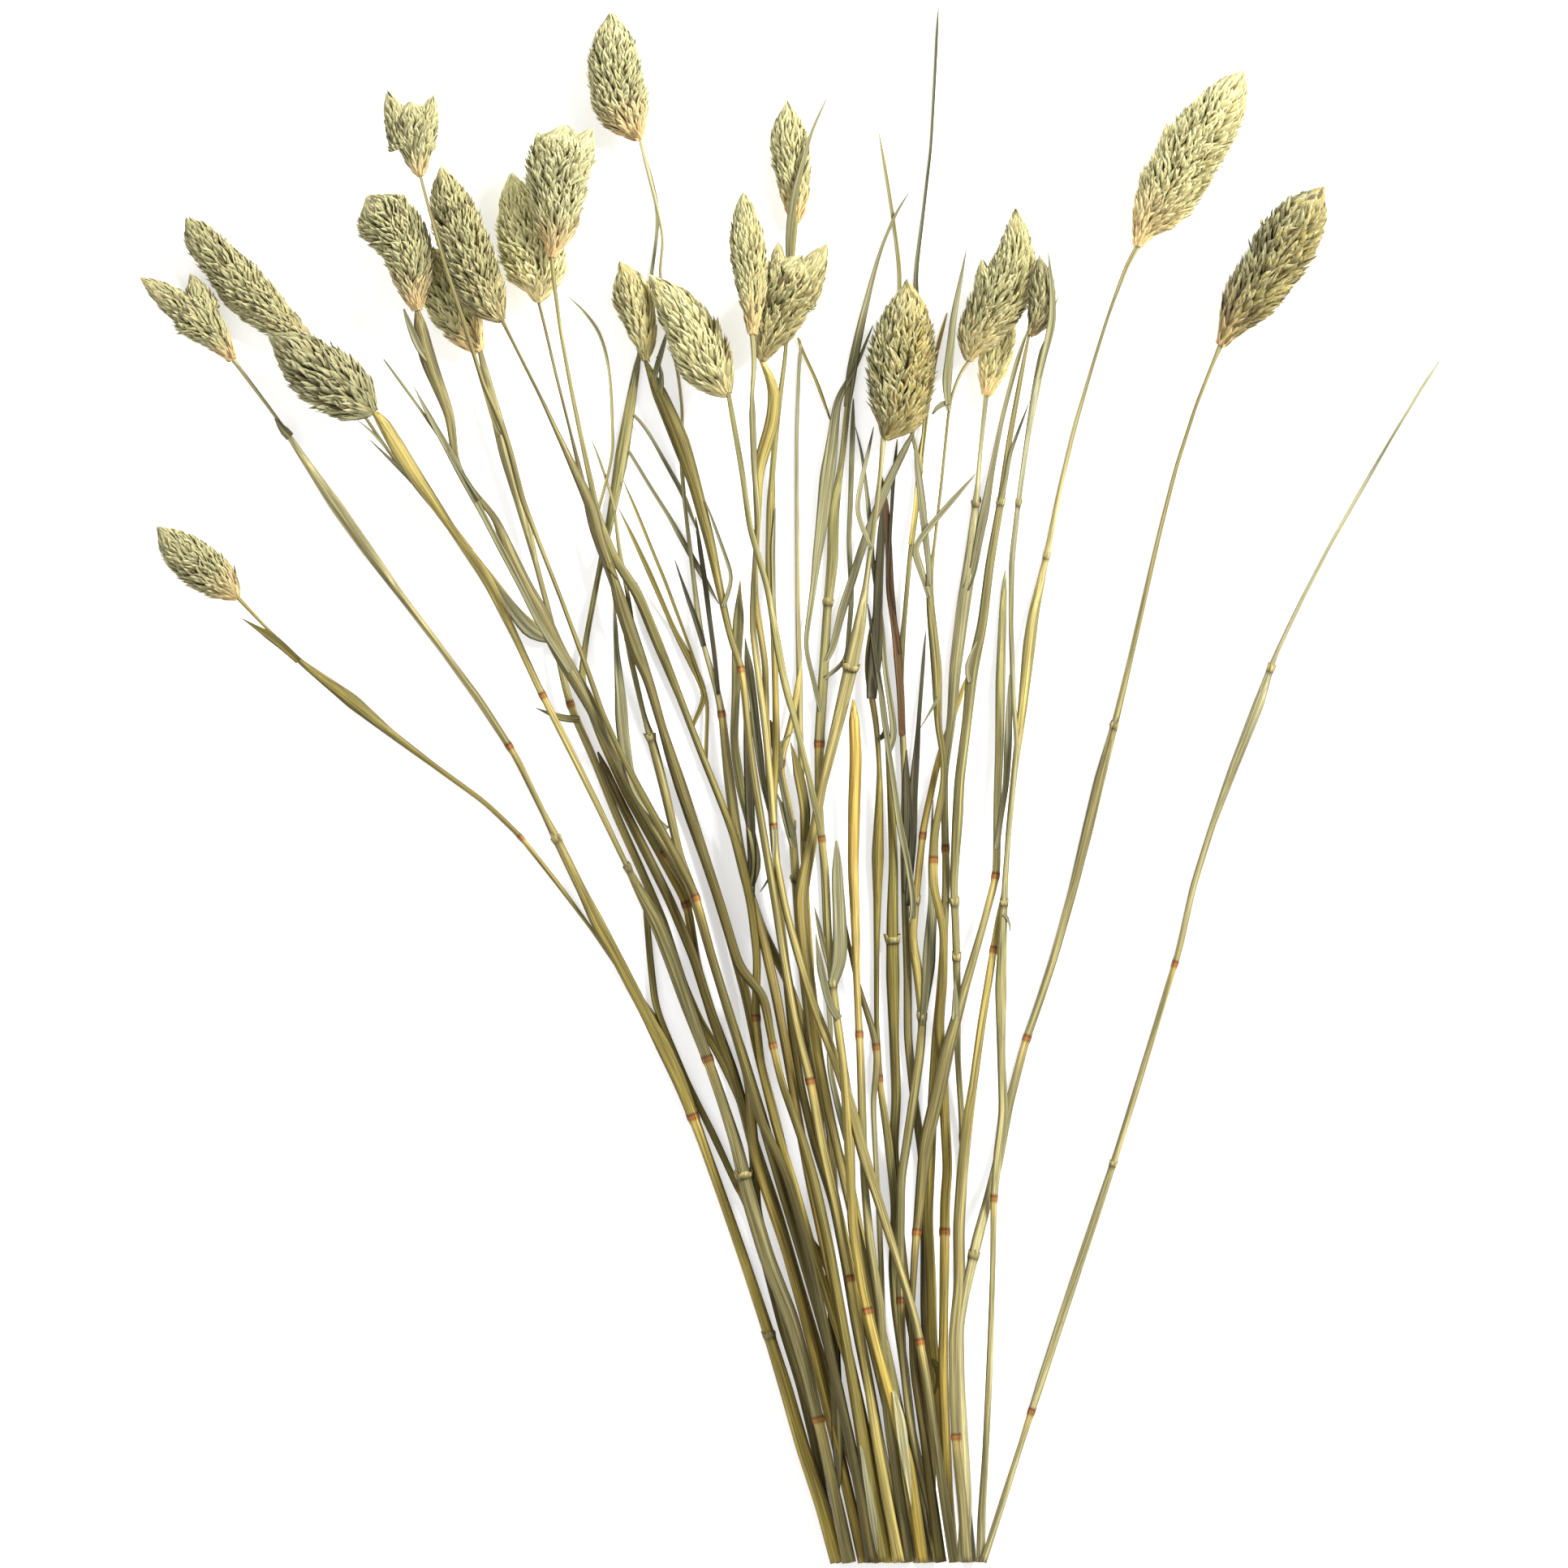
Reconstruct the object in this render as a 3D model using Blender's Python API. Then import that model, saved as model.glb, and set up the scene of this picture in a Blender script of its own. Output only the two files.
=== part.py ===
"""Dried canary grass bunch, laid flat: 22 headed stems and 16 headless ones, piled as they lie."""
import math

import bmesh
import bpy
import numpy as np

# Driving sizes, in millimetres
CUT_Y = -191.8          # the plane where every culm is cut
CLEARANCE = 0.3         # clear space between two neighbouring pieces
SIDE_ALLOWANCE = 0.15   # added round each piece when the pile is worked out
STIFFNESS = 0.0022      # fall of a culm past what it lies on, in mm at 1 mm; grows with the square
BLADE_STIFFNESS = 0.006     # the same for a blade
BLADE_THICKNESS = 0.7
CELL = 0.3              # grid of the height map
HALF_SPAN = 205.0       # half side of the square the height map covers
STEP = 0.25             # sampling step along and across every piece
ROLL_REACH = 1.8        # how far a foot may roll sideways into a hollow of the pile
ROLL_STEP = 0.3         # spacing of the places tried
ROLL_FROM_Y = -50.0     # the roll fades out from the foot up to here
ROLL_EFFORT = 0.3       # height worth one millimetre of roll
CULM_SIDES = 6          # flat sides of a culm, one of them turned down
CULM_ROUND = 2.4        # width up to which the culm is round
SHEATH_GROWTH = 0.3     # thickness a sheath gains for each millimetre of width past that
SUNK = 0.5              # share of the culm's half depth at which a blade lies on it
ROOT_SLACK = 0.1        # how far a blade's root may ride above that
TRIES = 4               # times a plant is laid again with its culm raised to meet its blades
NECK = 1.5              # width of a head where it sits on its culm, against the culm's
CORE = 0.66             # radius of a head's core against its scale tips
HEAD_DEPTH = 0.88       # depth of a head against its width
SCALE_REACH = 1.35      # how far a scale tip leans over, in rows
ROWS_SPAN = 0.93        # share of a head's length that the rows of scales take
POLE_RISE = 0.6         # how far the top of the core stands above its last row
TIP_UNEVEN = 0.06       # unevenness of the scale tips
THIN_PLACE = 0.5        # route points are dropped where the route moves less than this without them
THIN_WIDTH = 0.5        # and its width changes less than this
SCALE_WIDTH = 5.1       # width of one scale of a head
ROW_HEIGHT = 3.1        # distance from one row of scales to the next
MIN_SCALES = 6          # fewest rows, and scales round a row
WELD = 0.002            # points nearer than this are one
EMPTY = -1000.0         # height of the grid where nothing lies

# The plants from the lowest of the pile to the topmost: a name, the culm's route from the cut foot
# upward, the head's route or None, and the blades, each from its root on the culm to its tip.
# Every point of a route is (x, y, width) in millimetres, with the middle of the bunch at x = y = 0.
PLANTS = [
    ("k", [(14.1, CUT_Y, 2.6), (10.1, -177.7, 2.4), (7.6, -162.9, 2.3), (4, -148.3, 2.1),
           (-0.8, -133.1, 2), (-5, -117.6, 1.7), (-8.2, -106.1, 1.6), (-14.7, -92.6, 1.7),
           (-21.6, -78.2, 1.6), (-26.5, -67.2, 1.5), (-29.4, -60.7, 1.5), (-38.4, -48.7, 1.4),
           (-47.5, -35.6, 1), (-57.1, -22.8, 1.4), (-65.2, -12.6, 1.5), (-73.8, -4.4, 1.5),
           (-86.7, 4.9, 1.6), (-97.1, 12.7, 2.4), (-106.3, 20.4, 4.3), (-119.1, 30, 1.7),
           (-127.6, 38.5, 0.9), (-134.4, 45.7, 1.2)],
     [(-135.4, 46.8, 3.6), (-138.2, 49.6, 9.7), (-142.9, 53, 11.1), (-149.2, 57.7, 9.8),
      (-152.6, 61.3, 5.2), (-153.2, 62.1, 4.1)],
     [[(-119.6, 30.3, 1.7), (-126.1, 36.2, 2.3), (-133.6, 40.8, 0.9)],
      [(-11.4, -99.5, 1.6), (-17.7, -85.9, 1.7), (-24.3, -72.4, 1.4), (-30.5, -57.6, 1.5),
       (-31.9, -53.9, 1.8), (-33.4, -38, 1.6), (-34.2, -30, 1.4), (-34.2, -24, 0.9)]]),
    ("i", [(14.3, CUT_Y, 3.4), (10.5, -178.1, 3.5), (5.7, -163.9, 3.6), (1.2, -148.6, 3.5),
           (-3.7, -133.4, 3), (-8.9, -118.2, 2.8), (-14.2, -103.3, 2.7), (-19.7, -88.3, 2.7),
           (-25.1, -74.2, 3.9), (-29.8, -64.3, 4.3), (-34.1, -56.4, 3.3), (-41.5, -42.2, 3.4),
           (-45.9, -34.4, 4), (-49.8, -26.3, 2.9), (-55.9, -13.7, 2.6), (-59.1, -7.5, 1.7),
           (-66.1, 6.9, 2), (-74.8, 20.3, 2.3), (-84.2, 33.1, 1.9), (-93.9, 45.8, 2.2),
           (-103.4, 58.7, 3.5), (-110.3, 68.5, 3.8), (-119.3, 81.6, 2.1), (-124.8, 90, 0.9),
           (-134.4, 102.8, 1.1), (-135.6, 104.4, 1.4)],
     [(-136.6, 105.7, 3.1), (-140.8, 111.3, 7.8), (-145.1, 115.6, 11.7), (-150.9, 119.7, 12.1),
      (-155.6, 121.7, 8)],
     [[(-121.7, 85.5, 2.6), (-123.9, 87.5, 3.6), (-125.5, 90.1, 1.3)]]),
    ("h", [(19.6, CUT_Y, 2.8), (16.4, -177.1, 2.8), (13.1, -162.5, 2.8), (9.5, -147.9, 2.6),
           (5.8, -133.4, 2.6), (1.9, -118.9, 2.6), (-2.6, -104.6, 2.7), (-7.6, -89.4, 2.8),
           (-11.4, -74.8, 2.7), (-14.8, -65.4, 2.6), (-17.4, -58.8, 2.6), (-21.6, -44.3, 2.6),
           (-23.8, -29.6, 2.6), (-31.4, -15.6, 2.6), (-38.7, -2.4, 2.8), (-44.9, 11.2, 2.6),
           (-50.2, 25.2, 2.4), (-53.3, 30.6, 2.2), (-58.8, 36.6, 2), (-65.7, 42.5, 2),
           (-72.5, 51.2, 2.1), (-78.6, 59.1, 1.5), (-89.1, 71.2, 1.2), (-97.7, 82.3, 1),
           (-106.1, 94.7, 0.9), (-115, 106.8, 1), (-116.2, 108.4, 1)],
     [(-117.6, 109.5, 3.4), (-123.7, 114.6, 7), (-129.9, 119.5, 10.9), (-134.9, 124.4, 11.1),
      (-140.4, 130.2, 9.2), (-144.2, 134.9, 8.3), (-146.3, 138.3, 4.2)],
     [[(-77.1, 57.4, 1.4), (-83.7, 66.1, 1.1), (-94.1, 77.1, 1), (-102, 84.8, 0.7)],
      [(-97.9, 82.7, 0.8), (-101.8, 87.2, 0.8), (-105, 89.6, 0.8)],
      [(-58.2, 35.5, 1.6), (-60.2, 35.9, 2.4), (-62.7, 37.7, 3.7), (-66.5, 42.2, 3.1),
       (-71.4, 49.7, 1.7)]]),
    ("e", [(22, CUT_Y, 2.6), (18.2, -177.3, 2.6), (14.3, -162.8, 2.6), (10.1, -148.4, 2.6),
           (5.8, -134, 2.6), (1.7, -119.5, 2.6), (-2.4, -105.1, 2.7), (-7.1, -90.8, 2.8),
           (-11.1, -77.3, 2.8), (-16.2, -66.4, 2.8), (-20.9, -58.7, 2.6), (-25.2, -48.5, 2.6),
           (-29.7, -34.1, 2.6), (-34.8, -22.1, 2.4), (-41, -8.4, 2.4), (-46.6, 5.5, 2.2),
           (-52.3, 18.3, 2.3), (-54.2, 25, 2.1), (-57.2, 39.7, 1.6), (-61.1, 54.2, 1.6),
           (-64, 65.9, 3.1), (-68.4, 81.3, 4.2), (-71.7, 93.8, 3.1), (-73.7, 101.6, 2.3),
           (-74.8, 106.4, 1.6)],
     [(-75.6, 107.7, 4.2), (-78.3, 111.7, 9.8), (-82.5, 118.4, 11.6), (-86.1, 125.5, 11),
      (-87, 127.3, 10.4), (-89.1, 131.7, 5.2)],
     [[(-69.7, 85.6, 1), (-71.3, 88.2, 1), (-75.4, 102.6, 1), (-77.6, 108.1, 0.8)],
      [(-50.3, 15.9, 1.6), (-52.4, 15.7, 1.9), (-56.3, 16.7, 1.9), (-61.1, 18.7, 0.8)]]),
    ("w14", [(14.7, CUT_Y, 2.6), (11.7, -177.4, 2.6), (7.7, -162, 2.6), (3.3, -146.6, 2.6),
             (-0.8, -132.1, 2.6), (-4.5, -117.6, 2.7), (-7.5, -104.9, 2.7), (-8, -89.8, 2.8),
             (-9.1, -83.8, 2.8), (-12.9, -70.3, 2.8), (-18.1, -56.2, 2.8), (-22.2, -42.8, 2.8),
             (-28, -28.9, 2.8), (-34.7, -15.5, 2.7), (-41.9, -1.2, 2.6), (-45.9, 7.9, 2)],
     None,
     []),
    ("w0", [(21, CUT_Y, 2.4), (18, -176.1, 2.4), (14.7, -160.5, 2.4), (11.2, -144.9, 2.4),
            (7.5, -129.3, 2.4), (3.6, -113.8, 2.4), (-1.1, -98.5, 2.4), (-5.4, -83.2, 2.7),
            (-9.9, -67.8, 2.5), (-13.5, -56.4, 2.3), (-18.1, -41.1, 2.2), (-21, -30.4, 2.2),
            (-29.1, -17.7, 2.4), (-36.7, -3.7, 2.4), (-43.7, 10.7, 2.2), (-50.1, 24.9, 2.1),
            (-48.8, 35.6, 1.7), (-45.8, 51.3, 1.6), (-42.6, 66, 2.5), (-39.8, 81.7, 4),
            (-37.2, 97.5, 2.6), (-35.5, 107.3, 1.6)],
     None,
     [[(-37.1, 98.1, 1.4), (-35.9, 103.9, 1.2), (-33.5, 119.6, 0.9), (-31.3, 135.3, 0.8),
       (-30.9, 141.3, 1), (-34.4, 155.7, 1.2)],
      [(-38.9, 86.5, 0.9), (-34.9, 86.8, 0.8), (-33.8, 86.7, 0.8), (-32.1, 84.4, 0.8),
       (-24.9, 71.6, 1.2), (-20.9, 61.5, 1.1)],
      [(-40.9, 75.8, 0.8), (-37.3, 79.4, 0.7), (-36.5, 79, 0.7), (-28.5, 66.2, 1.1), (-21.1, 53.2, 1.5),
       (-16.1, 44.4, 1.2)]]),
    ("g", [(24.6, CUT_Y, 2.4), (22.1, -177, 2.4), (19.4, -162.3, 2.4), (16.3, -147.6, 2.4),
           (13.2, -132.9, 2.4), (10, -118.2, 2.4), (4.9, -112.1, 2.4), (0.8, -96.7, 2.4),
           (-2.9, -81.1, 2.6), (-6.6, -66.6, 2.5), (-9.4, -51.9, 2.8), (-13.4, -37.3, 2.8),
           (-17.8, -23.2, 2.8), (-23, -8.2, 3.4), (-27.4, 5.1, 3.3), (-30.3, 14.7, 2.4),
           (-34.2, 28.2, 2.9), (-39.4, 43.3, 3.3), (-43.3, 53.6, 2.8), (-47.1, 62.9, 2.4),
           (-50.4, 77.6, 1.5), (-52.5, 86.3, 0.9), (-56.2, 100.9, 0.9), (-59.6, 115.5, 0.9),
           (-60.4, 118.4, 0.9)],
     [(-60.3, 120.7, 4.2), (-60.1, 125, 14.9), (-62.3, 131.6, 15.9), (-64.5, 139.3, 13.2),
      (-66.2, 145.9, 7.9), (-66.8, 148.8, 4)],
     [[(-47, 62.8, 0.9), (-43, 77.7, 0.7), (-42.1, 82.7, 0.8), (-42.5, 95.8, 0.8), (-43.4, 104.8, 0.7),
       (-45.4, 111.5, 0.7), (-49.6, 117.1, 0.7), (-53.5, 120.3, 0.7)],
      [(-37.1, 37.1, 1.2), (-37.5, 41.1, 1.1), (-40.3, 55.9, 1.1), (-42.1, 69.8, 0.7),
       (-45.2, 79.4, 0.7), (-47.5, 85, 0.7)]]),
    ("c", [(20.2, CUT_Y, 2.6), (16.5, -176.2, 2.7), (12.7, -160.7, 2.8), (8.8, -145.2, 2.8),
           (4.9, -129.7, 2.8), (0.6, -114.3, 2.9), (-4.3, -100.1, 3), (-7.5, -89.6, 3),
           (-8.4, -74.5, 2.7), (-9.7, -68.6, 2.7), (-13.4, -57.1, 2.6), (-17.8, -42.8, 2.6),
           (-21.9, -28.3, 2.9), (-24.3, -22.7, 3.1), (-32, -9.8, 3.7), (-39.6, 4.2, 4.2),
           (-47, 18.4, 3.9), (-55.2, 32.1, 4.2), (-59.9, 42.1, 4.7), (-63.8, 49, 3.9),
           (-67.8, 57.1, 3.8), (-71, 65.5, 2.1), (-74.9, 70.1, 1.8), (-78.4, 74.1, 1.9), (-81, 79.6, 2),
           (-82.3, 90.8, 2.9), (-87.8, 104.7, 4.8), (-89.7, 112.5, 4.1), (-90.3, 116.5, 1.6)],
     [(-90.7, 118.6, 3.8), (-91.5, 122.4, 8.6), (-91.9, 129.5, 12), (-94.3, 135.1, 13.6),
      (-99.3, 140.4, 15), (-100.5, 142.1, 12.8)],
     [[(-87.8, 104.6, 1.5), (-89.9, 106.9, 1.7), (-92.8, 114.3, 2), (-93.7, 117.1, 2)],
      [(-52.7, 27.7, 1.6), (-60.3, 39.5, 1.6), (-67.1, 53, 1.6), (-74.1, 66.2, 1.6), (-81.2, 79.5, 2),
       (-87.6, 91, 1.3), (-91.3, 98.1, 0.7)],
      [(-74.9, 70.1, 0.9), (-77.7, 74.2, 0.9), (-82.4, 81.9, 0.9), (-91.5, 95, 0.7), (-97.4, 103, 0.9),
       (-98.6, 104.6, 1.4)]]),
    ("w1", [(21, CUT_Y, 2.4), (18.8, -176, 2.3), (16.6, -163.2, 2.3), (13.3, -147.6, 2.3),
            (9, -132.2, 2.3), (4.5, -116.8, 2.3), (-0.2, -101.6, 2.3), (-4.5, -86.2, 2.6),
            (-9.1, -70.9, 2.6), (-12.7, -58.4, 2.3), (-17.6, -43.2, 2.3), (-21.5, -28.7, 2.4),
            (-25.8, -17.5, 2.4), (-29.3, -2, 2.7), (-32.5, 10.6, 2.6), (-34.4, 16.3, 1.4),
            (-38, 31.9, 1.7), (-39.4, 41.8, 1.6), (-40.4, 48.7, 1.2), (-41.2, 51.6, 1)],
     None,
     [[(-35.6, 21.8, 0.8), (-39, 9.3, 2.7), (-40.1, 17.8, 3.2), (-41.2, 32.9, 1.3), (-42, 46, 1.1)]]),
    ("w2", [(30.6, CUT_Y, 2.4), (28.9, -175.9, 2.4), (26.9, -160, 2.4), (24.8, -144.2, 2.4),
            (21.9, -128.5, 2.4), (19.3, -113.7, 2.4), (16.5, -98.9, 2.4), (11.3, -84.8, 2.4),
            (8, -72.2, 2.4), (5, -59.6, 2.4), (0.8, -48.3, 2.5), (-5.5, -35.8, 2.7), (-9.3, -24.3, 2.8),
            (-12.6, -11.7, 2.3), (-18.6, 3.1, 1.8), (-24.3, 18, 1.9), (-30.3, 32.8, 2.9),
            (-33.4, 40.2, 3), (-36.1, 48.8, 1.5), (-36.4, 49.7, 1.2)],
     None,
     [[(-22.7, 13.7, 0.9), (-20.9, 18.1, 1.2), (-19, 21.5, 1.4), (-22.7, 29.9, 1.9), (-27.5, 38.8, 1.2),
       (-33.4, 52.7, 1.3), (-39.9, 66.3, 0.7), (-40.8, 68.1, 0.7)],
      [(-19.3, 4.8, 1), (-19, 15.7, 0.9), (-18.7, 20.5, 0.9), (-23.9, 35.6, 0.7), (-29.2, 49.7, 0.9),
       (-34.9, 63.7, 0.8), (-39.6, 74.8, 0.8)]]),
    ("w13", [(36.8, CUT_Y, 2.6), (35.7, -175.8, 2.6), (35.4, -159.8, 2.6), (35.4, -143.8, 2.6),
             (34.7, -128.9, 2.5), (34.7, -116.9, 2.4), (34.7, -106.9, 2.4), (34.1, -91.9, 2.4),
             (32, -77, 2.4), (30.5, -62.1, 2.4), (30.5, -47.1, 2.4), (29.9, -31.1, 2.2),
             (29.5, -15.1, 2.1), (29.8, 0.8, 1.9), (29.3, 10.9, 1.8), (28.6, 23.8, 1.9),
             (28.8, 31.8, 2.1), (29.6, 39.8, 1.4), (31, 55.7, 1.4), (32.9, 70.6, 1.8),
             (33.4, 76.6, 1.9), (33.9, 84.6, 1.9), (34, 85.6, 1.8)],
     None,
     [[(29.2, 12, 1.7), (28.6, 24, 1.9), (28.1, 32.1, 2.1), (27, 40, 1.7), (26.2, 47, 2.1),
       (25.9, 56, 1.7), (25.1, 68.1, 1.7), (23.8, 77, 1.3)],
      [(28.7, 32, 0.9), (28.1, 37, 0.9), (25.7, 47.8, 0.8), (26.2, 62.9, 0.8), (27.2, 78, 1),
       (27.9, 85, 1)],
      [(33.3, 73.9, 1), (33.6, 78.9, 1), (34.9, 90.9, 1.1), (34.2, 105.9, 1.1), (32.4, 120.8, 1.4),
       (32.5, 125.9, 1.1), (34.3, 140.7, 0.8), (36.1, 155.6, 0.7), (37, 170.6, 0.7), (37.7, 185.6, 0.7),
       (38.1, 191.6, 0.7)],
      [(31.3, 59, 1.3), (33.2, 74.9, 1.1), (35.1, 90.7, 1), (37.5, 106.5, 1), (40.2, 116.1, 1.2)],
      [(30.3, -27, 2.2), (30.5, -11.2, 2.6), (30.1, 3.6, 1.8), (30.3, 8.5, 0.8)],
      [(30.5, -30, 1.6), (31.7, -15, 1.8), (32, 0, 2.2), (33.2, 15, 1.1), (34.3, 30, 0.9), (35, 38, 0.7)],
      [(33.9, 76.6, 1), (30.8, 89.4, 1), (28.8, 104.3, 1), (28.4, 117.2, 1), (28.6, 126.3, 1.1),
       (26.7, 141.2, 0.9), (24.2, 156.1, 0.7), (23.3, 161, 0.7)]]),
    ("w3", [(36.8, CUT_Y, 2.8), (36.1, -181.9, 2.8), (36.1, -166.9, 2.8), (35, -153.9, 2.8),
            (32.5, -139.1, 2.8), (29.9, -124.3, 2.8), (28.5, -111.3, 2.8), (27.9, -99.3, 2.8),
            (26.9, -90.3, 2.8), (27.7, -77.3, 2.8), (27.1, -62.3, 2.8), (26.8, -47.2, 3.9),
            (26.7, -32.2, 3.3), (27, -19.3, 2.6), (26.3, -3.3, 2.1), (25.5, 11.6, 1.6),
            (24.7, 18.6, 1.4)],
     None,
     [[(25.9, 8, 1.3), (27.4, 11.8, 1.7), (25, 27.5, 1.3), (24.2, 38.5, 1.2), (21.9, 54.3, 1.1),
       (20.7, 70.2, 1.1), (19.1, 82.1, 0.7), (17.6, 87.9, 0.7)]]),
    ("w4", [(37.1, CUT_Y, 2.4), (35, -175.9, 2.4), (32.9, -160.1, 2.4), (30.9, -144.2, 2.4),
            (28.5, -129.4, 2.4), (27.6, -119.4, 2.4), (28.1, -104.3, 2.4), (26.4, -89.4, 2.4),
            (24, -74.6, 1.9), (22.9, -58.7, 1.5), (22.8, -42.7, 1.6), (23, -28.7, 2.3),
            (23.1, -17.7, 3.6), (23.5, -2.7, 2.1), (23.5, 4.2, 1.3), (22.8, 14.2, 1.6), (20.7, 27, 2.1),
            (20.8, 32.1, 2), (22.1, 42, 1.3)],
     None,
     [[(21.5, 21, 2.4), (21.6, 25.1, 3), (22.6, 30.9, 3.6), (23, 41.9, 2.4), (23.4, 52, 2.3),
       (24, 63, 1.8), (24.1, 70, 0.8)],
      [(23.2, 11, 1.2), (25.1, 11, 1.3), (25.6, 11.5, 1.3), (23.3, 26.5, 1.4), (21.1, 41.4, 1),
       (20.6, 44.4, 0.9)]]),
    ("w5", [(34.9, CUT_Y, 2.2), (32.3, -177, 2.2), (29.7, -162.2, 2.2), (26.9, -147.4, 2.2),
            (25.4, -135.4, 1.9), (24.9, -120.3, 1.6), (24.1, -105.3, 1.6), (23, -90.3, 1.4),
            (22.3, -78.3, 1.6), (23.3, -68.3, 2.1), (22.8, -63.1, 2.1), (18, -48.7, 1.5),
            (15.4, -37, 1.2), (14.5, -31, 0.9)],
     None,
     []),
    ("w6", [(26.6, CUT_Y, 2.2), (24.5, -176.9, 2.2), (22.3, -162.1, 2.2), (19.8, -147.2, 2.2),
            (17.3, -132.4, 2.1), (14.9, -117.6, 2), (12.4, -102.8, 2), (9.1, -88.1, 2), (7.3, -73.2, 2),
            (6.7, -62.2, 2), (6.7, -47.1, 2), (5.6, -31.2, 2), (4.8, -16.2, 1.9), (4.5, -1.1, 1.5),
            (3.9, 13.9, 1.9), (3.8, 26.9, 1.8), (3.4, 41.9, 1.4), (3.3, 56.9, 1.4), (3.2, 72, 1.3),
            (3.2, 87, 1.2), (3.7, 102, 1.1), (4.3, 110, 1)],
     None,
     [[(3.5, 98, 1.2), (4.4, 103.4, 1), (5.6, 103.9, 1), (7.9, 99.8, 0.9), (11.3, 90.1, 1.1),
       (11.6, 89.1, 1.1)],
      [(5, -14, 1.5), (5.5, -8.2, 2.6), (3.7, 2.6, 2.6), (1.6, 10.3, 1.4)]]),
    ("w15", [(27.5, CUT_Y, 2.2), (25.3, -176, 2.2), (23.1, -160.2, 2.2), (20.5, -144.4, 2.2),
             (17.5, -128.7, 2.2), (14.2, -113.1, 2.2), (12.5, -102.2, 2.2), (11.6, -87.2, 2.2),
             (9.3, -75.4, 2.2), (6.1, -59.8, 2.2), (4.3, -43.9, 2.2), (3.2, -28, 2.5),
             (2.2, -13.1, 2.3), (1.2, -5.4, 1.8), (-0.7, 2.4, 2), (-0.9, 5.6, 2.1), (1.9, 15.4, 2),
             (3.8, 26.2, 1.7), (4.1, 29.2, 1.6)],
     None,
     [[(2.2, -13, 1.6), (-1.1, 2.3, 1.3), (-2.5, 8.7, 1.2), (2.6, 13.1, 0.8)],
      [(2.4, -15.5, 1.8), (-0.6, -5.2, 1.6), (-2, -1.6, 0.8)],
      [(-0.9, 3.8, 2), (-2.3, 11.9, 3.2), (-3.4, 15.8, 1.6)]]),
    ("w7", [(33, CUT_Y, 2.4), (30.2, -177.1, 2.4), (27.2, -162.3, 2.4), (24.2, -147.6, 2.4),
            (21.3, -132.9, 2.4), (18.3, -118.2, 2.4), (16.7, -109.3, 2.4), (16.5, -94.2, 2.4),
            (16.3, -80.2, 2.4), (14, -65.3, 2.4), (12.1, -50.5, 2.2), (10.4, -35.6, 1.9),
            (9.8, -21.6, 1.7), (9.2, -12.6, 2.1), (8.6, -4.7, 2.3), (8.7, 11.3, 2.9), (9.7, 26.3, 2.9),
            (10.6, 42.3, 2.5), (12, 55.2, 3.3), (12.2, 67.3, 3.2), (14.2, 79.1, 1.7), (15.9, 95, 1.8),
            (16.5, 103, 1.5)],
     None,
     [[(15.5, 92.9, 1.7), (16.5, 100.8, 2.6), (19, 113.6, 1.9), (22.3, 126.2, 1.1), (24.2, 132.9, 0.9),
       (27.8, 141.1, 0.8), (31.1, 146.2, 0.7)],
      [(9.1, 18, 1.2), (5.5, 32.6, 1.2), (5.4, 35.6, 1.2), (7.5, 50.4, 1.7), (9.4, 65.3, 3.1),
       (10.9, 77.2, 3.7), (13, 93.1, 2), (13.3, 95.1, 1.8), (17.8, 102.8, 0.9), (21.9, 113, 0.9)],
      [(10.2, 30, 1.1), (11.8, 32.6, 1.5), (14.5, 43.3, 2.1), (19.4, 58.5, 2), (24, 70.6, 2.3),
       (30.5, 84.1, 1.7), (32.8, 88.5, 1.3)],
      [(9.9, 26, 1), (15.4, 30.1, 1.1), (16.7, 45.1, 1.3), (16, 60.1, 1.2), (16.6, 76, 1.3),
       (17, 92, 1.3), (17.1, 95, 1.3)],
      [(11.4, -45.5, 1.6), (8.1, -33.2, 1.3), (7.5, -30.3, 1)],
      [(16.5, -92, 1.4), (13.4, -80, 1.6), (11.2, -70, 1.4), (11.5, -60, 1.2), (10.3, -50, 1)]]),
    ("o", [(29.8, CUT_Y, 2.2), (26.8, -177.1, 2.3), (23.7, -162.4, 2.4), (20.6, -147.7, 2.4),
           (17.6, -133, 2.4), (15.1, -118.2, 2.4), (12.2, -103.3, 2.4), (7.6, -89, 2.4),
           (4.1, -74.4, 2.4), (1.9, -60.6, 2.4), (0.4, -45.7, 2.2), (-1.7, -29.8, 2.2),
           (-2, -18.9, 2.2), (-2.7, -6.8, 2.1), (-1.9, 8.2, 2.2), (-2.1, 23.2, 2), (-2.5, 38.2, 2),
           (-3.5, 53.2, 2.7), (-3.2, 68.2, 2.7), (-3, 75.2, 1.8), (-1.7, 90.2, 1.8), (0.3, 105.1, 1.2),
           (1.2, 120.1, 1.1), (2.6, 135, 1.3), (2.9, 138, 1.2)],
     [(2.9, 139.6, 3.1), (2.9, 144.5, 6.9), (2, 152.3, 9.2), (1.3, 158.2, 9.6), (0.9, 163.1, 7.1),
      (0.8, 167, 2.4)],
     [[(1.4, 122.6, 1), (1.1, 131.5, 1.6), (1.2, 136.5, 1.8), (2.5, 145.4, 1.9), (6.7, 160.7, 0.8),
       (10.9, 169.8, 0.7)],
      [(-2.5, 38, 0.9), (-2.4, 43, 0.9), (-2.7, 58, 1.1), (-2.1, 68, 0.8)]]),
    ("p", [(31.8, CUT_Y, 2.2), (28.8, -177.1, 2.3), (25.9, -162.4, 2.4), (22.8, -147.7, 2.4),
           (19.4, -133.1, 2.4), (15.6, -118.6, 2.4), (12.6, -104.9, 2.4), (9.5, -90.2, 2.4),
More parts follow.
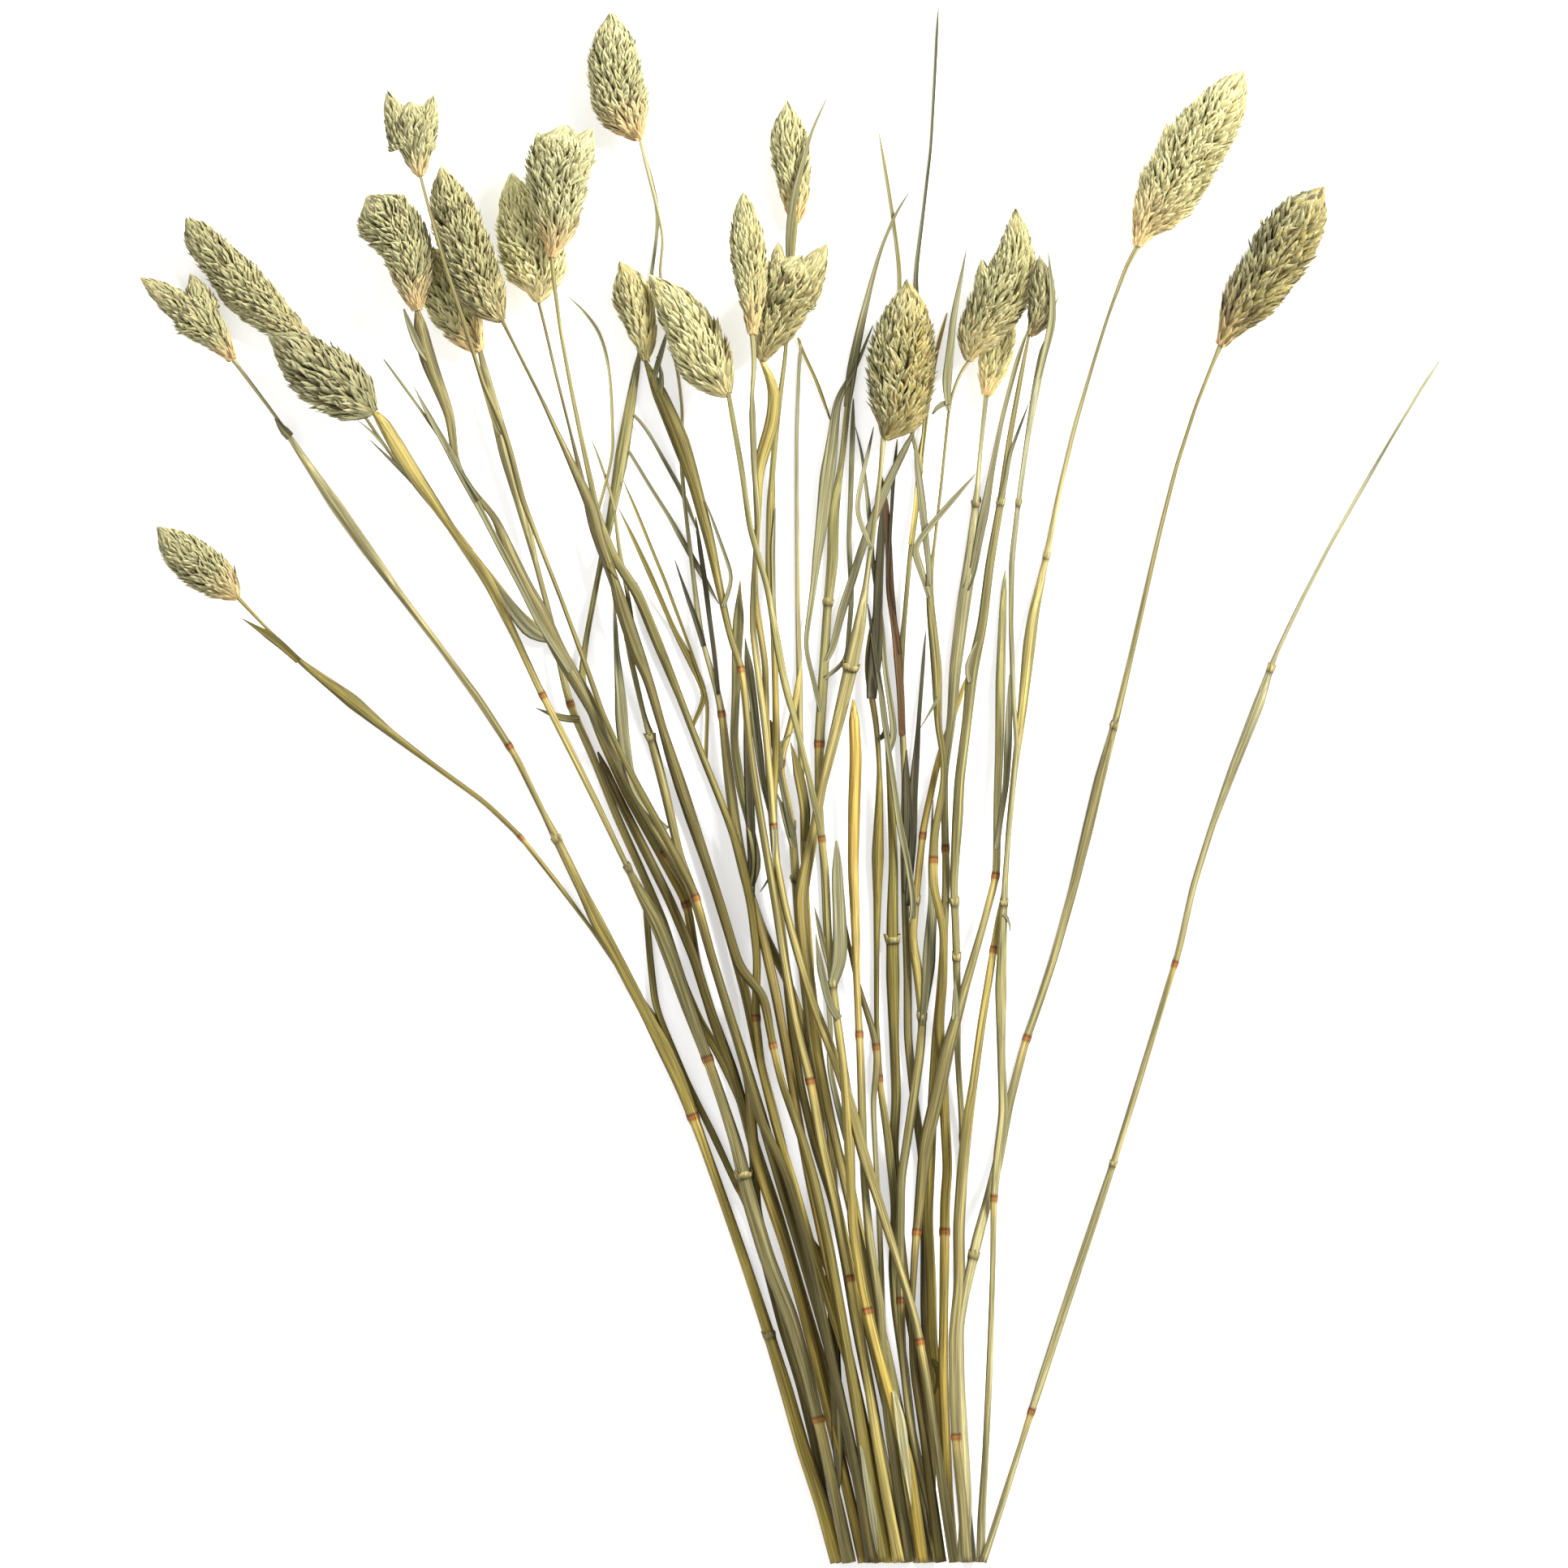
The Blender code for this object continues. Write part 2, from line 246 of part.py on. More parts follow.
           (6.5, -75.5, 2.4), (3.4, -60.8, 2.4), (0.6, -46, 2.4), (-1, -33.1, 2.4), (-1.5, -23.1, 2.4),
           (-2.6, -12.1, 2.3), (-3.7, 2.8, 2.1), (-4.4, 16.8, 2), (-4.6, 29.8, 1.9), (-7, 44.7, 1.9),
           (-7.3, 50.8, 1.9), (-6.5, 62.8, 1.8), (-6.5, 76.9, 3.3), (-4.8, 82.8, 4), (-2.7, 89.6, 4),
           (-2.3, 95.7, 3.5), (-2.8, 98.8, 3.1), (-5.5, 104.3, 1.4)],
     [(-5.1, 105.9, 3.2), (-4.1, 109.8, 9.6), (-1.9, 115.5, 13.8), (0.5, 122, 14.8), (3, 127.5, 13.7),
      (5.1, 131, 9.5)],
     [[(-6.5, 62, 1), (-6.2, 67, 1.2), (-7.4, 77.9, 1.6), (-7.8, 93, 1.7), (-7.9, 99, 1.2)],
      [(-2.9, -8, 1.4), (-5.2, 0, 1.4), (-6.4, 10, 2.2), (-7.5, 20, 2), (-8.8, 30, 2.2), (-9.6, 36, 1)]]),
    ("a", [(28, CUT_Y, 2.4), (24.8, -176.1, 2.4), (21.5, -160.5, 2.4), (17.9, -144.9, 2.4),
           (14.2, -129.3, 2.4), (10.6, -113.7, 2.4), (7, -98.2, 2.4), (3.9, -82.5, 2.5),
           (1, -66.7, 2.6), (-1.9, -52, 2.9), (-4.8, -39.3, 2.9), (-8.4, -27.8, 2.8),
           (-11.6, -13.2, 3.1), (-13.6, 1.7, 3), (-15.2, 16.6, 2.2), (-16.3, 22.5, 1.9),
           (-19.8, 34, 1.4), (-21.1, 40.9, 1.7), (-22.3, 50.8, 1.3), (-24.2, 66.7, 1.1),
           (-25.3, 78.7, 1.3), (-25, 91.7, 0.9), (-26, 100.7, 0.9), (-29.3, 115.3, 1),
           (-30.7, 126.3, 0.9), (-29.6, 134.3, 0.9), (-31.7, 144, 1), (-35.4, 158.6, 1.1)],
     [(-36.2, 160.1, 2.9), (-37.6, 162.7, 9.6), (-38.7, 164.3, 11.9), (-40.8, 168.8, 14.2),
      (-41.8, 176.7, 13.2), (-42.1, 182.7, 11.4), (-42.6, 188.6, 4.2)],
     [[(-19.8, 33.9, 1.3), (-21.1, 38.8, 1.4), (-25.3, 50.3, 0.8), (-26.9, 55.2, 0.9)],
      [(-16.1, 22.1, 1), (-17.2, 32, 1.1), (-19.1, 47, 1.3), (-21.2, 61.9, 1.1), (-21.8, 65.9, 1.1)],
      [(-8.2, -29, 2), (-8.2, -24, 2.1), (-7.8, -18, 2.2), (-8.6, -3, 2.4), (-8.8, 11, 2.3),
       (-9.5, 24, 1.4)],
      [(-8.6, -27, 1.4), (-6.4, -20, 2.2), (-8.4, -10, 1.8), (-10.9, 0, 2.4), (-12.3, 10, 2),
       (-12, 20, 2), (-11.6, 30, 2.4), (-11.3, 40, 2.8), (-10.8, 50, 1.2)]]),
    ("q", [(34, CUT_Y, 2.6), (31.1, -176.1, 2.6), (28.2, -160.4, 2.6), (25.1, -144.7, 2.6),
           (21.6, -129.1, 2.6), (17.9, -113.6, 2.6), (14.4, -98, 2.6), (11, -82.4, 2.6),
           (8.2, -66.6, 2.8), (6.6, -50.8, 3.3), (4.9, -40, 3.7), (4.1, -29, 4), (4.8, -23.9, 3.8),
           (7.7, -10.2, 2.9), (9.4, -0.3, 2.6), (13.3, 15.1, 3.5), (15.8, 25.9, 4), (18.5, 38.5, 3.6),
           (20.2, 49.4, 1.6), (22.4, 65.2, 1.4), (23.7, 76.1, 1.3), (24.5, 85.1, 1.5)],
     [(25.9, 86.9, 3.6), (27.5, 88.9, 11.8), (28.7, 95.8, 15.7), (28.8, 103.8, 16.7),
      (29.8, 111.6, 14.5), (30.5, 118.5, 9.4), (30.4, 122.5, 3.5)],
     [[(21.5, 58, 0.9), (18, 66.3, 1.3), (18.3, 71.3, 1.2), (21.7, 86, 0.9), (22.1, 88, 0.8)]]),
    ("w8", [(37.1, CUT_Y, 2.6), (34.5, -178.8, 2.4), (31, -164.1, 2.3), (29.4, -155.3, 2.1),
            (28.1, -140.3, 1.9), (27.7, -125.2, 2.3), (28, -110.2, 2.2), (28.3, -97.1, 2.4),
            (30.8, -82.3, 2.7), (33.2, -67.4, 2.6), (34.1, -58.4, 2.4), (32.9, -45.3, 2.9),
            (31.6, -38.4, 2.4), (32.9, -24.4, 2), (34.4, -10.5, 2), (37.6, 4.2, 1.9), (39.3, 10, 1.8),
            (43.8, 22.2, 1.4), (44.8, 26.1, 1.2)],
     None,
     [[(34.1, -59.5, 1.2), (35.2, -49.7, 2.4), (35.7, -43.9, 3.3), (36.7, -28, 2.2), (36.7, -20, 2.3),
       (36.4, -11, 0.7), (36.7, -4, 0.7)],
      [(31.6, -33, 1.6), (32, -29, 1.6), (30.6, -20, 1.6), (28.5, -10.2, 1.7), (26.3, 4.7, 1.4),
       (24.2, 19.6, 1.3), (22.9, 27.5, 1)]]),
    ("s", [(40.1, CUT_Y, 2.6), (38.7, -176.8, 2.7), (37.7, -161.8, 2.8), (36.3, -146.9, 2.8),
           (35.4, -136.9, 2.8), (35.3, -121.9, 2.8), (34.7, -106.8, 2.8), (35.6, -91.8, 2.8),
           (36.3, -76.9, 2.8), (37.6, -61.9, 3.1), (39, -49, 2.9), (39.4, -39, 2.3), (40, -23, 2.3),
           (39.6, -8, 2.2), (39.5, 3, 2.2), (41.3, 15.9, 2.7), (42.2, 28.9, 3.5), (44.3, 44.7, 4),
           (46.1, 55.6, 3.8), (47, 66.5, 2.3), (47.8, 74.5, 1.4), (48.5, 83.5, 1.2), (49.8, 95.4, 1.5)],
     [(50.1, 96.8, 2.4), (51.1, 100.6, 6.5), (52.5, 107.4, 8.8), (53.4, 113.3, 7.8), (54.2, 117.3, 5.3)],
     [[(44.7, 48, 1.8), (46.2, 50.6, 1.9), (49.2, 66.3, 2.4), (51.2, 77.1, 1.5), (53.7, 89.9, 1.1),
       (57.8, 105.3, 1.2), (60.1, 111.9, 1.2)]]),
    ("r", [(40.1, CUT_Y, 2.6), (38.9, -175.9, 2.6), (38.4, -159.9, 2.6), (38, -143.9, 2.6),
           (38.4, -128, 2.4), (38.8, -112, 2.8), (39, -102.1, 2.8), (39.8, -95.1, 2.8),
           (39.1, -79.1, 2.8), (38.9, -69.1, 2.8), (37.9, -60.2, 3), (39.2, -47.3, 2.6),
           (39.4, -36.3, 2.3), (38.4, -31.3, 2.4), (36.8, -25.4, 2.5), (37, -13.3, 2.3),
           (38, -7.3, 2.1), (39.5, 0.6, 2), (39.3, 7.6, 1.9), (38, 13.6, 2), (37.6, 28.5, 3.2),
           (36, 44.4, 2.4), (35.9, 50.4, 1.8), (37, 58.4, 0.9), (38.8, 74.2, 0.9), (40.4, 90.1, 0.9),
           (41.1, 95.1, 0.9), (43.5, 101.7, 0.9), (45.4, 104, 0.9)],
     [(45.8, 106.5, 4.2), (46.2, 108.8, 9), (50, 114.7, 12.5), (54.1, 120.6, 13.7), (56.8, 127.3, 11.7),
      (57.4, 134.5, 7.4), (57.1, 140.6, 2.4)],
     [[(35.8, 49, 1.4), (35.7, 54, 1.5), (34, 69, 2), (32.3, 83.9, 1.3), (32.2, 84.9, 1.2)],
      [(35.8, 46, 1.4), (32.7, 56.3, 2), (31.5, 57.7, 1.4), (35.5, 63.1, 1.6), (46, 75, 1.1),
       (47.3, 76.5, 0.8)],
      [(40.5, 92, 1.2), (40.1, 99.1, 2.4), (41.6, 114.1, 1.6), (44.4, 129, 0.8), (45, 132, 0.7)],
      [(40.8, 94.1, 1.3), (38.8, 94.2, 2.1), (37.8, 93.9, 2.6), (36.5, 91.1, 1.9)],
      [(38.1, 21.4, 1), (33.6, 13.8, 0.7)]]),
    ("t", [(45.6, CUT_Y, 2.6), (44.1, -175.9, 2.5), (42.9, -166, 2.4), (42.2, -151, 2.3),
           (42.1, -135.9, 2.2), (43.5, -124, 2.2), (43.2, -110, 2.2), (44.1, -96, 2.2),
           (43.7, -83, 1.8), (42.7, -67, 1.7), (42.7, -51.1, 2.1), (42.3, -35.1, 2.2),
           (41.8, -24.1, 2.3), (42.8, -8.2, 3.2), (43.2, 0.9, 3), (45.1, 15.7, 2.8), (46.3, 27.7, 3.4),
           (48.9, 39.4, 2.9), (50.7, 54.3, 2.6), (53.5, 70, 2.2), (55.7, 85.9, 1.7), (58.6, 101.6, 1.4),
           (60.3, 110.4, 0.9)],
     [(62, 112.4, 2.8), (63.4, 114.2, 6.4), (63.8, 120.5, 7), (63.4, 126.6, 4.4), (63.2, 128.6, 2.9)],
     [[(45.9, 25.1, 1.3), (44.8, 28.8, 1.9), (47.6, 35.1, 1.4)],
      [(53.4, 69.5, 1.1), (54.5, 73.3, 1), (55.6, 81.2, 0.9), (60.5, 94.3, 0.7)]]),
    ("f", [(25.6, CUT_Y, 2.4), (22.9, -176, 2.4), (19.9, -160.3, 2.4), (16.6, -144.7, 2.4),
           (11.6, -129.5, 2.3), (6.9, -114.2, 2.3), (2.5, -98.8, 2.3), (-2, -84.5, 2.3),
           (-5.6, -69.9, 2.3), (-7, -56.9, 2.4), (-6.6, -42.8, 2.3), (-8, -29.8, 2.6),
           (-11.4, -15.2, 2.7), (-14.2, -7.7, 2.1), (-20.2, 7.1, 2), (-25.6, 21.1, 2), (-31.2, 35, 3),
           (-36.2, 47.2, 3), (-41.8, 55.5, 2.6), (-46, 66.7, 1.7), (-48.9, 80.4, 1.5), (-52.2, 96, 1.2),
           (-55.1, 111.7, 1.1), (-56.8, 124.6, 1.2), (-57.2, 129.6, 1.3)],
     [(-56.7, 131.7, 3), (-55.8, 135.9, 9.4), (-56.2, 143, 13.6), (-56, 150.1, 15.5),
      (-54.9, 156, 15.5), (-54.4, 159, 12.7)],
     []),
    ("d", [(23.9, CUT_Y, 3.4), (21.2, -176, 3.2), (18.9, -160.2, 2.8), (16.4, -144.4, 2.8),
           (13.7, -128.7, 2.8), (11, -113.9, 2.8), (7.8, -99.2, 2.8), (4.6, -87.6, 2.6),
           (-0.6, -73.6, 2.1), (-2.9, -63.8, 2.2), (-4.8, -53, 2.7), (-5.1, -52, 2.7),
           (-11.1, -45.2, 2.9), (-15.6, -29.9, 2.7), (-20.7, -14.7, 3.1), (-25.5, -0.5, 3.7),
           (-30, 13.8, 2.5), (-33.6, 26.3, 3), (-36.4, 32.7, 4.1), (-40.5, 45.1, 4), (-41.7, 49.9, 2.8),
           (-45.4, 60.3, 3), (-47.3, 68.1, 3.6), (-54, 82.6, 1.8), (-59.9, 95.2, 1),
           (-67.1, 109.5, 0.9), (-69.3, 114, 1.2)],
     [(-70.4, 115.3, 4.1), (-72.9, 118.1, 10), (-75.6, 124.7, 12.4), (-78.4, 131.1, 12.7),
      (-80.7, 137.8, 12.3), (-82.5, 143.5, 10.8), (-84.1, 150.4, 4.2)],
     [[(-43.4, 54.3, 2), (-41.5, 51.1, 1.5), (-40.9, 50.5, 1.2)]]),
    ("b", [(23.4, CUT_Y, 2.4), (20.5, -176.1, 2.4), (17.2, -160.4, 2.4), (13.6, -144.8, 2.4),
           (10.1, -129.2, 2.4), (6.4, -113.7, 2.4), (1.9, -98.3, 2.4), (-0.3, -92.9, 2.4),
           (-5.3, -83, 2.7), (-9.4, -69.5, 2.6), (-13.3, -57.1, 2.4), (-17.7, -42.8, 2.4),
           (-21.8, -27.4, 2.4), (-26.2, -18.4, 2.4), (-32.5, -7, 2.1), (-40.1, 7.1, 1.7),
           (-44.6, 17.1, 1.5), (-49.6, 31.3, 1.4), (-55.2, 46.3, 1.2), (-61, 61.1, 1.3),
           (-64.6, 70.4, 1.7), (-68.3, 85, 1.6), (-70.6, 90.6, 1.5), (-73.9, 97.8, 1.3),
           (-78.7, 113.1, 1.2), (-83.4, 127.3, 1.1), (-87.5, 141.8, 0.9), (-89.5, 149.5, 0.9)],
     [(-89.8, 151.1, 3.6), (-90.7, 156.8, 8.6), (-91.6, 164.6, 12.4), (-91.7, 165.5, 12.7),
      (-91.8, 167.5, 11.1)],
     []),
    ("w9", [(32.6, CUT_Y, 2.8), (30.1, -176, 2.8), (27.7, -160.2, 2.8), (25.6, -144.4, 2.8),
            (24.7, -129.4, 2.8), (22, -113.7, 2.6), (20.4, -97.8, 2.2), (19.7, -81.9, 2.4),
            (19, -65.9, 2.2), (18.3, -55, 2.1), (17.8, -46, 2.1), (17.7, -37, 2.6), (17, -21.1, 3.1),
            (17.3, -5.1, 3.6), (17.7, 6.8, 3.6), (17.2, 16.8, 3), (17.1, 20.8, 2.3)],
     None,
     []),
    ("w10", [(36.9, CUT_Y, 2.8), (34.9, -176, 2.6), (33, -160.1, 2.2), (30.6, -144.3, 1.8),
             (30.3, -130.4, 1.7), (31.5, -114.5, 2.1), (33.3, -98.6, 3.3), (34.4, -88.7, 3.9),
             (38.3, -73.2, 4.2), (40.1, -65.5, 3.8), (44.6, -50.1, 2.6), (49.1, -34.8, 2.1),
             (52.4, -22.3, 2.3), (52.5, -6.3, 2.2), (53.1, 9.7, 2.5), (53.3, 25.6, 2.8),
             (53.9, 41.6, 2.3), (54.5, 52.6, 1.4)],
     None,
     [[(42.2, -58.1, 2), (42.6, -55.1, 2.1), (42.1, -51.2, 1.9), (42.1, -48.2, 1)],
      [(52.4, -16, 1.4), (53.6, -8, 1.2), (54.7, 0, 1.6), (55.3, 10, 2), (55.5, 20, 1.4),
       (55.6, 27, 0.8)]]),
    ("n", [(40.1, CUT_Y, 2.6), (38, -176.8, 2.5), (36, -161.9, 2.3), (34, -147, 2.2),
           (31.4, -132.2, 2.3), (26.9, -116.9, 2.2), (22.6, -102.6, 2.6), (19.5, -93, 3.2),
           (15.8, -78.5, 3.1), (12.8, -68.9, 2.9), (7.4, -54.9, 2.5), (3, -40.6, 2.3), (0.4, -31, 2.2),
           (-2.2, -17.3, 2.1), (-3.1, -2.3, 2.1), (-4.5, 12.7, 2), (-6.4, 27.6, 1.9), (-7.8, 38.5, 1.9),
           (-7.4, 49.6, 1.9), (-6.3, 64.6, 1.6), (-7.6, 79.6, 1.3), (-8.1, 93.6, 1.1),
           (-7.2, 104.6, 1.5), (-7.8, 110.6, 1.5)],
     [(-7.8, 112.1, 2.6), (-7.6, 119.9, 6.4), (-8.6, 127.8, 9), (-9.2, 135.6, 8.6), (-9.9, 143.4, 3.9),
      (-10, 144.4, 3.2)],
     [[(-2.6, -10.3, 1.2), (-2.2, -15.3, 1.1), (-2.9, -22.5, 1), (-5.9, -26.6, 1)]]),
    ("l", [(27.2, CUT_Y, 2.8), (24.4, -177, 2.8), (22, -162.2, 2.7), (19.9, -147.3, 2.4),
           (17.6, -132.5, 2.2), (15, -117.7, 2.3), (12.2, -102.9, 2.5), (8.9, -88.3, 2.7),
           (6.4, -73.5, 2.6), (2.7, -58.9, 2.2), (0.1, -44.1, 2.1), (-2.2, -29.3, 2.2),
           (-4.7, -14.5, 2.3), (-7.2, 0.4, 2.2), (-8.8, 12.3, 2.1), (-9.8, 23.4, 2.1),
           (-10.5, 28.6, 2.1), (-13.2, 36.2, 1.9), (-15.4, 46.1, 2.2), (-18.3, 59.8, 3.1),
           (-22.1, 74.3, 3.8), (-25.6, 84.8, 5.3), (-30.9, 96.8, 4.2), (-34.1, 104.1, 1.1)],
     [(-34.2, 107.5, 3.2), (-34.2, 109.8, 6.8), (-36.5, 117.3, 9.2), (-37.3, 120.2, 10.2),
      (-38.8, 125, 7.2), (-39.5, 126.8, 4.2)],
     [[(-30.6, 96.3, 1.6), (-29.7, 101, 1.4), (-31.5, 105.4, 0.8)],
      [(-15, 43.7, 1.2), (-12.5, 50.9, 1), (-17.7, 65.3, 0.8), (-19.5, 70, 0.8)],
      [(-32.2, 99.4, 1.4), (-28.6, 112.2, 1.6)]]),
    ("m", [(34.2, CUT_Y, 3), (32.1, -176.9, 3), (30.6, -167.1, 3), (26.6, -152.6, 2.8),
           (22.6, -138.1, 2.6), (19.6, -125.4, 2.7), (17.2, -110.6, 2.7), (16.3, -95.6, 2.6),
           (15.3, -80.6, 2.4), (14.5, -67.6, 2.3), (12.3, -52.8, 2.3), (11, -37.9, 2),
           (10.4, -22.9, 1.9), (9.2, -12, 2.1), (5.9, 2.7, 1.7), (2.3, 17.3, 1.9), (0.3, 24, 2.2),
           (-1.7, 34.8, 2.3), (-4.1, 48.6, 1.7), (-8.4, 63, 1.8), (-10.3, 76.9, 1.6),
           (-12.9, 91.7, 1.5), (-13.6, 95.7, 1.3)],
     [(-14.6, 97, 3.3), (-16.4, 99.3, 10.3), (-20.1, 105.1, 14.4), (-23.1, 112.5, 12.6),
      (-27.7, 119, 9.1), (-31.5, 123.6, 4)],
     [[(11.9, -49.6, 2.2), (14, -43, 3.8), (13.4, -28, 3.1), (12.9, -14, 2.2)],
      [(13.6, -57.9, 2), (11.4, -55.5, 1.8), (9.3, -46.8, 1.9), (7.8, -37, 1.2)]]),
    ("j", [(17.8, CUT_Y, 3.4), (14.3, -176.2, 3.1), (10.8, -160.6, 2.8), (6.9, -145.1, 3.2),
           (2.9, -131.7, 3.9), (-3.3, -117, 4.3), (-7.8, -102.6, 4.3), (-11.2, -89, 3.5),
           (-14.7, -78.6, 3), (-18.1, -69.1, 3), (-23.7, -54.5, 4), (-28.7, -40.3, 4.6),
           (-31.3, -33.8, 4.5), (-35.8, -26, 2.9), (-39, -19.7, 1.6), (-45.9, -5.3, 1.8), (-53, 9, 2),
           (-60.2, 23.3, 2), (-66.5, 36.9, 2.2), (-73, 50.4, 3.4), (-81.7, 62.7, 2.4),
           (-90.8, 75.9, 4.2), (-95.6, 83.5, 4.4), (-99, 89.6, 3.6), (-100.9, 91.5, 1.6)],
     [(-102.4, 92.6, 5.1), (-104.3, 94, 12), (-109.9, 98, 15.3), (-115.6, 102.1, 15.3),
      (-120.8, 106.9, 11.4), (-125.1, 109.7, 4.7)],
     []),
    ("v", [(42.3, CUT_Y, 3.2), (43.3, -176.8, 2.9), (42.8, -161.8, 2.5), (42.2, -146.8, 2.3),
           (42.2, -133.8, 2.2), (43.6, -125.9, 2.4), (46.8, -112.3, 3), (49.5, -102.7, 2.6),
           (52, -94, 2.9), (55, -79.3, 2.6), (59.2, -63.9, 2.3), (63.3, -52.6, 2.3), (66.7, -42.2, 2.4),
           (71, -26.9, 2.6), (74.8, -11.4, 3.2), (77.8, 1.3, 3.2), (81.8, 15.7, 2), (85.5, 31.3, 1.6),
           (89.1, 46.9, 1.5), (92.7, 62.5, 1.3), (96.6, 77.9, 1.2), (101.5, 93.2, 1.1),
           (106.7, 106.1, 1.2), (107.5, 107.9, 1.5)],
     [(108.2, 109.2, 2.4), (111.5, 115.4, 9.1), (114.5, 119.5, 13.5), (118.9, 124.9, 13.9),
      (122.9, 131.8, 15.5), (125.4, 136.1, 15), (129.4, 142, 10.8), (131.7, 145.3, 5.3)],
     [[(81.3, 14, 1), (82.5, 16.6, 1)]]),
    ("u", [(45.4, CUT_Y, 2.7), (44.2, -176.8, 2.5), (43, -165.9, 2.4), (42.1, -150.8, 2.5),
           (41.9, -135.8, 2.6), (43.2, -123.8, 2.6), (43, -108.8, 2.8), (44.1, -94.8, 3.1),
           (45.2, -83.9, 3.1), (46.7, -74, 2.4), (48.7, -59.1, 2.4), (51.1, -44.3, 2.3),
           (52.8, -33.4, 1.8), (54.4, -26.6, 1.6), (55.3, -11.6, 1.6), (56.8, 3.4, 1.9),
           (58.7, 18.2, 2.7), (60.4, 34.1, 3.7), (61.5, 42.1, 3.2), (64.8, 56.7, 1.7),
           (67.7, 71.4, 1.4), (71.4, 87, 1.3), (75.5, 101.4, 1.1), (80, 115.8, 1), (84.5, 127.9, 1.4),
           (87.1, 132.3, 1.6)],
     [(87.7, 134.3, 2.9), (88.4, 137, 6.3), (90.9, 140.2, 11.3), (94.5, 145, 15.1), (97.7, 151.2, 15.7),
      (101.3, 157.3, 15.6), (105.4, 163, 14.6), (109.3, 168.9, 11.1), (112.3, 174.1, 5.3)],
     []),
    ("w11", [(48.5, CUT_Y, 2.2), (48.6, -181.8, 2.1), (49.6, -165.9, 1.7), (50.4, -149.9, 1.8),
             (51, -133.9, 1.6), (51.5, -117.9, 1.5), (51.7, -101.9, 1.9), (52.8, -91, 2.7),
             (54.1, -81.1, 2.7), (53.5, -66.1, 2.4), (53.4, -50.1, 3.4), (54, -34.1, 2.3),
             (54.8, -18.2, 1.5), (56.3, -3.2, 1.4), (57.4, 8.8, 1.4), (56.4, 23.8, 1.4),
             (55.9, 39.8, 1.5), (56.1, 54.8, 1.8), (57.8, 69.7, 1.5), (59.9, 84.6, 1.6),
             (61.9, 96.4, 2.4), (63.8, 106.2, 2.7), (65.7, 111.9, 1.8)],
     None,
     [[(54.1, -32, 1.3), (55.5, -31.8, 1.2), (55.8, -36.4, 1)],
      [(62.6, 100.2, 1.3), (64.5, 107, 1.8), (66.1, 113.8, 2.1), (66.2, 121.9, 1.3), (65.1, 131, 1)]]),
    ("w12", [(48.8, CUT_Y, 1.7), (53.8, -176.3, 1.8), (58.4, -162, 1.5), (63, -147.7, 2.2),
             (67.7, -133.4, 2.3), (72.4, -119.2, 2.3), (77.2, -105, 2.2), (82, -90.7, 1.8),
             (86.5, -76.4, 1.9), (90.9, -62.1, 1.8), (95.3, -47.7, 1.8), (97.4, -41, 1.9),
             (100.8, -25.4, 1.9), (105.6, -10.1, 1.9), (111.1, 4.8, 2.8), (117, 19.7, 3.2),
             (119.5, 27.3, 2), (121.2, 32, 1.3), (127.7, 45.6, 1.2), (134.6, 58.9, 1.1),
             (142.5, 72.8, 1.2), (150, 85.8, 0.9), (157.8, 98.6, 0.9), (161.7, 104.5, 0.9)],
     None,
     []),
]

NOTCH = {"b": 0.24, "i": 0.26, "p": 0.2, "f": 0.1}     # how deep the blunt heads are notched at the top
HEAD_TONE = (0.72, 0.68, 0.48, 1.0)
STEM_TONE = (0.46, 0.43, 0.2, 1.0)


def thin(points):
    """Drop the points that a straight line between their neighbours would replace well enough."""
    scale = np.array([1 / THIN_PLACE, 1 / THIN_PLACE, 1 / THIN_WIDTH])
    kept = [0]
    start = 0
    while start < len(points) - 1:
        end = start + 1
        for trial in range(start + 2, len(points)):
            gone = run_length(points[start:trial + 1])
            share = (gone[1:-1] / gone[-1])[:, None]
            line = points[start] + (points[trial] - points[start]) * share
            if np.abs((points[start + 1:trial] - line) * scale).max() > 1:
                break
            end = trial
        kept.append(end)
        start = end
    return points[kept]


def run_length(points):
    """Plan distance from the first point to each point of a route."""
    step = np.hypot(*(points[1:, :2] - points[:-1, :2]).T)
    return np.concatenate([[0.0], np.cumsum(step)])


def across(points):
    """Level unit vector square to the route at each point; at a bend it halves the turn."""
    leg = points[1:, :2] - points[:-1, :2]
    leg /= np.linalg.norm(leg, axis=1, keepdims=True)
    way = np.vstack([leg[:1], leg[1:] + leg[:-1], leg[-1:]])
    way /= np.linalg.norm(way, axis=1, keepdims=True)
    return np.stack([way[:, 1], -way[:, 0]], axis=1)


def half_depth(width):
    """Half the thickness of a culm: round while slender, then a sheath that widens more than it thickens."""
    return np.where(width < CULM_ROUND, width, CULM_ROUND + SHEATH_GROWTH * (width - CULM_ROUND)) / 2


def out_to_tips(head):
    """A head's route with its widths taken out to the longest scale tips."""
    return head * (1, 1, 1 + TIP_UNEVEN)


def bottom_reach(width):
    """How far the flat underside of a many-sided culm lies below its centre."""
    return half_depth(width) * math.cos(math.pi / CULM_SIDES)


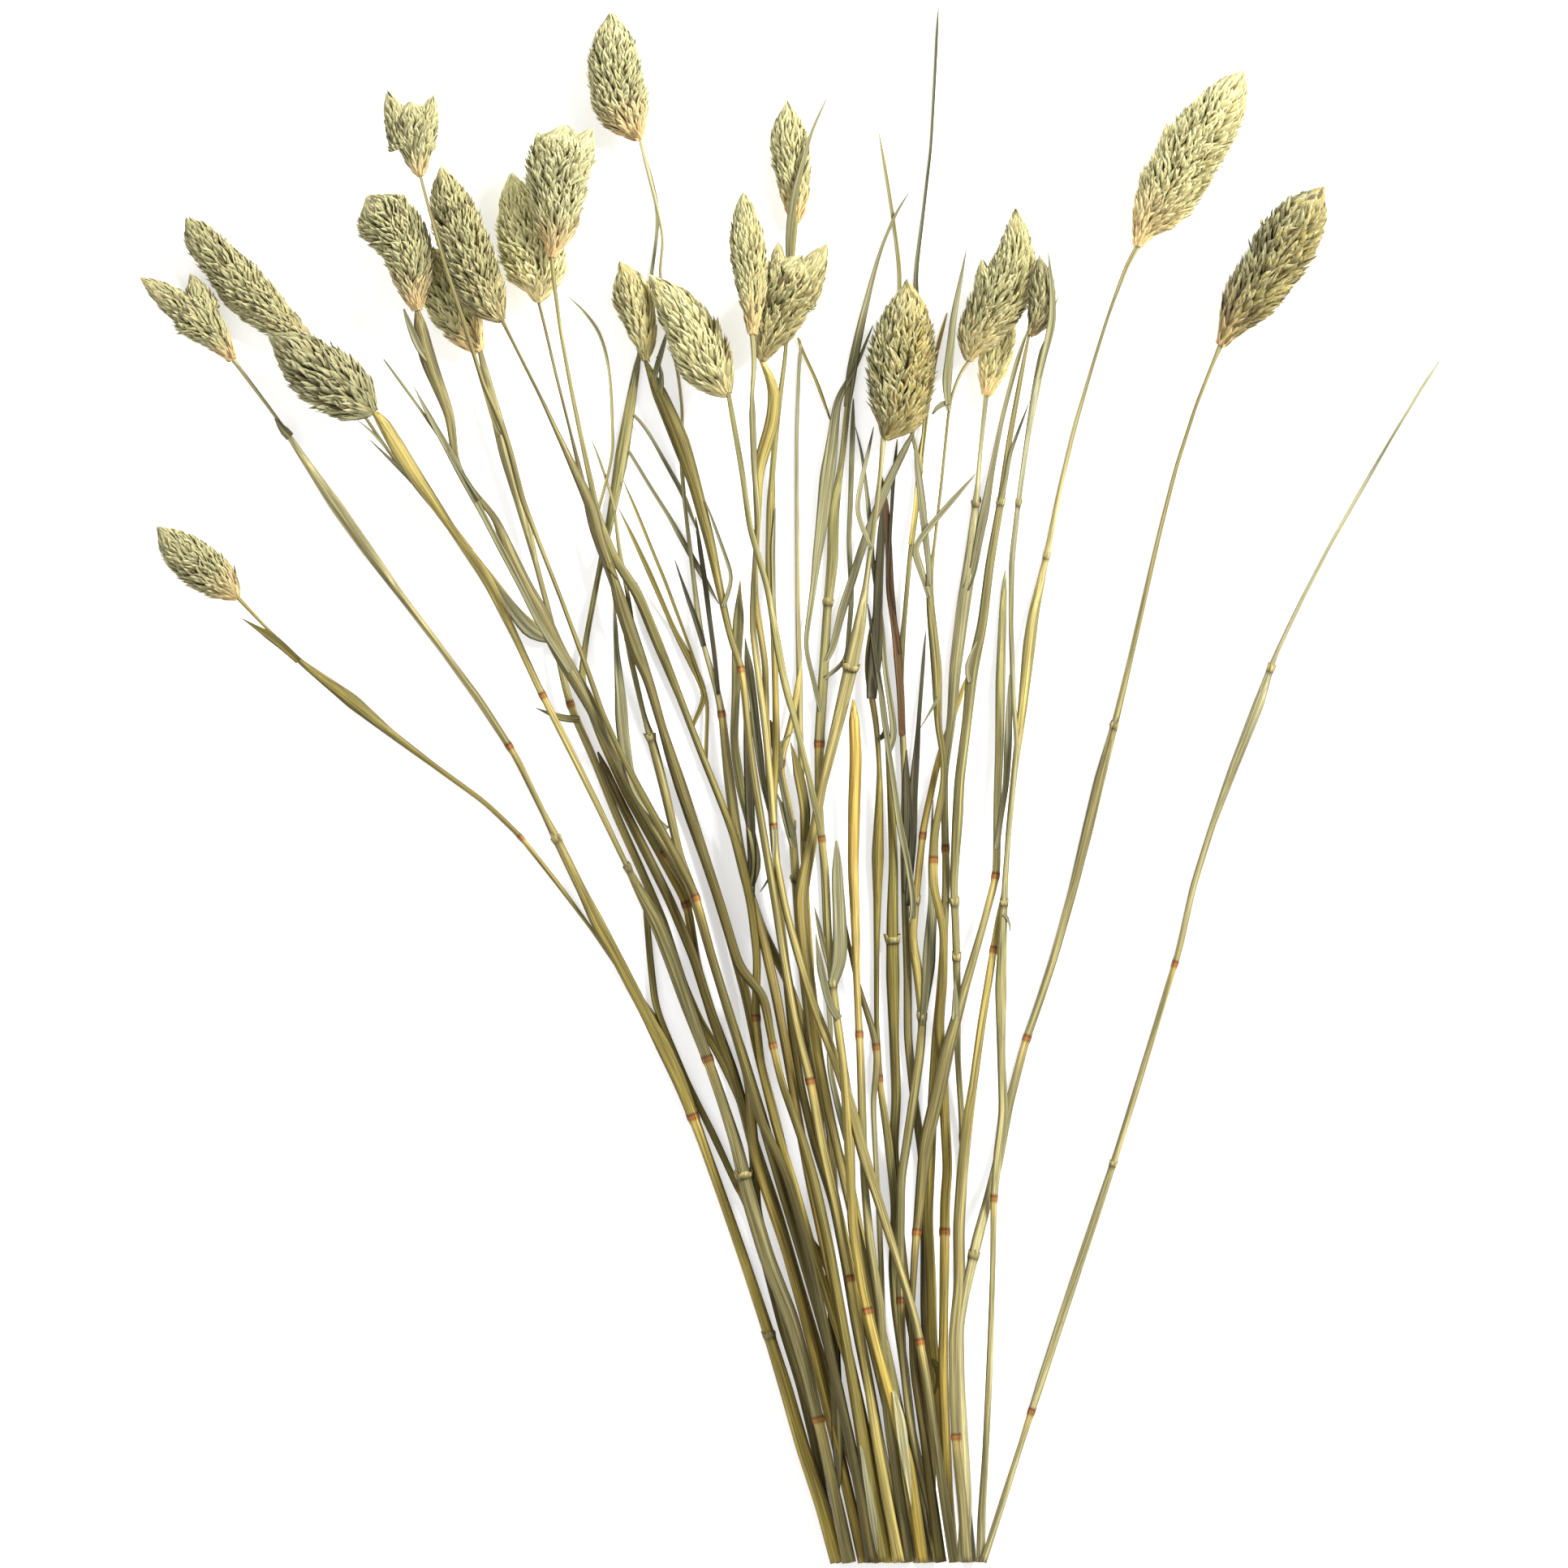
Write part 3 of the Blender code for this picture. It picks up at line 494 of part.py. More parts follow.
class Pile:
    """Top of everything laid so far, kept as a grid of heights."""

    def __init__(self):
        count = int(2 * HALF_SPAN / CELL)
        self.top = np.full((count, count), EMPTY)

    def cells(self, xy):
        return tuple(((xy + HALF_SPAN) / CELL).astype(int).T)

    def stamp(self, trace, height):
        """Raise the grid to the upper surface of a piece whose centre line lies at the heights given."""
        rows, cols = self.cells(trace.spots.reshape(-1, 2))
        np.maximum.at(self.top, (rows, cols), (height[:, None] + trace.rise).ravel())

    def need(self, trace):
        """Lowest centre height that clears the pile all across a piece, at each sample."""
        rows, cols = self.cells(trace.spots.reshape(-1, 2))
        below = self.top[rows, cols].reshape(trace.rise.shape)
        return (below + trace.rise).max(axis=1) + CLEARANCE


class Trace:
    """A route sampled finely: its places across the width and the half depth at each of them."""

    def __init__(self, points, depth, flat):
        self.ring_at = run_length(points)
        self.at = np.append(np.arange(0, self.ring_at[-1], STEP), self.ring_at[-1])
        side = across(points)
        middle = np.stack([self.mix(points[:, k]) for k in (0, 1)], axis=1)
        side = np.stack([self.mix(side[:, k]) for k in (0, 1)], axis=1)
        width = self.mix(points[:, 2])
        count = int(np.ceil((width.max() + 2 * SIDE_ALLOWANCE) / STEP)) + 2
        share = np.linspace(-1, 1, count)
        offset = (width[:, None] / 2 + SIDE_ALLOWANCE) * share
        self.spots = middle[:, None, :] + side[:, None, :] * offset[:, :, None]
        round_share = np.ones(count) if flat else np.sqrt(1 - share ** 2)
        self.rise = self.mix(depth)[:, None] * round_share

    def mix(self, values):
        return np.interp(self.at, self.ring_at, values)

    def settle(self, need, stiffness):
        """Heights at the route's points of a springy line that stays above what is needed everywhere."""
        gap = self.at[:, None] - self.at[None, :]
        line = (need[None, :] - stiffness * gap ** 2).max(axis=1)
        rings = np.interp(self.ring_at, self.at, line)
        short = need - self.mix(rings)
        lift = np.zeros(len(rings))
        for k in range(len(rings) - 1):
            inside = (self.at >= self.ring_at[k]) & (self.at <= self.ring_at[k + 1])
            worst = max(0.0, short[inside].max())
            lift[k] = max(lift[k], worst)
            lift[k + 1] = max(lift[k + 1], worst)
        return rings + lift


def lay_blade(pile, blade, root_height):
    """Heights of a blade that starts on its culm and lies over what is under it."""
    trace = Trace(blade, np.full(len(blade), BLADE_THICKNESS / 2), True)
    need = np.maximum(pile.need(trace), BLADE_THICKNESS / 2)
    need[0] = max(need[0], root_height)
    return trace, trace.settle(need, BLADE_STIFFNESS)


def nearest_sample(trace, place):
    """Index of the sample of a trace whose middle lies nearest to a place."""
    middle = trace.spots[:, trace.spots.shape[1] // 2]
    return int(np.argmin(np.hypot(*(middle - place).T)))


def roll(pile, culm):
    """Shift the foot of a culm sideways to where the pile under it is lowest."""
    fade = np.clip((ROLL_FROM_Y - culm[:, 1]) / (ROLL_FROM_Y - CUT_Y), 0, 1)
    lower = culm[:, 1] < ROLL_FROM_Y
    if lower.sum() < 2:
        return culm
    best = None
    for shift in np.arange(-ROLL_REACH, ROLL_REACH + ROLL_STEP / 2, ROLL_STEP):
        trial = culm.copy()
        trial[:, 0] += fade * shift
        trace = Trace(trial[lower], half_depth(trial[lower, 2]), False)
        cost = np.maximum(pile.need(trace), 0).mean() + ROLL_EFFORT * abs(shift)
        if best is None or cost < best[0]:
            best = (cost, trial)
    return best[1]


def lay_plant(pile, culm, head, blades):
    """Settle one plant on the pile; gives heights for the culm, its head and its blades."""
    crown = out_to_tips(head) if head is not None else None
    points = np.vstack([culm, crown]) if head is not None else culm
    depth = half_depth(points[:, 2])
    reach = bottom_reach(points[:, 2])
    if head is not None:
        depth[len(culm):] = reach[len(culm):] = crown[:, 2] / 2 * HEAD_DEPTH
    trace = Trace(points, depth, False)
    need = np.maximum(pile.need(trace), trace.mix(reach))
    for attempt in range(TRIES):
        heights = trace.settle(need, STIFFNESS)
        fine = trace.mix(heights)
        own = Pile()
        own.top = pile.top.copy()
        body = Trace(culm, half_depth(culm[:, 2]) * SUNK, False)
        own.stamp(body, body.mix(heights[:len(culm)]) - CLEARANCE)
        if head is not None:
            bulk = Trace(crown, crown[:, 2] / 2 * HEAD_DEPTH, False)
            own.stamp(bulk, bulk.mix(heights[len(culm):]))
        laid = []
        raised = False
        for blade in blades:
            spot = nearest_sample(trace, blade[0, :2])
            rest = fine[spot] + trace.mix(depth)[spot] * SUNK + BLADE_THICKNESS / 2
            path, levels = lay_blade(own, blade, rest)
            laid.append((path, levels))
            if levels[0] > rest + ROOT_SLACK:
                need[spot] = max(need[spot], fine[spot] + levels[0] - rest)
                raised = True
        if not raised:
            break
    pile.stamp(trace, fine)
    for path, levels in laid:
        pile.stamp(path, path.mix(levels))
    return heights[:len(culm)], heights[len(culm):], [levels for path, levels in laid]


def loft(rings):
    """Triangles of a tube through equal rings of points, closed at both ends."""
    count = len(rings[0])
    verts = [p for ring in rings for p in ring]
    faces = []
    for k in range(len(rings) - 1):
        for j in range(count):
            a, b = k * count + j, k * count + (j + 1) % count
            faces += [(a, b, b + count), (a, b + count, a + count)]
    last = (len(rings) - 1) * count
    for j in range(1, count - 1):
        faces += [(0, j + 1, j), (last, last + j, last + j + 1)]
    return verts, faces


def culm_body(points, heights):
    """A many-sided culm with a flat underside, one ring at each point of its route."""
    side = across(points)
    turn = 2 * math.pi / CULM_SIDES
    rings = []
    for (x, y, width), z, (ux, uy) in zip(points, heights, side):
        ring = []
        for j in range(CULM_SIDES):
            angle = -math.pi / 2 + turn * (j + 0.5)
            out = width / 2 * math.cos(angle)
            ring.append((x + ux * out, y + uy * out, z + half_depth(width) * math.sin(angle)))
        rings.append(ring)
    return loft(rings)


def blade_body(points, heights):
    """A flat blade of even thickness, its root on the culm."""
    side = across(points)
    rings = []
    for (x, y, width), z, (ux, uy) in zip(points, heights, side):
        corners = [(-1, -1), (1, -1), (1, 1), (-1, 1)]
        rings.append([(x + ux * width / 2 * i, y + uy * width / 2 * i, z + BLADE_THICKNESS / 2 * k)
                      for i, k in corners])
    return loft(rings)


def wobble(row, column):
    """Even, repeatable unevenness between -1 and 1 for one scale of a head."""
    return math.sin(12.9898 * row + 78.233 * column)


def head_body(points, heights, notch):
    """A head: a slim core under rows of leaning scales, each raised to a point from its own lozenge."""
    at = run_length(points)
    length = at[-1]
    columns = max(MIN_SCALES, round(math.pi * points[:, 2].max() / SCALE_WIDTH))
    rows = max(MIN_SCALES, round(length / ROW_HEIGHT))
    side = across(points)
    level = np.gradient(heights, at)
    level[0] = 0.0      # the base stands square against the end of the culm

    def place(s, angle, share):
        share_side = math.cos(angle)
        s = s * (1 + notch * (math.cos(2 * angle) - 1) / 2 * (s / length) ** 2)
        over = max(0.0, s - length)
        s = min(max(s, 0.0), length)
        x, y, z, ux, uy, w, climb = (np.interp(s, at, v) for v in
                                     (points[:, 0], points[:, 1], heights, side[:, 0], side[:, 1],
                                      points[:, 2], level))
        along = np.array([-uy, ux, climb])
        along /= np.linalg.norm(along)
        wide = np.array([ux, uy, 0.0])
        up = np.cross(wide, along)
        radius = w / 2 * share
        centre = np.array([x, y, z]) + along * over
        return tuple(centre + wide * radius * share_side + up * radius * HEAD_DEPTH * math.sin(angle))

    spacing = length * ROWS_SPAN / rows
    turn = 2 * math.pi / columns
    verts = []
    lattice = []
    for i in range(rows + 1):
        lattice.append([])
        for j in range(columns):
            lattice[i].append(len(verts))
            verts.append(place(i * spacing, turn * (j + 0.5 * (i % 2)), CORE))
    faces = []
    for i in range(1, rows):
        for j in range(columns):
            after = (j + 1) % columns
            mid = after if i % 2 else j
            tip = 1 + TIP_UNEVEN * wobble(i, j)
            apex = len(verts)
            verts.append(place((i + SCALE_REACH) * spacing, turn * (j + 0.5 + 0.5 * (i % 2)), tip))
            low, high = lattice[i - 1][mid], lattice[i + 1][mid]
            left, right = lattice[i][j], lattice[i][after]
            faces += [(low, right, apex), (right, high, apex), (high, left, apex), (left, low, apex)]
    for i, inner in ((0, 1), (rows, rows - 1)):
        ring = lattice[i]
        for j in range(columns):
            after = (j + 1) % columns
            mid = after if i % 2 else j
            faces.append((ring[j], ring[after], lattice[inner][mid]))
    base, top = len(verts), len(verts) + 1
    verts += [place(0.0, 0.0, 0.0), place(rows * spacing + POLE_RISE * (1 - notch), math.pi / 2, 0.0)]
    for j in range(columns):
        after = (j + 1) % columns
        faces += [(lattice[0][j], base, lattice[0][after]), (lattice[rows][j], lattice[rows][after], top)]
    return verts, faces


def new_object(name, verts, faces):
    """Mesh object in metres with outward normals."""
    mesh = bpy.data.meshes.new(name)
    mesh.from_pydata([tuple(c / 1000 for c in p) for p in verts], [], faces)
    work = bmesh.new()
    work.from_mesh(mesh)
    bmesh.ops.recalc_face_normals(work, faces=work.faces)
    work.to_mesh(mesh)
    work.free()
    item = bpy.data.objects.new(name, mesh)
    bpy.context.scene.collection.objects.link(item)
    return item


def fuse(body, parts):
    """Join the blades to their culm as one closed body."""
    group = bpy.data.collections.new(body.name + "_blades")
    bpy.context.scene.collection.children.link(group)
    for part in parts:
        bpy.context.scene.collection.objects.unlink(part)
        group.objects.link(part)
    union = body.modifiers.new("join", "BOOLEAN")
    union.operation = "UNION"
    union.operand_type = "COLLECTION"
    union.collection = group
    union.solver = "EXACT"
    bpy.context.view_layer.objects.active = body
    bpy.ops.object.modifier_apply(modifier=union.name)
    for part in parts:
        bpy.data.objects.remove(part, do_unlink=True)
    bpy.data.collections.remove(group)


def finish(item, tone):
    """Merge stray points, cut every face into triangles and give the piece its own material."""
    work = bmesh.new()
    work.from_mesh(item.data)
    bmesh.ops.remove_doubles(work, verts=work.verts, dist=WELD / 1000)
    bmesh.ops.triangulate(work, faces=work.faces)
    work.to_mesh(item.data)
    work.free()
    for face in item.data.polygons:
        face.use_smooth = True
    material = bpy.data.materials.new(item.name)
    material.use_nodes = True
    shader = material.node_tree.nodes["Principled BSDF"]
    shader.inputs["Base Color"].default_value = tone
    shader.inputs["Roughness"].default_value = 0.8
    item.data.materials.append(material)


def rows_of(points):
    """Route points as an array, one row a point."""
    return np.array(points, dtype=float)


def seated(culm, head):
    """A head's route with its base brought down to the end of its culm."""
    way = head[0, :2] - culm[-1, :2]
    base = culm[-1, :2] + way / np.linalg.norm(way) * CLEARANCE
    return np.vstack([[*base, culm[-1, 2] * NECK], head])


def main():
    for item in list(bpy.data.objects):
        bpy.data.objects.remove(item, do_unlink=True)
    pile = Pile()
    made = []
    for name, culm, head, blades in PLANTS:
        culm = roll(pile, thin(rows_of(culm)))
        head = seated(culm, rows_of(head)) if head else None
        blades = [thin(rows_of(b)) for b in blades]
        heights, crown, levels = lay_plant(pile, culm, head, blades)
        stem = new_object("stem_" + name, *culm_body(culm, heights))
        parts = [new_object(f"{name}_blade_{k}", *blade_body(b, z))
                 for k, (b, z) in enumerate(zip(blades, levels))]
        if parts:
            fuse(stem, parts)
        finish(stem, STEM_TONE)
        made.append(stem)
        if head is not None:
            item = new_object("head_" + name, *head_body(head, crown, NOTCH.get(name, 0.0)))
            finish(item, HEAD_TONE)
            made.append(item)
    corners = np.array([v.co[:] for item in made for v in item.data.vertices])
    low, high = corners.min(axis=0), corners.max(axis=0)
    shift = np.array([(low[0] + high[0]) / 2, (low[1] + high[1]) / 2, low[2]])
    for item in made:
        for vertex in item.data.vertices:
            vertex.co = [c - s for c, s in zip(vertex.co, shift)]
        item.data.update()
    print("size in mm", np.round((high - low) * 1000, 1), "shift", np.round(shift * 1000, 2))


main()
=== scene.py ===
# %% [markdown]
# # Dried canary grass bunch
# A loose bunch of dried canary grass lies on a table: slender straws fan out from their cut ends
# to plump seed heads made of hundreds of pointed husks. The CAD model gives every straw and every
# head its place. This script dresses them: each CAD node is replaced by a finer piece that keeps
# to the same route, with joints, sheaths, leaf veins and real husks, and gets a dry straw finish.

import bpy
import numpy as np
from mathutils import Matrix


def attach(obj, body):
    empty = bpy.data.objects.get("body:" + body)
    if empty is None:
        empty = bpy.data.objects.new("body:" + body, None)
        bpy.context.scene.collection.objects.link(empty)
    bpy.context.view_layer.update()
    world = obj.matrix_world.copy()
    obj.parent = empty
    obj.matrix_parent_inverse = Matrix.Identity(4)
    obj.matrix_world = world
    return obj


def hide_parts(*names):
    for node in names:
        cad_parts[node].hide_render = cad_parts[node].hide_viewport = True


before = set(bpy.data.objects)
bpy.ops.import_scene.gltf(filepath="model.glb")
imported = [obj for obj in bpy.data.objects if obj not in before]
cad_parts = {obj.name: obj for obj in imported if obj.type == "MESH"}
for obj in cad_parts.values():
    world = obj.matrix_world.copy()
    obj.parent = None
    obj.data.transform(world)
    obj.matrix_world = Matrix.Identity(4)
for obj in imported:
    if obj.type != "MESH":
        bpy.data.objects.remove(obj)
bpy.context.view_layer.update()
MM = 0.001
print("nodes to dress:", len(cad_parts))

# %% [markdown]
# ## Where the plants run
# The CAD model lays each straw along a route that was drawn over the photograph and then fitted
# to the straw's edges. The same points are repeated here, since they also hold the small changes of
# width that show where a leaf sheath begins and ends, which a line measured from the CAD surface would
# blur. The roots of four thin leaves are set a little differently here, to bend more softly.
# Each plant has its culm from the cut foot upward, its head or None, and its leaf blades from the
# root on the culm to the tip. A point is (x, y, width) in millimetres from the middle of the view.

# %% Routes of the plants
CUT_Y = -191.8          # the line along which the straws are cut
PLANTS = {
    "k": ([(14.1, CUT_Y, 2.6), (10.1, -177.7, 2.4), (7.6, -162.9, 2.3), (4, -148.3, 2.1),
           (-0.8, -133.1, 2), (-5, -117.6, 1.7), (-8.2, -106.1, 1.6), (-14.7, -92.6, 1.7),
           (-21.6, -78.2, 1.6), (-26.5, -67.2, 1.5), (-29.4, -60.7, 1.5), (-38.4, -48.7, 1.4),
           (-47.5, -35.6, 1), (-57.1, -22.8, 1.4), (-65.2, -12.6, 1.5), (-73.8, -4.4, 1.5),
           (-86.7, 4.9, 1.6), (-97.1, 12.7, 2.4), (-106.3, 20.4, 4.3), (-119.1, 30, 1.7),
           (-127.6, 38.5, 0.9), (-134.4, 45.7, 1.2)],
          [(-135.4, 46.8, 3.6), (-138.2, 49.6, 9.7), (-142.9, 53, 11.1), (-149.2, 57.7, 9.8),
           (-152.6, 61.3, 5.2), (-153.2, 62.1, 4.1)],
          [[(-119.6, 30.3, 1.7), (-126.1, 36.2, 2.3), (-133.6, 40.8, 0.9)],
           [(-11.4, -99.5, 1.6), (-17.7, -85.9, 1.7), (-24.3, -72.4, 1.4), (-30.5, -57.6, 1.5),
            (-31.9, -53.9, 1.8), (-33.4, -38, 1.6), (-34.2, -30, 1.4), (-34.2, -24, 0.9)]]),
    "i": ([(14.3, CUT_Y, 3.4), (10.5, -178.1, 3.5), (5.7, -163.9, 3.6), (1.2, -148.6, 3.5),
           (-3.7, -133.4, 3), (-8.9, -118.2, 2.8), (-14.2, -103.3, 2.7), (-19.7, -88.3, 2.7),
           (-25.1, -74.2, 3.9), (-29.8, -64.3, 4.3), (-34.1, -56.4, 3.3), (-41.5, -42.2, 3.4),
           (-45.9, -34.4, 4), (-49.8, -26.3, 2.9), (-55.9, -13.7, 2.6), (-59.1, -7.5, 1.7),
           (-66.1, 6.9, 2), (-74.8, 20.3, 2.3), (-84.2, 33.1, 1.9), (-93.9, 45.8, 2.2),
           (-103.4, 58.7, 3.5), (-110.3, 68.5, 3.8), (-119.3, 81.6, 2.1), (-124.8, 90, 0.9),
           (-134.4, 102.8, 1.1), (-135.6, 104.4, 1.4)],
          [(-136.6, 105.7, 3.1), (-140.8, 111.3, 7.8), (-145.1, 115.6, 11.7), (-150.9, 119.7, 12.1),
           (-155.6, 121.7, 8)],
          [[(-121.7, 85.5, 2.6), (-123.9, 87.5, 3.6), (-125.5, 90.1, 1.3)]]),
    "h": ([(19.6, CUT_Y, 2.8), (16.4, -177.1, 2.8), (13.1, -162.5, 2.8), (9.5, -147.9, 2.6),
           (5.8, -133.4, 2.6), (1.9, -118.9, 2.6), (-2.6, -104.6, 2.7), (-7.6, -89.4, 2.8),
           (-11.4, -74.8, 2.7), (-14.8, -65.4, 2.6), (-17.4, -58.8, 2.6), (-21.6, -44.3, 2.6),
           (-23.8, -29.6, 2.6), (-31.4, -15.6, 2.6), (-38.7, -2.4, 2.8), (-44.9, 11.2, 2.6),
           (-50.2, 25.2, 2.4), (-53.3, 30.6, 2.2), (-58.8, 36.6, 2), (-65.7, 42.5, 2),
           (-72.5, 51.2, 2.1), (-78.6, 59.1, 1.5), (-89.1, 71.2, 1.2), (-97.7, 82.3, 1),
           (-106.1, 94.7, 0.9), (-115, 106.8, 1), (-116.2, 108.4, 1)],
          [(-117.6, 109.5, 3.4), (-123.7, 114.6, 7), (-129.9, 119.5, 10.9), (-134.9, 124.4, 11.1),
           (-140.4, 130.2, 9.2), (-144.2, 134.9, 8.3), (-146.3, 138.3, 4.2)],
          [[(-77.1, 57.4, 1.4), (-83.7, 66.1, 1.1), (-94.1, 77.1, 1), (-102, 84.8, 0.7)],
           [(-97.9, 82.7, 0.8), (-101.8, 87.2, 0.8), (-105, 89.6, 0.8)],
           [(-58.2, 35.5, 1.6), (-60.2, 35.9, 2.4), (-62.7, 37.7, 3.7), (-66.5, 42.2, 3.1),
            (-71.4, 49.7, 1.7)]]),
    "e": ([(22, CUT_Y, 2.6), (18.2, -177.3, 2.6), (14.3, -162.8, 2.6), (10.1, -148.4, 2.6),
           (5.8, -134, 2.6), (1.7, -119.5, 2.6), (-2.4, -105.1, 2.7), (-7.1, -90.8, 2.8),
           (-11.1, -77.3, 2.8), (-16.2, -66.4, 2.8), (-20.9, -58.7, 2.6), (-25.2, -48.5, 2.6),
           (-29.7, -34.1, 2.6), (-34.8, -22.1, 2.4), (-41, -8.4, 2.4), (-46.6, 5.5, 2.2),
           (-52.3, 18.3, 2.3), (-54.2, 25, 2.1), (-57.2, 39.7, 1.6), (-61.1, 54.2, 1.6),
           (-64, 65.9, 3.1), (-68.4, 81.3, 4.2), (-71.7, 93.8, 3.1), (-73.7, 101.6, 2.3),
           (-74.8, 106.4, 1.6)],
          [(-75.6, 107.7, 4.2), (-78.3, 111.7, 9.8), (-82.5, 118.4, 11.6), (-86.1, 125.5, 11),
           (-87, 127.3, 10.4), (-89.1, 131.7, 5.2)],
          [[(-69.7, 85.6, 1), (-71.3, 88.2, 1), (-75.4, 102.6, 1), (-77.6, 108.1, 0.8)],
           [(-50.3, 15.9, 1.6), (-52.4, 15.7, 1.9), (-56.3, 16.7, 1.9), (-61.1, 18.7, 0.8)]]),
    "w14": ([(14.7, CUT_Y, 2.6), (11.7, -177.4, 2.6), (7.7, -162, 2.6), (3.3, -146.6, 2.6),
             (-0.8, -132.1, 2.6), (-4.5, -117.6, 2.7), (-7.5, -104.9, 2.7), (-8, -89.8, 2.8),
             (-9.1, -83.8, 2.8), (-12.9, -70.3, 2.8), (-18.1, -56.2, 2.8), (-22.2, -42.8, 2.8),
             (-28, -28.9, 2.8), (-34.7, -15.5, 2.7), (-41.9, -1.2, 2.6), (-45.9, 7.9, 2)],
            None,
            []),
    "w0": ([(21, CUT_Y, 2.4), (18, -176.1, 2.4), (14.7, -160.5, 2.4), (11.2, -144.9, 2.4),
            (7.5, -129.3, 2.4), (3.6, -113.8, 2.4), (-1.1, -98.5, 2.4), (-5.4, -83.2, 2.7),
            (-9.9, -67.8, 2.5), (-13.5, -56.4, 2.3), (-18.1, -41.1, 2.2), (-21, -30.4, 2.2),
            (-29.1, -17.7, 2.4), (-36.7, -3.7, 2.4), (-43.7, 10.7, 2.2), (-50.1, 24.9, 2.1),
            (-48.8, 35.6, 1.7), (-45.8, 51.3, 1.6), (-42.6, 66, 2.5), (-39.8, 81.7, 4),
            (-37.2, 97.5, 2.6), (-35.5, 107.3, 1.6)],
           None,
           [[(-37.1, 98.1, 1.4), (-35.9, 103.9, 1.2), (-33.5, 119.6, 0.9), (-31.3, 135.3, 0.8),
             (-30.9, 141.3, 1), (-34.4, 155.7, 1.2)],
            [(-38.2, 92, 0.6), (-36, 90.3, 0.9), (-33.6, 86.9, 0.9), (-32.1, 84.4, 0.8),
             (-24.9, 71.6, 1.2), (-20.9, 61.5, 1.1)],
            [(-39.8, 84.5, 0.6), (-37.6, 81, 0.9), (-33.5, 74.2, 1), (-28.5, 66.2, 1.1),
             (-21.1, 53.2, 1.5), (-16.1, 44.4, 1.2)]]),
    "g": ([(24.6, CUT_Y, 2.4), (22.1, -177, 2.4), (19.4, -162.3, 2.4), (16.3, -147.6, 2.4),
           (13.2, -132.9, 2.4), (10, -118.2, 2.4), (4.9, -112.1, 2.4), (0.8, -96.7, 2.4),
           (-2.9, -81.1, 2.6), (-6.6, -66.6, 2.5), (-9.4, -51.9, 2.8), (-13.4, -37.3, 2.8),
           (-17.8, -23.2, 2.8), (-23, -8.2, 3.4), (-27.4, 5.1, 3.3), (-30.3, 14.7, 2.4),
           (-34.2, 28.2, 2.9), (-39.4, 43.3, 3.3), (-43.3, 53.6, 2.8), (-47.1, 62.9, 2.4),
           (-50.4, 77.6, 1.5), (-52.5, 86.3, 0.9), (-56.2, 100.9, 0.9), (-59.6, 115.5, 0.9),
           (-60.4, 118.4, 0.9)],
          [(-60.3, 120.7, 4.2), (-60.1, 125, 14.9), (-62.3, 131.6, 15.9), (-64.5, 139.3, 13.2),
           (-66.2, 145.9, 7.9), (-66.8, 148.8, 4)],
          [[(-47, 62.8, 0.9), (-43, 77.7, 0.7), (-42.1, 82.7, 0.8), (-42.5, 95.8, 0.8),
            (-43.4, 104.8, 0.7), (-45.4, 111.5, 0.7), (-49.6, 117.1, 0.7), (-53.5, 120.3, 0.7)],
           [(-37.1, 37.1, 1.2), (-37.5, 41.1, 1.1), (-40.3, 55.9, 1.1), (-42.1, 69.8, 0.7),
            (-45.2, 79.4, 0.7), (-47.5, 85, 0.7)]]),
    "c": ([(20.2, CUT_Y, 2.6), (16.5, -176.2, 2.7), (12.7, -160.7, 2.8), (8.8, -145.2, 2.8),
           (4.9, -129.7, 2.8), (0.6, -114.3, 2.9), (-4.3, -100.1, 3), (-7.5, -89.6, 3),
           (-8.4, -74.5, 2.7), (-9.7, -68.6, 2.7), (-13.4, -57.1, 2.6), (-17.8, -42.8, 2.6),
           (-21.9, -28.3, 2.9), (-24.3, -22.7, 3.1), (-32, -9.8, 3.7), (-39.6, 4.2, 4.2),
           (-47, 18.4, 3.9), (-55.2, 32.1, 4.2), (-59.9, 42.1, 4.7), (-63.8, 49, 3.9),
           (-67.8, 57.1, 3.8), (-71, 65.5, 2.1), (-74.9, 70.1, 1.8), (-78.4, 74.1, 1.9), (-81, 79.6, 2),
           (-82.3, 90.8, 2.9), (-87.8, 104.7, 4.8), (-89.7, 112.5, 4.1), (-90.3, 116.5, 1.6)],
          [(-90.7, 118.6, 3.8), (-91.5, 122.4, 8.6), (-91.9, 129.5, 12), (-94.3, 135.1, 13.6),
           (-99.3, 140.4, 15), (-100.5, 142.1, 12.8)],
          [[(-87.8, 104.6, 1.5), (-89.9, 106.9, 1.7), (-92.8, 114.3, 2), (-93.7, 117.1, 2)],
           [(-52.7, 27.7, 1.6), (-60.3, 39.5, 1.6), (-67.1, 53, 1.6), (-74.1, 66.2, 1.6),
            (-81.2, 79.5, 2), (-87.6, 91, 1.3), (-91.3, 98.1, 0.7)],
           [(-74.9, 70.1, 0.9), (-77.7, 74.2, 0.9), (-82.4, 81.9, 0.9), (-91.5, 95, 0.7),
            (-97.4, 103, 0.9), (-98.6, 104.6, 1.4)]]),
    "w1": ([(21, CUT_Y, 2.4), (18.8, -176, 2.3), (16.6, -163.2, 2.3), (13.3, -147.6, 2.3),
            (9, -132.2, 2.3), (4.5, -116.8, 2.3), (-0.2, -101.6, 2.3), (-4.5, -86.2, 2.6),
            (-9.1, -70.9, 2.6), (-12.7, -58.4, 2.3), (-17.6, -43.2, 2.3), (-21.5, -28.7, 2.4),
            (-25.8, -17.5, 2.4), (-29.3, -2, 2.7), (-32.5, 10.6, 2.6), (-34.4, 16.3, 1.4),
            (-38, 31.9, 1.7), (-39.4, 41.8, 1.6), (-40.4, 48.7, 1.2), (-41.2, 51.6, 1)],
           None,
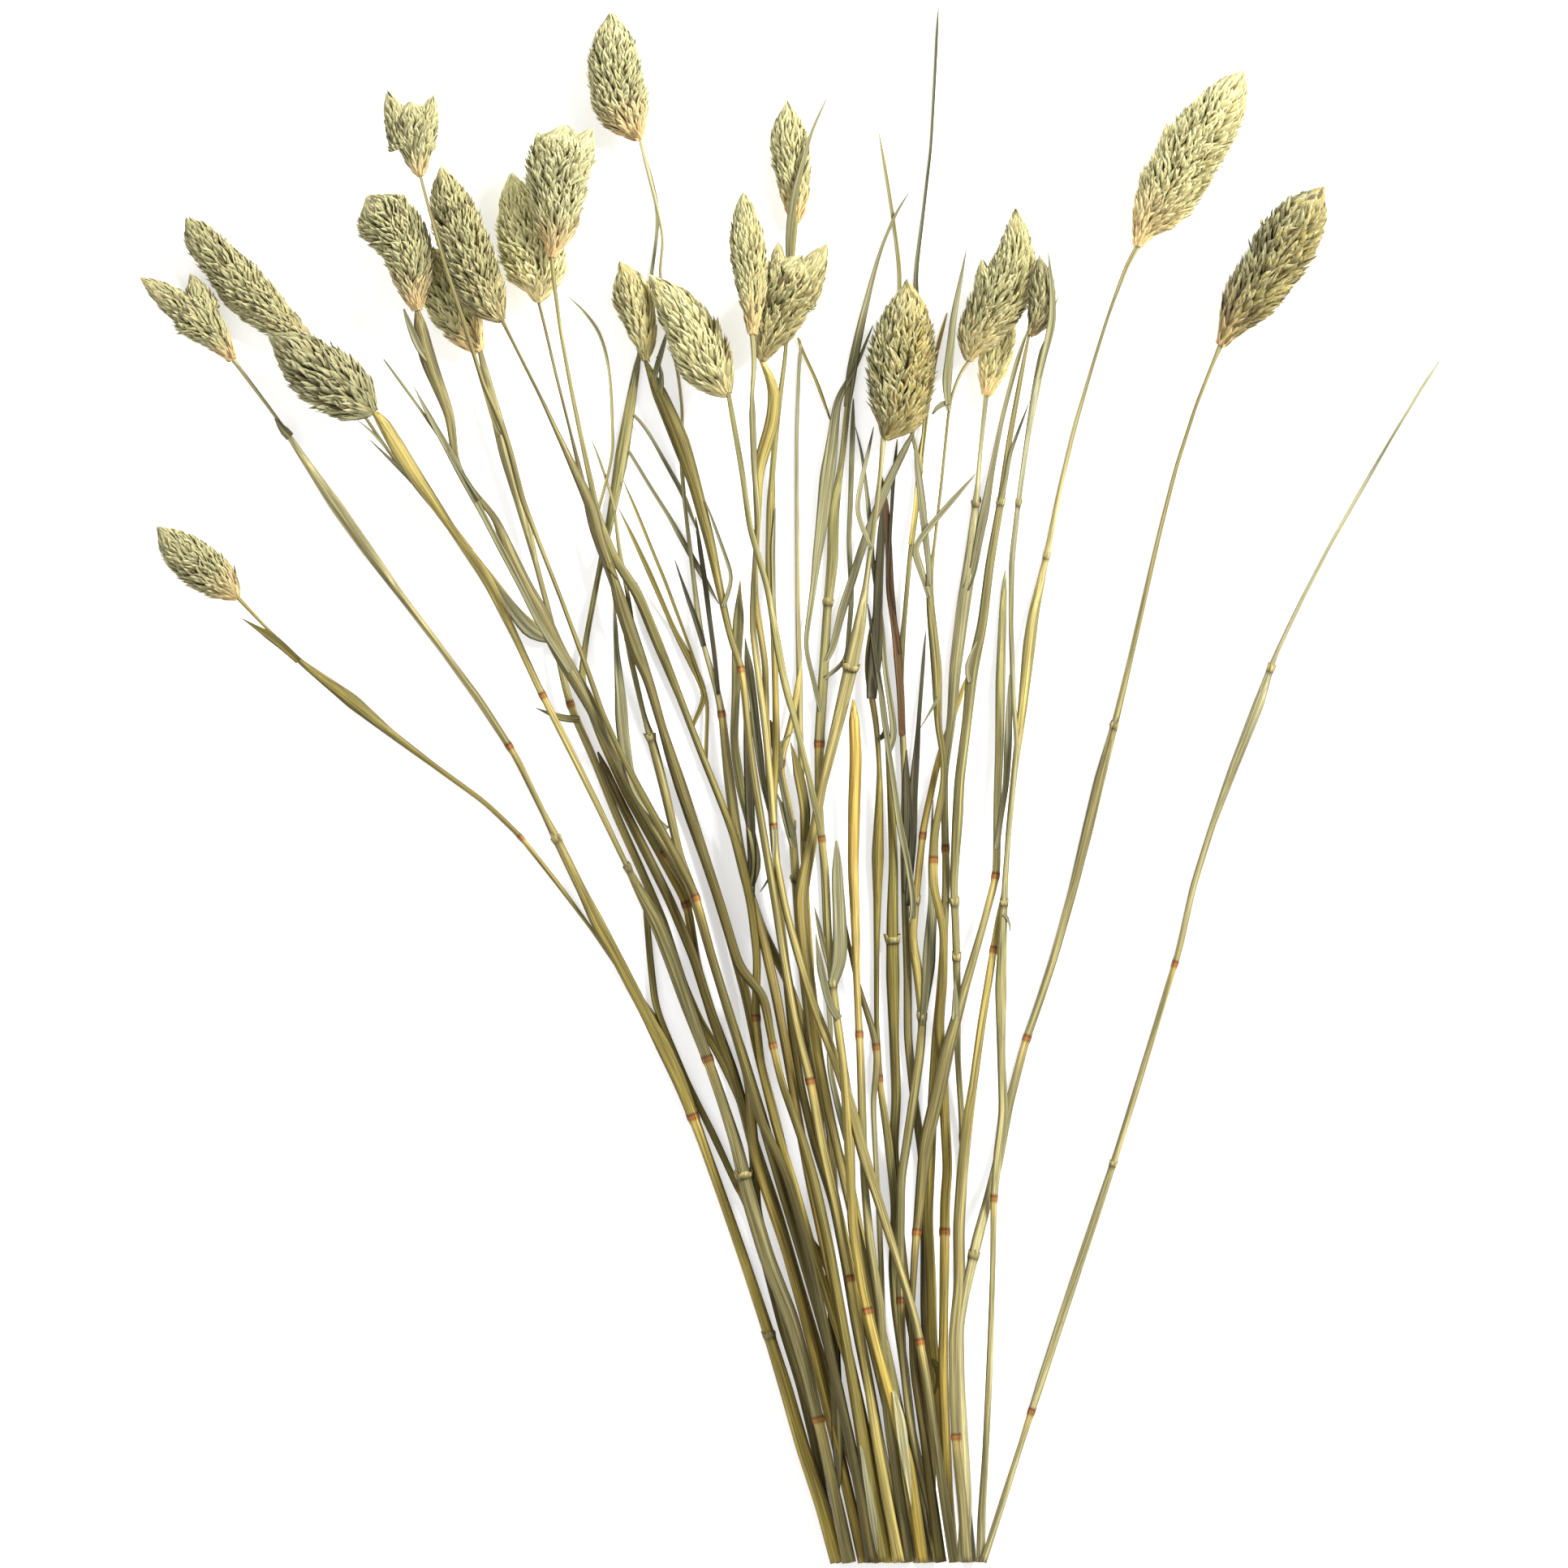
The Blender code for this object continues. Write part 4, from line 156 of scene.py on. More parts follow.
           [[(-28.6, -11, 1), (-33, -7.5, 1.3), (-37, -1.5, 1.7), (-38.4, 4, 2.4), (-39.4, 10, 3),
             (-40.1, 17.8, 3.2), (-41.2, 32.9, 1.3), (-42, 46, 1.1)]]),
    "w2": ([(30.6, CUT_Y, 2.4), (28.9, -175.9, 2.4), (26.9, -160, 2.4), (24.8, -144.2, 2.4),
            (21.9, -128.5, 2.4), (19.3, -113.7, 2.4), (16.5, -98.9, 2.4), (11.3, -84.8, 2.4),
            (8, -72.2, 2.4), (5, -59.6, 2.4), (0.8, -48.3, 2.5), (-5.5, -35.8, 2.7), (-9.3, -24.3, 2.8),
            (-12.6, -11.7, 2.3), (-18.6, 3.1, 1.8), (-24.3, 18, 1.9), (-30.3, 32.8, 2.9),
            (-33.4, 40.2, 3), (-36.1, 48.8, 1.5), (-36.4, 49.7, 1.2)],
           None,
           [[(-22.7, 13.7, 0.9), (-20.9, 18.1, 1.2), (-19, 21.5, 1.4), (-22.7, 29.9, 1.9),
             (-27.5, 38.8, 1.2), (-33.4, 52.7, 1.3), (-39.9, 66.3, 0.7), (-40.8, 68.1, 0.7)],
            [(-19.3, 4.8, 1), (-19, 15.7, 0.9), (-18.7, 20.5, 0.9), (-23.9, 35.6, 0.7),
             (-29.2, 49.7, 0.9), (-34.9, 63.7, 0.8), (-39.6, 74.8, 0.8)]]),
    "w13": ([(36.8, CUT_Y, 2.6), (35.7, -175.8, 2.6), (35.4, -159.8, 2.6), (35.4, -143.8, 2.6),
             (34.7, -128.9, 2.5), (34.7, -116.9, 2.4), (34.7, -106.9, 2.4), (34.1, -91.9, 2.4),
             (32, -77, 2.4), (30.5, -62.1, 2.4), (30.5, -47.1, 2.4), (29.9, -31.1, 2.2),
             (29.5, -15.1, 2.1), (29.8, 0.8, 1.9), (29.3, 10.9, 1.8), (28.6, 23.8, 1.9),
             (28.8, 31.8, 2.1), (29.6, 39.8, 1.4), (31, 55.7, 1.4), (32.9, 70.6, 1.8),
             (33.4, 76.6, 1.9), (33.9, 84.6, 1.9), (34, 85.6, 1.8)],
            None,
            [[(29.2, 12, 1.7), (28.6, 24, 1.9), (28.1, 32.1, 2.1), (27, 40, 1.7), (26.2, 47, 2.1),
              (25.9, 56, 1.7), (25.1, 68.1, 1.7), (23.8, 77, 1.3)],
             [(28.7, 32, 0.9), (28.1, 37, 0.9), (25.7, 47.8, 0.8), (26.2, 62.9, 0.8), (27.2, 78, 1),
              (27.9, 85, 1)],
             [(33.3, 73.9, 1), (33.6, 78.9, 1), (34.9, 90.9, 1.1), (34.2, 105.9, 1.1),
              (32.4, 120.8, 1.4), (32.5, 125.9, 1.1), (34.3, 140.7, 0.8), (36.1, 155.6, 0.7),
              (37, 170.6, 0.7), (37.7, 185.6, 0.7), (38.1, 191.6, 0.7)],
             [(31.3, 59, 1.3), (33.2, 74.9, 1.1), (35.1, 90.7, 1), (37.5, 106.5, 1), (40.2, 116.1, 1.2)],
             [(30.3, -27, 2.2), (30.5, -11.2, 2.6), (30.1, 3.6, 1.8), (30.3, 8.5, 0.8)],
             [(30.5, -30, 1.6), (31.7, -15, 1.8), (32, 0, 2.2), (33.2, 15, 1.1), (34.3, 30, 0.9),
              (35, 38, 0.7)],
             [(33.9, 76.6, 1), (30.8, 89.4, 1), (28.8, 104.3, 1), (28.4, 117.2, 1), (28.6, 126.3, 1.1),
              (26.7, 141.2, 0.9), (24.2, 156.1, 0.7), (23.3, 161, 0.7)]]),
    "w3": ([(36.8, CUT_Y, 2.8), (36.1, -181.9, 2.8), (36.1, -166.9, 2.8), (35, -153.9, 2.8),
            (32.5, -139.1, 2.8), (29.9, -124.3, 2.8), (28.5, -111.3, 2.8), (27.9, -99.3, 2.8),
            (26.9, -90.3, 2.8), (27.7, -77.3, 2.8), (27.1, -62.3, 2.8), (26.8, -47.2, 3.9),
            (26.7, -32.2, 3.3), (27, -19.3, 2.6), (26.3, -3.3, 2.1), (25.5, 11.6, 1.6),
            (24.7, 18.6, 1.4)],
           None,
           [[(25.9, 8, 1.3), (27.4, 11.8, 1.7), (25, 27.5, 1.3), (24.2, 38.5, 1.2), (21.9, 54.3, 1.1),
             (20.7, 70.2, 1.1), (19.1, 82.1, 0.7), (17.6, 87.9, 0.7)]]),
    "w4": ([(37.1, CUT_Y, 2.4), (35, -175.9, 2.4), (32.9, -160.1, 2.4), (30.9, -144.2, 2.4),
            (28.5, -129.4, 2.4), (27.6, -119.4, 2.4), (28.1, -104.3, 2.4), (26.4, -89.4, 2.4),
            (24, -74.6, 1.9), (22.9, -58.7, 1.5), (22.8, -42.7, 1.6), (23, -28.7, 2.3),
            (23.1, -17.7, 3.6), (23.5, -2.7, 2.1), (23.5, 4.2, 1.3), (22.8, 14.2, 1.6), (20.7, 27, 2.1),
            (20.8, 32.1, 2), (22.1, 42, 1.3)],
           None,
           [[(21.5, 21, 2.4), (21.6, 25.1, 3), (22.6, 30.9, 3.6), (23, 41.9, 2.4), (23.4, 52, 2.3),
             (24, 63, 1.8), (24.1, 70, 0.8)],
            [(23.2, 11, 1.2), (25.1, 11, 1.3), (25.6, 11.5, 1.3), (23.3, 26.5, 1.4), (21.1, 41.4, 1),
             (20.6, 44.4, 0.9)]]),
    "w5": ([(34.9, CUT_Y, 2.2), (32.3, -177, 2.2), (29.7, -162.2, 2.2), (26.9, -147.4, 2.2),
            (25.4, -135.4, 1.9), (24.9, -120.3, 1.6), (24.1, -105.3, 1.6), (23, -90.3, 1.4),
            (22.3, -78.3, 1.6), (23.3, -68.3, 2.1), (22.8, -63.1, 2.1), (18, -48.7, 1.5),
            (15.4, -37, 1.2), (14.5, -31, 0.9)],
           None,
           []),
    "w6": ([(26.6, CUT_Y, 2.2), (24.5, -176.9, 2.2), (22.3, -162.1, 2.2), (19.8, -147.2, 2.2),
            (17.3, -132.4, 2.1), (14.9, -117.6, 2), (12.4, -102.8, 2), (9.1, -88.1, 2), (7.3, -73.2, 2),
            (6.7, -62.2, 2), (6.7, -47.1, 2), (5.6, -31.2, 2), (4.8, -16.2, 1.9), (4.5, -1.1, 1.5),
            (3.9, 13.9, 1.9), (3.8, 26.9, 1.8), (3.4, 41.9, 1.4), (3.3, 56.9, 1.4), (3.2, 72, 1.3),
            (3.2, 87, 1.2), (3.7, 102, 1.1), (4.3, 110, 1)],
           None,
           [[(3.4, 110, 0.6), (4.6, 106.4, 0.9), (7.9, 99.8, 0.9), (11.3, 90.1, 1.1), (11.6, 89.1, 1.1)],
            [(5, -14, 1.5), (5.5, -8.2, 2.6), (3.7, 2.6, 2.6), (1.6, 10.3, 1.4)]]),
    "w15": ([(27.5, CUT_Y, 2.2), (25.3, -176, 2.2), (23.1, -160.2, 2.2), (20.5, -144.4, 2.2),
             (17.5, -128.7, 2.2), (14.2, -113.1, 2.2), (12.5, -102.2, 2.2), (11.6, -87.2, 2.2),
             (9.3, -75.4, 2.2), (6.1, -59.8, 2.2), (4.3, -43.9, 2.2), (3.2, -28, 2.5),
             (2.2, -13.1, 2.3), (1.2, -5.4, 1.8), (-0.7, 2.4, 2), (-0.9, 5.6, 2.1), (1.9, 15.4, 2),
             (3.8, 26.2, 1.7), (4.1, 29.2, 1.6)],
            None,
            [[(2.2, -13, 1.6), (-1.1, 2.3, 1.3), (-2.5, 8.7, 1.2), (2.6, 13.1, 0.8)],
             [(2.4, -15.5, 1.8), (-0.6, -5.2, 1.6), (-2, -1.6, 0.8)],
             [(-0.9, 3.8, 2), (-2.3, 11.9, 3.2), (-3.4, 15.8, 1.6)]]),
    "w7": ([(33, CUT_Y, 2.4), (30.2, -177.1, 2.4), (27.2, -162.3, 2.4), (24.2, -147.6, 2.4),
            (21.3, -132.9, 2.4), (18.3, -118.2, 2.4), (16.7, -109.3, 2.4), (16.5, -94.2, 2.4),
            (16.3, -80.2, 2.4), (14, -65.3, 2.4), (12.1, -50.5, 2.2), (10.4, -35.6, 1.9),
            (9.8, -21.6, 1.7), (9.2, -12.6, 2.1), (8.6, -4.7, 2.3), (8.7, 11.3, 2.9), (9.7, 26.3, 2.9),
            (10.6, 42.3, 2.5), (12, 55.2, 3.3), (12.2, 67.3, 3.2), (14.2, 79.1, 1.7), (15.9, 95, 1.8),
            (16.5, 103, 1.5)],
           None,
           [[(15.5, 92.9, 1.7), (16.5, 100.8, 2.6), (19, 113.6, 1.9), (22.3, 126.2, 1.1),
             (24.2, 132.9, 0.9), (27.8, 141.1, 0.8), (31.1, 146.2, 0.7)],
            [(9.1, 18, 1.2), (5.5, 32.6, 1.2), (5.4, 35.6, 1.2), (7.5, 50.4, 1.7), (9.4, 65.3, 3.1),
             (10.9, 77.2, 3.7), (13, 93.1, 2), (13.3, 95.1, 1.8), (17.8, 102.8, 0.9), (21.9, 113, 0.9)],
            [(10.2, 30, 1.1), (11.8, 32.6, 1.5), (14.5, 43.3, 2.1), (19.4, 58.5, 2), (24, 70.6, 2.3),
             (30.5, 84.1, 1.7), (32.8, 88.5, 1.3)],
            [(9.9, 26, 1), (15.4, 30.1, 1.1), (16.7, 45.1, 1.3), (16, 60.1, 1.2), (16.6, 76, 1.3),
             (17, 92, 1.3), (17.1, 95, 1.3)],
            [(11.4, -45.5, 1.6), (8.1, -33.2, 1.3), (7.5, -30.3, 1)],
            [(16.5, -92, 1.4), (13.4, -80, 1.6), (11.2, -70, 1.4), (11.5, -60, 1.2), (10.3, -50, 1)]]),
    "o": ([(29.8, CUT_Y, 2.2), (26.8, -177.1, 2.3), (23.7, -162.4, 2.4), (20.6, -147.7, 2.4),
           (17.6, -133, 2.4), (15.1, -118.2, 2.4), (12.2, -103.3, 2.4), (7.6, -89, 2.4),
           (4.1, -74.4, 2.4), (1.9, -60.6, 2.4), (0.4, -45.7, 2.2), (-1.7, -29.8, 2.2),
           (-2, -18.9, 2.2), (-2.7, -6.8, 2.1), (-1.9, 8.2, 2.2), (-2.1, 23.2, 2), (-2.5, 38.2, 2),
           (-3.5, 53.2, 2.7), (-3.2, 68.2, 2.7), (-3, 75.2, 1.8), (-1.7, 90.2, 1.8), (0.3, 105.1, 1.2),
           (1.2, 120.1, 1.1), (2.6, 135, 1.3), (2.9, 138, 1.2)],
          [(2.9, 139.6, 3.1), (2.9, 144.5, 6.9), (2, 152.3, 9.2), (1.3, 158.2, 9.6), (0.9, 163.1, 7.1),
           (0.8, 167, 2.4)],
          [[(1.4, 122.6, 1), (1.1, 131.5, 1.6), (1.2, 136.5, 1.8), (2.5, 145.4, 1.9), (6.7, 160.7, 0.8),
            (10.9, 169.8, 0.7)],
           [(-2.5, 38, 0.9), (-2.4, 43, 0.9), (-2.7, 58, 1.1), (-2.1, 68, 0.8)]]),
    "p": ([(31.8, CUT_Y, 2.2), (28.8, -177.1, 2.3), (25.9, -162.4, 2.4), (22.8, -147.7, 2.4),
           (19.4, -133.1, 2.4), (15.6, -118.6, 2.4), (12.6, -104.9, 2.4), (9.5, -90.2, 2.4),
           (6.5, -75.5, 2.4), (3.4, -60.8, 2.4), (0.6, -46, 2.4), (-1, -33.1, 2.4), (-1.5, -23.1, 2.4),
           (-2.6, -12.1, 2.3), (-3.7, 2.8, 2.1), (-4.4, 16.8, 2), (-4.6, 29.8, 1.9), (-7, 44.7, 1.9),
           (-7.3, 50.8, 1.9), (-6.5, 62.8, 1.8), (-6.5, 76.9, 3.3), (-4.8, 82.8, 4), (-2.7, 89.6, 4),
           (-2.3, 95.7, 3.5), (-2.8, 98.8, 3.1), (-5.5, 104.3, 1.4)],
          [(-5.1, 105.9, 3.2), (-4.1, 109.8, 9.6), (-1.9, 115.5, 13.8), (0.5, 122, 14.8),
           (3, 127.5, 13.7), (5.1, 131, 9.5)],
          [[(-6.5, 62, 1), (-6.2, 67, 1.2), (-7.4, 77.9, 1.6), (-7.8, 93, 1.7), (-7.9, 99, 1.2)],
           [(-2.9, -8, 1.4), (-5.2, 0, 1.4), (-6.4, 10, 2.2), (-7.5, 20, 2), (-8.8, 30, 2.2),
            (-9.6, 36, 1)]]),
    "a": ([(28, CUT_Y, 2.4), (24.8, -176.1, 2.4), (21.5, -160.5, 2.4), (17.9, -144.9, 2.4),
           (14.2, -129.3, 2.4), (10.6, -113.7, 2.4), (7, -98.2, 2.4), (3.9, -82.5, 2.5),
           (1, -66.7, 2.6), (-1.9, -52, 2.9), (-4.8, -39.3, 2.9), (-8.4, -27.8, 2.8),
           (-11.6, -13.2, 3.1), (-13.6, 1.7, 3), (-15.2, 16.6, 2.2), (-16.3, 22.5, 1.9),
           (-19.8, 34, 1.4), (-21.1, 40.9, 1.7), (-22.3, 50.8, 1.3), (-24.2, 66.7, 1.1),
           (-25.3, 78.7, 1.3), (-25, 91.7, 0.9), (-26, 100.7, 0.9), (-29.3, 115.3, 1),
           (-30.7, 126.3, 0.9), (-29.6, 134.3, 0.9), (-31.7, 144, 1), (-35.4, 158.6, 1.1)],
          [(-36.2, 160.1, 2.9), (-37.6, 162.7, 9.6), (-38.7, 164.3, 11.9), (-40.8, 168.8, 14.2),
           (-41.8, 176.7, 13.2), (-42.1, 182.7, 11.4), (-42.6, 188.6, 4.2)],
          [[(-19.8, 33.9, 1.3), (-21.1, 38.8, 1.4), (-25.3, 50.3, 0.8), (-26.9, 55.2, 0.9)],
           [(-16.1, 22.1, 1), (-17.2, 32, 1.1), (-19.1, 47, 1.3), (-21.2, 61.9, 1.1), (-21.8, 65.9, 1.1)],
           [(-8.2, -29, 2), (-8.2, -24, 2.1), (-7.8, -18, 2.2), (-8.6, -3, 2.4), (-8.8, 11, 2.3),
            (-9.5, 24, 1.4)],
           [(-8.6, -27, 1.4), (-6.4, -20, 2.2), (-8.4, -10, 1.8), (-10.9, 0, 2.4), (-12.3, 10, 2),
            (-12, 20, 2), (-11.6, 30, 2.4), (-11.3, 40, 2.8), (-10.8, 50, 1.2)]]),
    "q": ([(34, CUT_Y, 2.6), (31.1, -176.1, 2.6), (28.2, -160.4, 2.6), (25.1, -144.7, 2.6),
           (21.6, -129.1, 2.6), (17.9, -113.6, 2.6), (14.4, -98, 2.6), (11, -82.4, 2.6),
           (8.2, -66.6, 2.8), (6.6, -50.8, 3.3), (4.9, -40, 3.7), (4.1, -29, 4), (4.8, -23.9, 3.8),
           (7.7, -10.2, 2.9), (9.4, -0.3, 2.6), (13.3, 15.1, 3.5), (15.8, 25.9, 4), (18.5, 38.5, 3.6),
           (20.2, 49.4, 1.6), (22.4, 65.2, 1.4), (23.7, 76.1, 1.3), (24.5, 85.1, 1.5)],
          [(25.9, 86.9, 3.6), (27.5, 88.9, 11.8), (28.7, 95.8, 15.7), (28.8, 103.8, 16.7),
           (29.8, 111.6, 14.5), (30.5, 118.5, 9.4), (30.4, 122.5, 3.5)],
          [[(21.5, 58, 0.9), (18, 66.3, 1.3), (18.3, 71.3, 1.2), (21.7, 86, 0.9), (22.1, 88, 0.8)]]),
    "w8": ([(37.1, CUT_Y, 2.6), (34.5, -178.8, 2.4), (31, -164.1, 2.3), (29.4, -155.3, 2.1),
            (28.1, -140.3, 1.9), (27.7, -125.2, 2.3), (28, -110.2, 2.2), (28.3, -97.1, 2.4),
            (30.8, -82.3, 2.7), (33.2, -67.4, 2.6), (34.1, -58.4, 2.4), (32.9, -45.3, 2.9),
            (31.6, -38.4, 2.4), (32.9, -24.4, 2), (34.4, -10.5, 2), (37.6, 4.2, 1.9), (39.3, 10, 1.8),
            (43.8, 22.2, 1.4), (44.8, 26.1, 1.2)],
           None,
           [[(34.1, -59.5, 1.2), (35.2, -49.7, 2.4), (35.7, -43.9, 3.3), (36.7, -28, 2.2),
             (36.7, -20, 2.3), (36.4, -11, 0.7), (36.7, -4, 0.7)],
            [(31.6, -33, 1.6), (32, -29, 1.6), (30.6, -20, 1.6), (28.5, -10.2, 1.7), (26.3, 4.7, 1.4),
             (24.2, 19.6, 1.3), (22.9, 27.5, 1)]]),
    "s": ([(40.1, CUT_Y, 2.6), (38.7, -176.8, 2.7), (37.7, -161.8, 2.8), (36.3, -146.9, 2.8),
           (35.4, -136.9, 2.8), (35.3, -121.9, 2.8), (34.7, -106.8, 2.8), (35.6, -91.8, 2.8),
           (36.3, -76.9, 2.8), (37.6, -61.9, 3.1), (39, -49, 2.9), (39.4, -39, 2.3), (40, -23, 2.3),
           (39.6, -8, 2.2), (39.5, 3, 2.2), (41.3, 15.9, 2.7), (42.2, 28.9, 3.5), (44.3, 44.7, 4),
           (46.1, 55.6, 3.8), (47, 66.5, 2.3), (47.8, 74.5, 1.4), (48.5, 83.5, 1.2), (49.8, 95.4, 1.5)],
          [(50.1, 96.8, 2.4), (51.1, 100.6, 6.5), (52.5, 107.4, 8.8), (53.4, 113.3, 7.8),
           (54.2, 117.3, 5.3)],
          [[(44.7, 48, 1.8), (46.2, 50.6, 1.9), (49.2, 66.3, 2.4), (51.2, 77.1, 1.5), (53.7, 89.9, 1.1),
            (57.8, 105.3, 1.2), (60.1, 111.9, 1.2)]]),
    "r": ([(40.1, CUT_Y, 2.6), (38.9, -175.9, 2.6), (38.4, -159.9, 2.6), (38, -143.9, 2.6),
           (38.4, -128, 2.4), (38.8, -112, 2.8), (39, -102.1, 2.8), (39.8, -95.1, 2.8),
           (39.1, -79.1, 2.8), (38.9, -69.1, 2.8), (37.9, -60.2, 3), (39.2, -47.3, 2.6),
           (39.4, -36.3, 2.3), (38.4, -31.3, 2.4), (36.8, -25.4, 2.5), (37, -13.3, 2.3),
           (38, -7.3, 2.1), (39.5, 0.6, 2), (39.3, 7.6, 1.9), (38, 13.6, 2), (37.6, 28.5, 3.2),
           (36, 44.4, 2.4), (35.9, 50.4, 1.8), (37, 58.4, 0.9), (38.8, 74.2, 0.9), (40.4, 90.1, 0.9),
           (41.1, 95.1, 0.9), (43.5, 101.7, 0.9), (45.4, 104, 0.9)],
          [(45.8, 106.5, 4.2), (46.2, 108.8, 9), (50, 114.7, 12.5), (54.1, 120.6, 13.7),
           (56.8, 127.3, 11.7), (57.4, 134.5, 7.4), (57.1, 140.6, 2.4)],
          [[(35.8, 49, 1.4), (35.7, 54, 1.5), (34, 69, 2), (32.3, 83.9, 1.3), (32.2, 84.9, 1.2)],
           [(35.8, 46, 1.4), (32.7, 56.3, 2), (31.5, 57.7, 1.4), (35.5, 63.1, 1.6), (46, 75, 1.1),
            (47.3, 76.5, 0.8)],
           [(40.5, 92, 1.2), (40.1, 99.1, 2.4), (41.6, 114.1, 1.6), (44.4, 129, 0.8), (45, 132, 0.7)],
           [(40.8, 94.1, 1.3), (38.8, 94.2, 2.1), (37.8, 93.9, 2.6), (36.5, 91.1, 1.9)],
           [(38.1, 21.4, 1), (33.6, 13.8, 0.7)]]),
    "t": ([(45.6, CUT_Y, 2.6), (44.1, -175.9, 2.5), (42.9, -166, 2.4), (42.2, -151, 2.3),
           (42.1, -135.9, 2.2), (43.5, -124, 2.2), (43.2, -110, 2.2), (44.1, -96, 2.2),
           (43.7, -83, 1.8), (42.7, -67, 1.7), (42.7, -51.1, 2.1), (42.3, -35.1, 2.2),
           (41.8, -24.1, 2.3), (42.8, -8.2, 3.2), (43.2, 0.9, 3), (45.1, 15.7, 2.8), (46.3, 27.7, 3.4),
           (48.9, 39.4, 2.9), (50.7, 54.3, 2.6), (53.5, 70, 2.2), (55.7, 85.9, 1.7), (58.6, 101.6, 1.4),
           (60.3, 110.4, 0.9)],
          [(62, 112.4, 2.8), (63.4, 114.2, 6.4), (63.8, 120.5, 7), (63.4, 126.6, 4.4),
           (63.2, 128.6, 2.9)],
          [[(45.9, 25.1, 1.3), (44.8, 28.8, 1.9), (47.6, 35.1, 1.4)],
           [(53.4, 69.5, 1.1), (54.5, 73.3, 1), (55.6, 81.2, 0.9), (60.5, 94.3, 0.7)]]),
    "f": ([(25.6, CUT_Y, 2.4), (22.9, -176, 2.4), (19.9, -160.3, 2.4), (16.6, -144.7, 2.4),
           (11.6, -129.5, 2.3), (6.9, -114.2, 2.3), (2.5, -98.8, 2.3), (-2, -84.5, 2.3),
           (-5.6, -69.9, 2.3), (-7, -56.9, 2.4), (-6.6, -42.8, 2.3), (-8, -29.8, 2.6),
           (-11.4, -15.2, 2.7), (-14.2, -7.7, 2.1), (-20.2, 7.1, 2), (-25.6, 21.1, 2), (-31.2, 35, 3),
           (-36.2, 47.2, 3), (-41.8, 55.5, 2.6), (-46, 66.7, 1.7), (-48.9, 80.4, 1.5), (-52.2, 96, 1.2),
           (-55.1, 111.7, 1.1), (-56.8, 124.6, 1.2), (-57.2, 129.6, 1.3)],
          [(-56.7, 131.7, 3), (-55.8, 135.9, 9.4), (-56.2, 143, 13.6), (-56, 150.1, 15.5),
           (-54.9, 156, 15.5), (-54.4, 159, 12.7)],
          []),
    "d": ([(23.9, CUT_Y, 3.4), (21.2, -176, 3.2), (18.9, -160.2, 2.8), (16.4, -144.4, 2.8),
           (13.7, -128.7, 2.8), (11, -113.9, 2.8), (7.8, -99.2, 2.8), (4.6, -87.6, 2.6),
           (-0.6, -73.6, 2.1), (-2.9, -63.8, 2.2), (-4.8, -53, 2.7), (-5.1, -52, 2.7),
           (-11.1, -45.2, 2.9), (-15.6, -29.9, 2.7), (-20.7, -14.7, 3.1), (-25.5, -0.5, 3.7),
           (-30, 13.8, 2.5), (-33.6, 26.3, 3), (-36.4, 32.7, 4.1), (-40.5, 45.1, 4), (-41.7, 49.9, 2.8),
           (-45.4, 60.3, 3), (-47.3, 68.1, 3.6), (-54, 82.6, 1.8), (-59.9, 95.2, 1),
           (-67.1, 109.5, 0.9), (-69.3, 114, 1.2)],
          [(-70.4, 115.3, 4.1), (-72.9, 118.1, 10), (-75.6, 124.7, 12.4), (-78.4, 131.1, 12.7),
           (-80.7, 137.8, 12.3), (-82.5, 143.5, 10.8), (-84.1, 150.4, 4.2)],
          [[(-43.4, 54.3, 2), (-41.5, 51.1, 1.5), (-40.9, 50.5, 1.2)]]),
    "b": ([(23.4, CUT_Y, 2.4), (20.5, -176.1, 2.4), (17.2, -160.4, 2.4), (13.6, -144.8, 2.4),
           (10.1, -129.2, 2.4), (6.4, -113.7, 2.4), (1.9, -98.3, 2.4), (-0.3, -92.9, 2.4),
           (-5.3, -83, 2.7), (-9.4, -69.5, 2.6), (-13.3, -57.1, 2.4), (-17.7, -42.8, 2.4),
           (-21.8, -27.4, 2.4), (-26.2, -18.4, 2.4), (-32.5, -7, 2.1), (-40.1, 7.1, 1.7),
           (-44.6, 17.1, 1.5), (-49.6, 31.3, 1.4), (-55.2, 46.3, 1.2), (-61, 61.1, 1.3),
           (-64.6, 70.4, 1.7), (-68.3, 85, 1.6), (-70.6, 90.6, 1.5), (-73.9, 97.8, 1.3),
           (-78.7, 113.1, 1.2), (-83.4, 127.3, 1.1), (-87.5, 141.8, 0.9), (-89.5, 149.5, 0.9)],
          [(-89.8, 151.1, 3.6), (-90.7, 156.8, 8.6), (-91.6, 164.6, 12.4), (-91.7, 165.5, 12.7),
           (-91.8, 167.5, 11.1)],
          []),
    "w9": ([(32.6, CUT_Y, 2.8), (30.1, -176, 2.8), (27.7, -160.2, 2.8), (25.6, -144.4, 2.8),
            (24.7, -129.4, 2.8), (22, -113.7, 2.6), (20.4, -97.8, 2.2), (19.7, -81.9, 2.4),
            (19, -65.9, 2.2), (18.3, -55, 2.1), (17.8, -46, 2.1), (17.7, -37, 2.6), (17, -21.1, 3.1),
            (17.3, -5.1, 3.6), (17.7, 6.8, 3.6), (17.2, 16.8, 3), (17.1, 20.8, 2.3)],
           None,
           []),
    "w10": ([(36.9, CUT_Y, 2.8), (34.9, -176, 2.6), (33, -160.1, 2.2), (30.6, -144.3, 1.8),
             (30.3, -130.4, 1.7), (31.5, -114.5, 2.1), (33.3, -98.6, 3.3), (34.4, -88.7, 3.9),
             (38.3, -73.2, 4.2), (40.1, -65.5, 3.8), (44.6, -50.1, 2.6), (49.1, -34.8, 2.1),
             (52.4, -22.3, 2.3), (52.5, -6.3, 2.2), (53.1, 9.7, 2.5), (53.3, 25.6, 2.8),
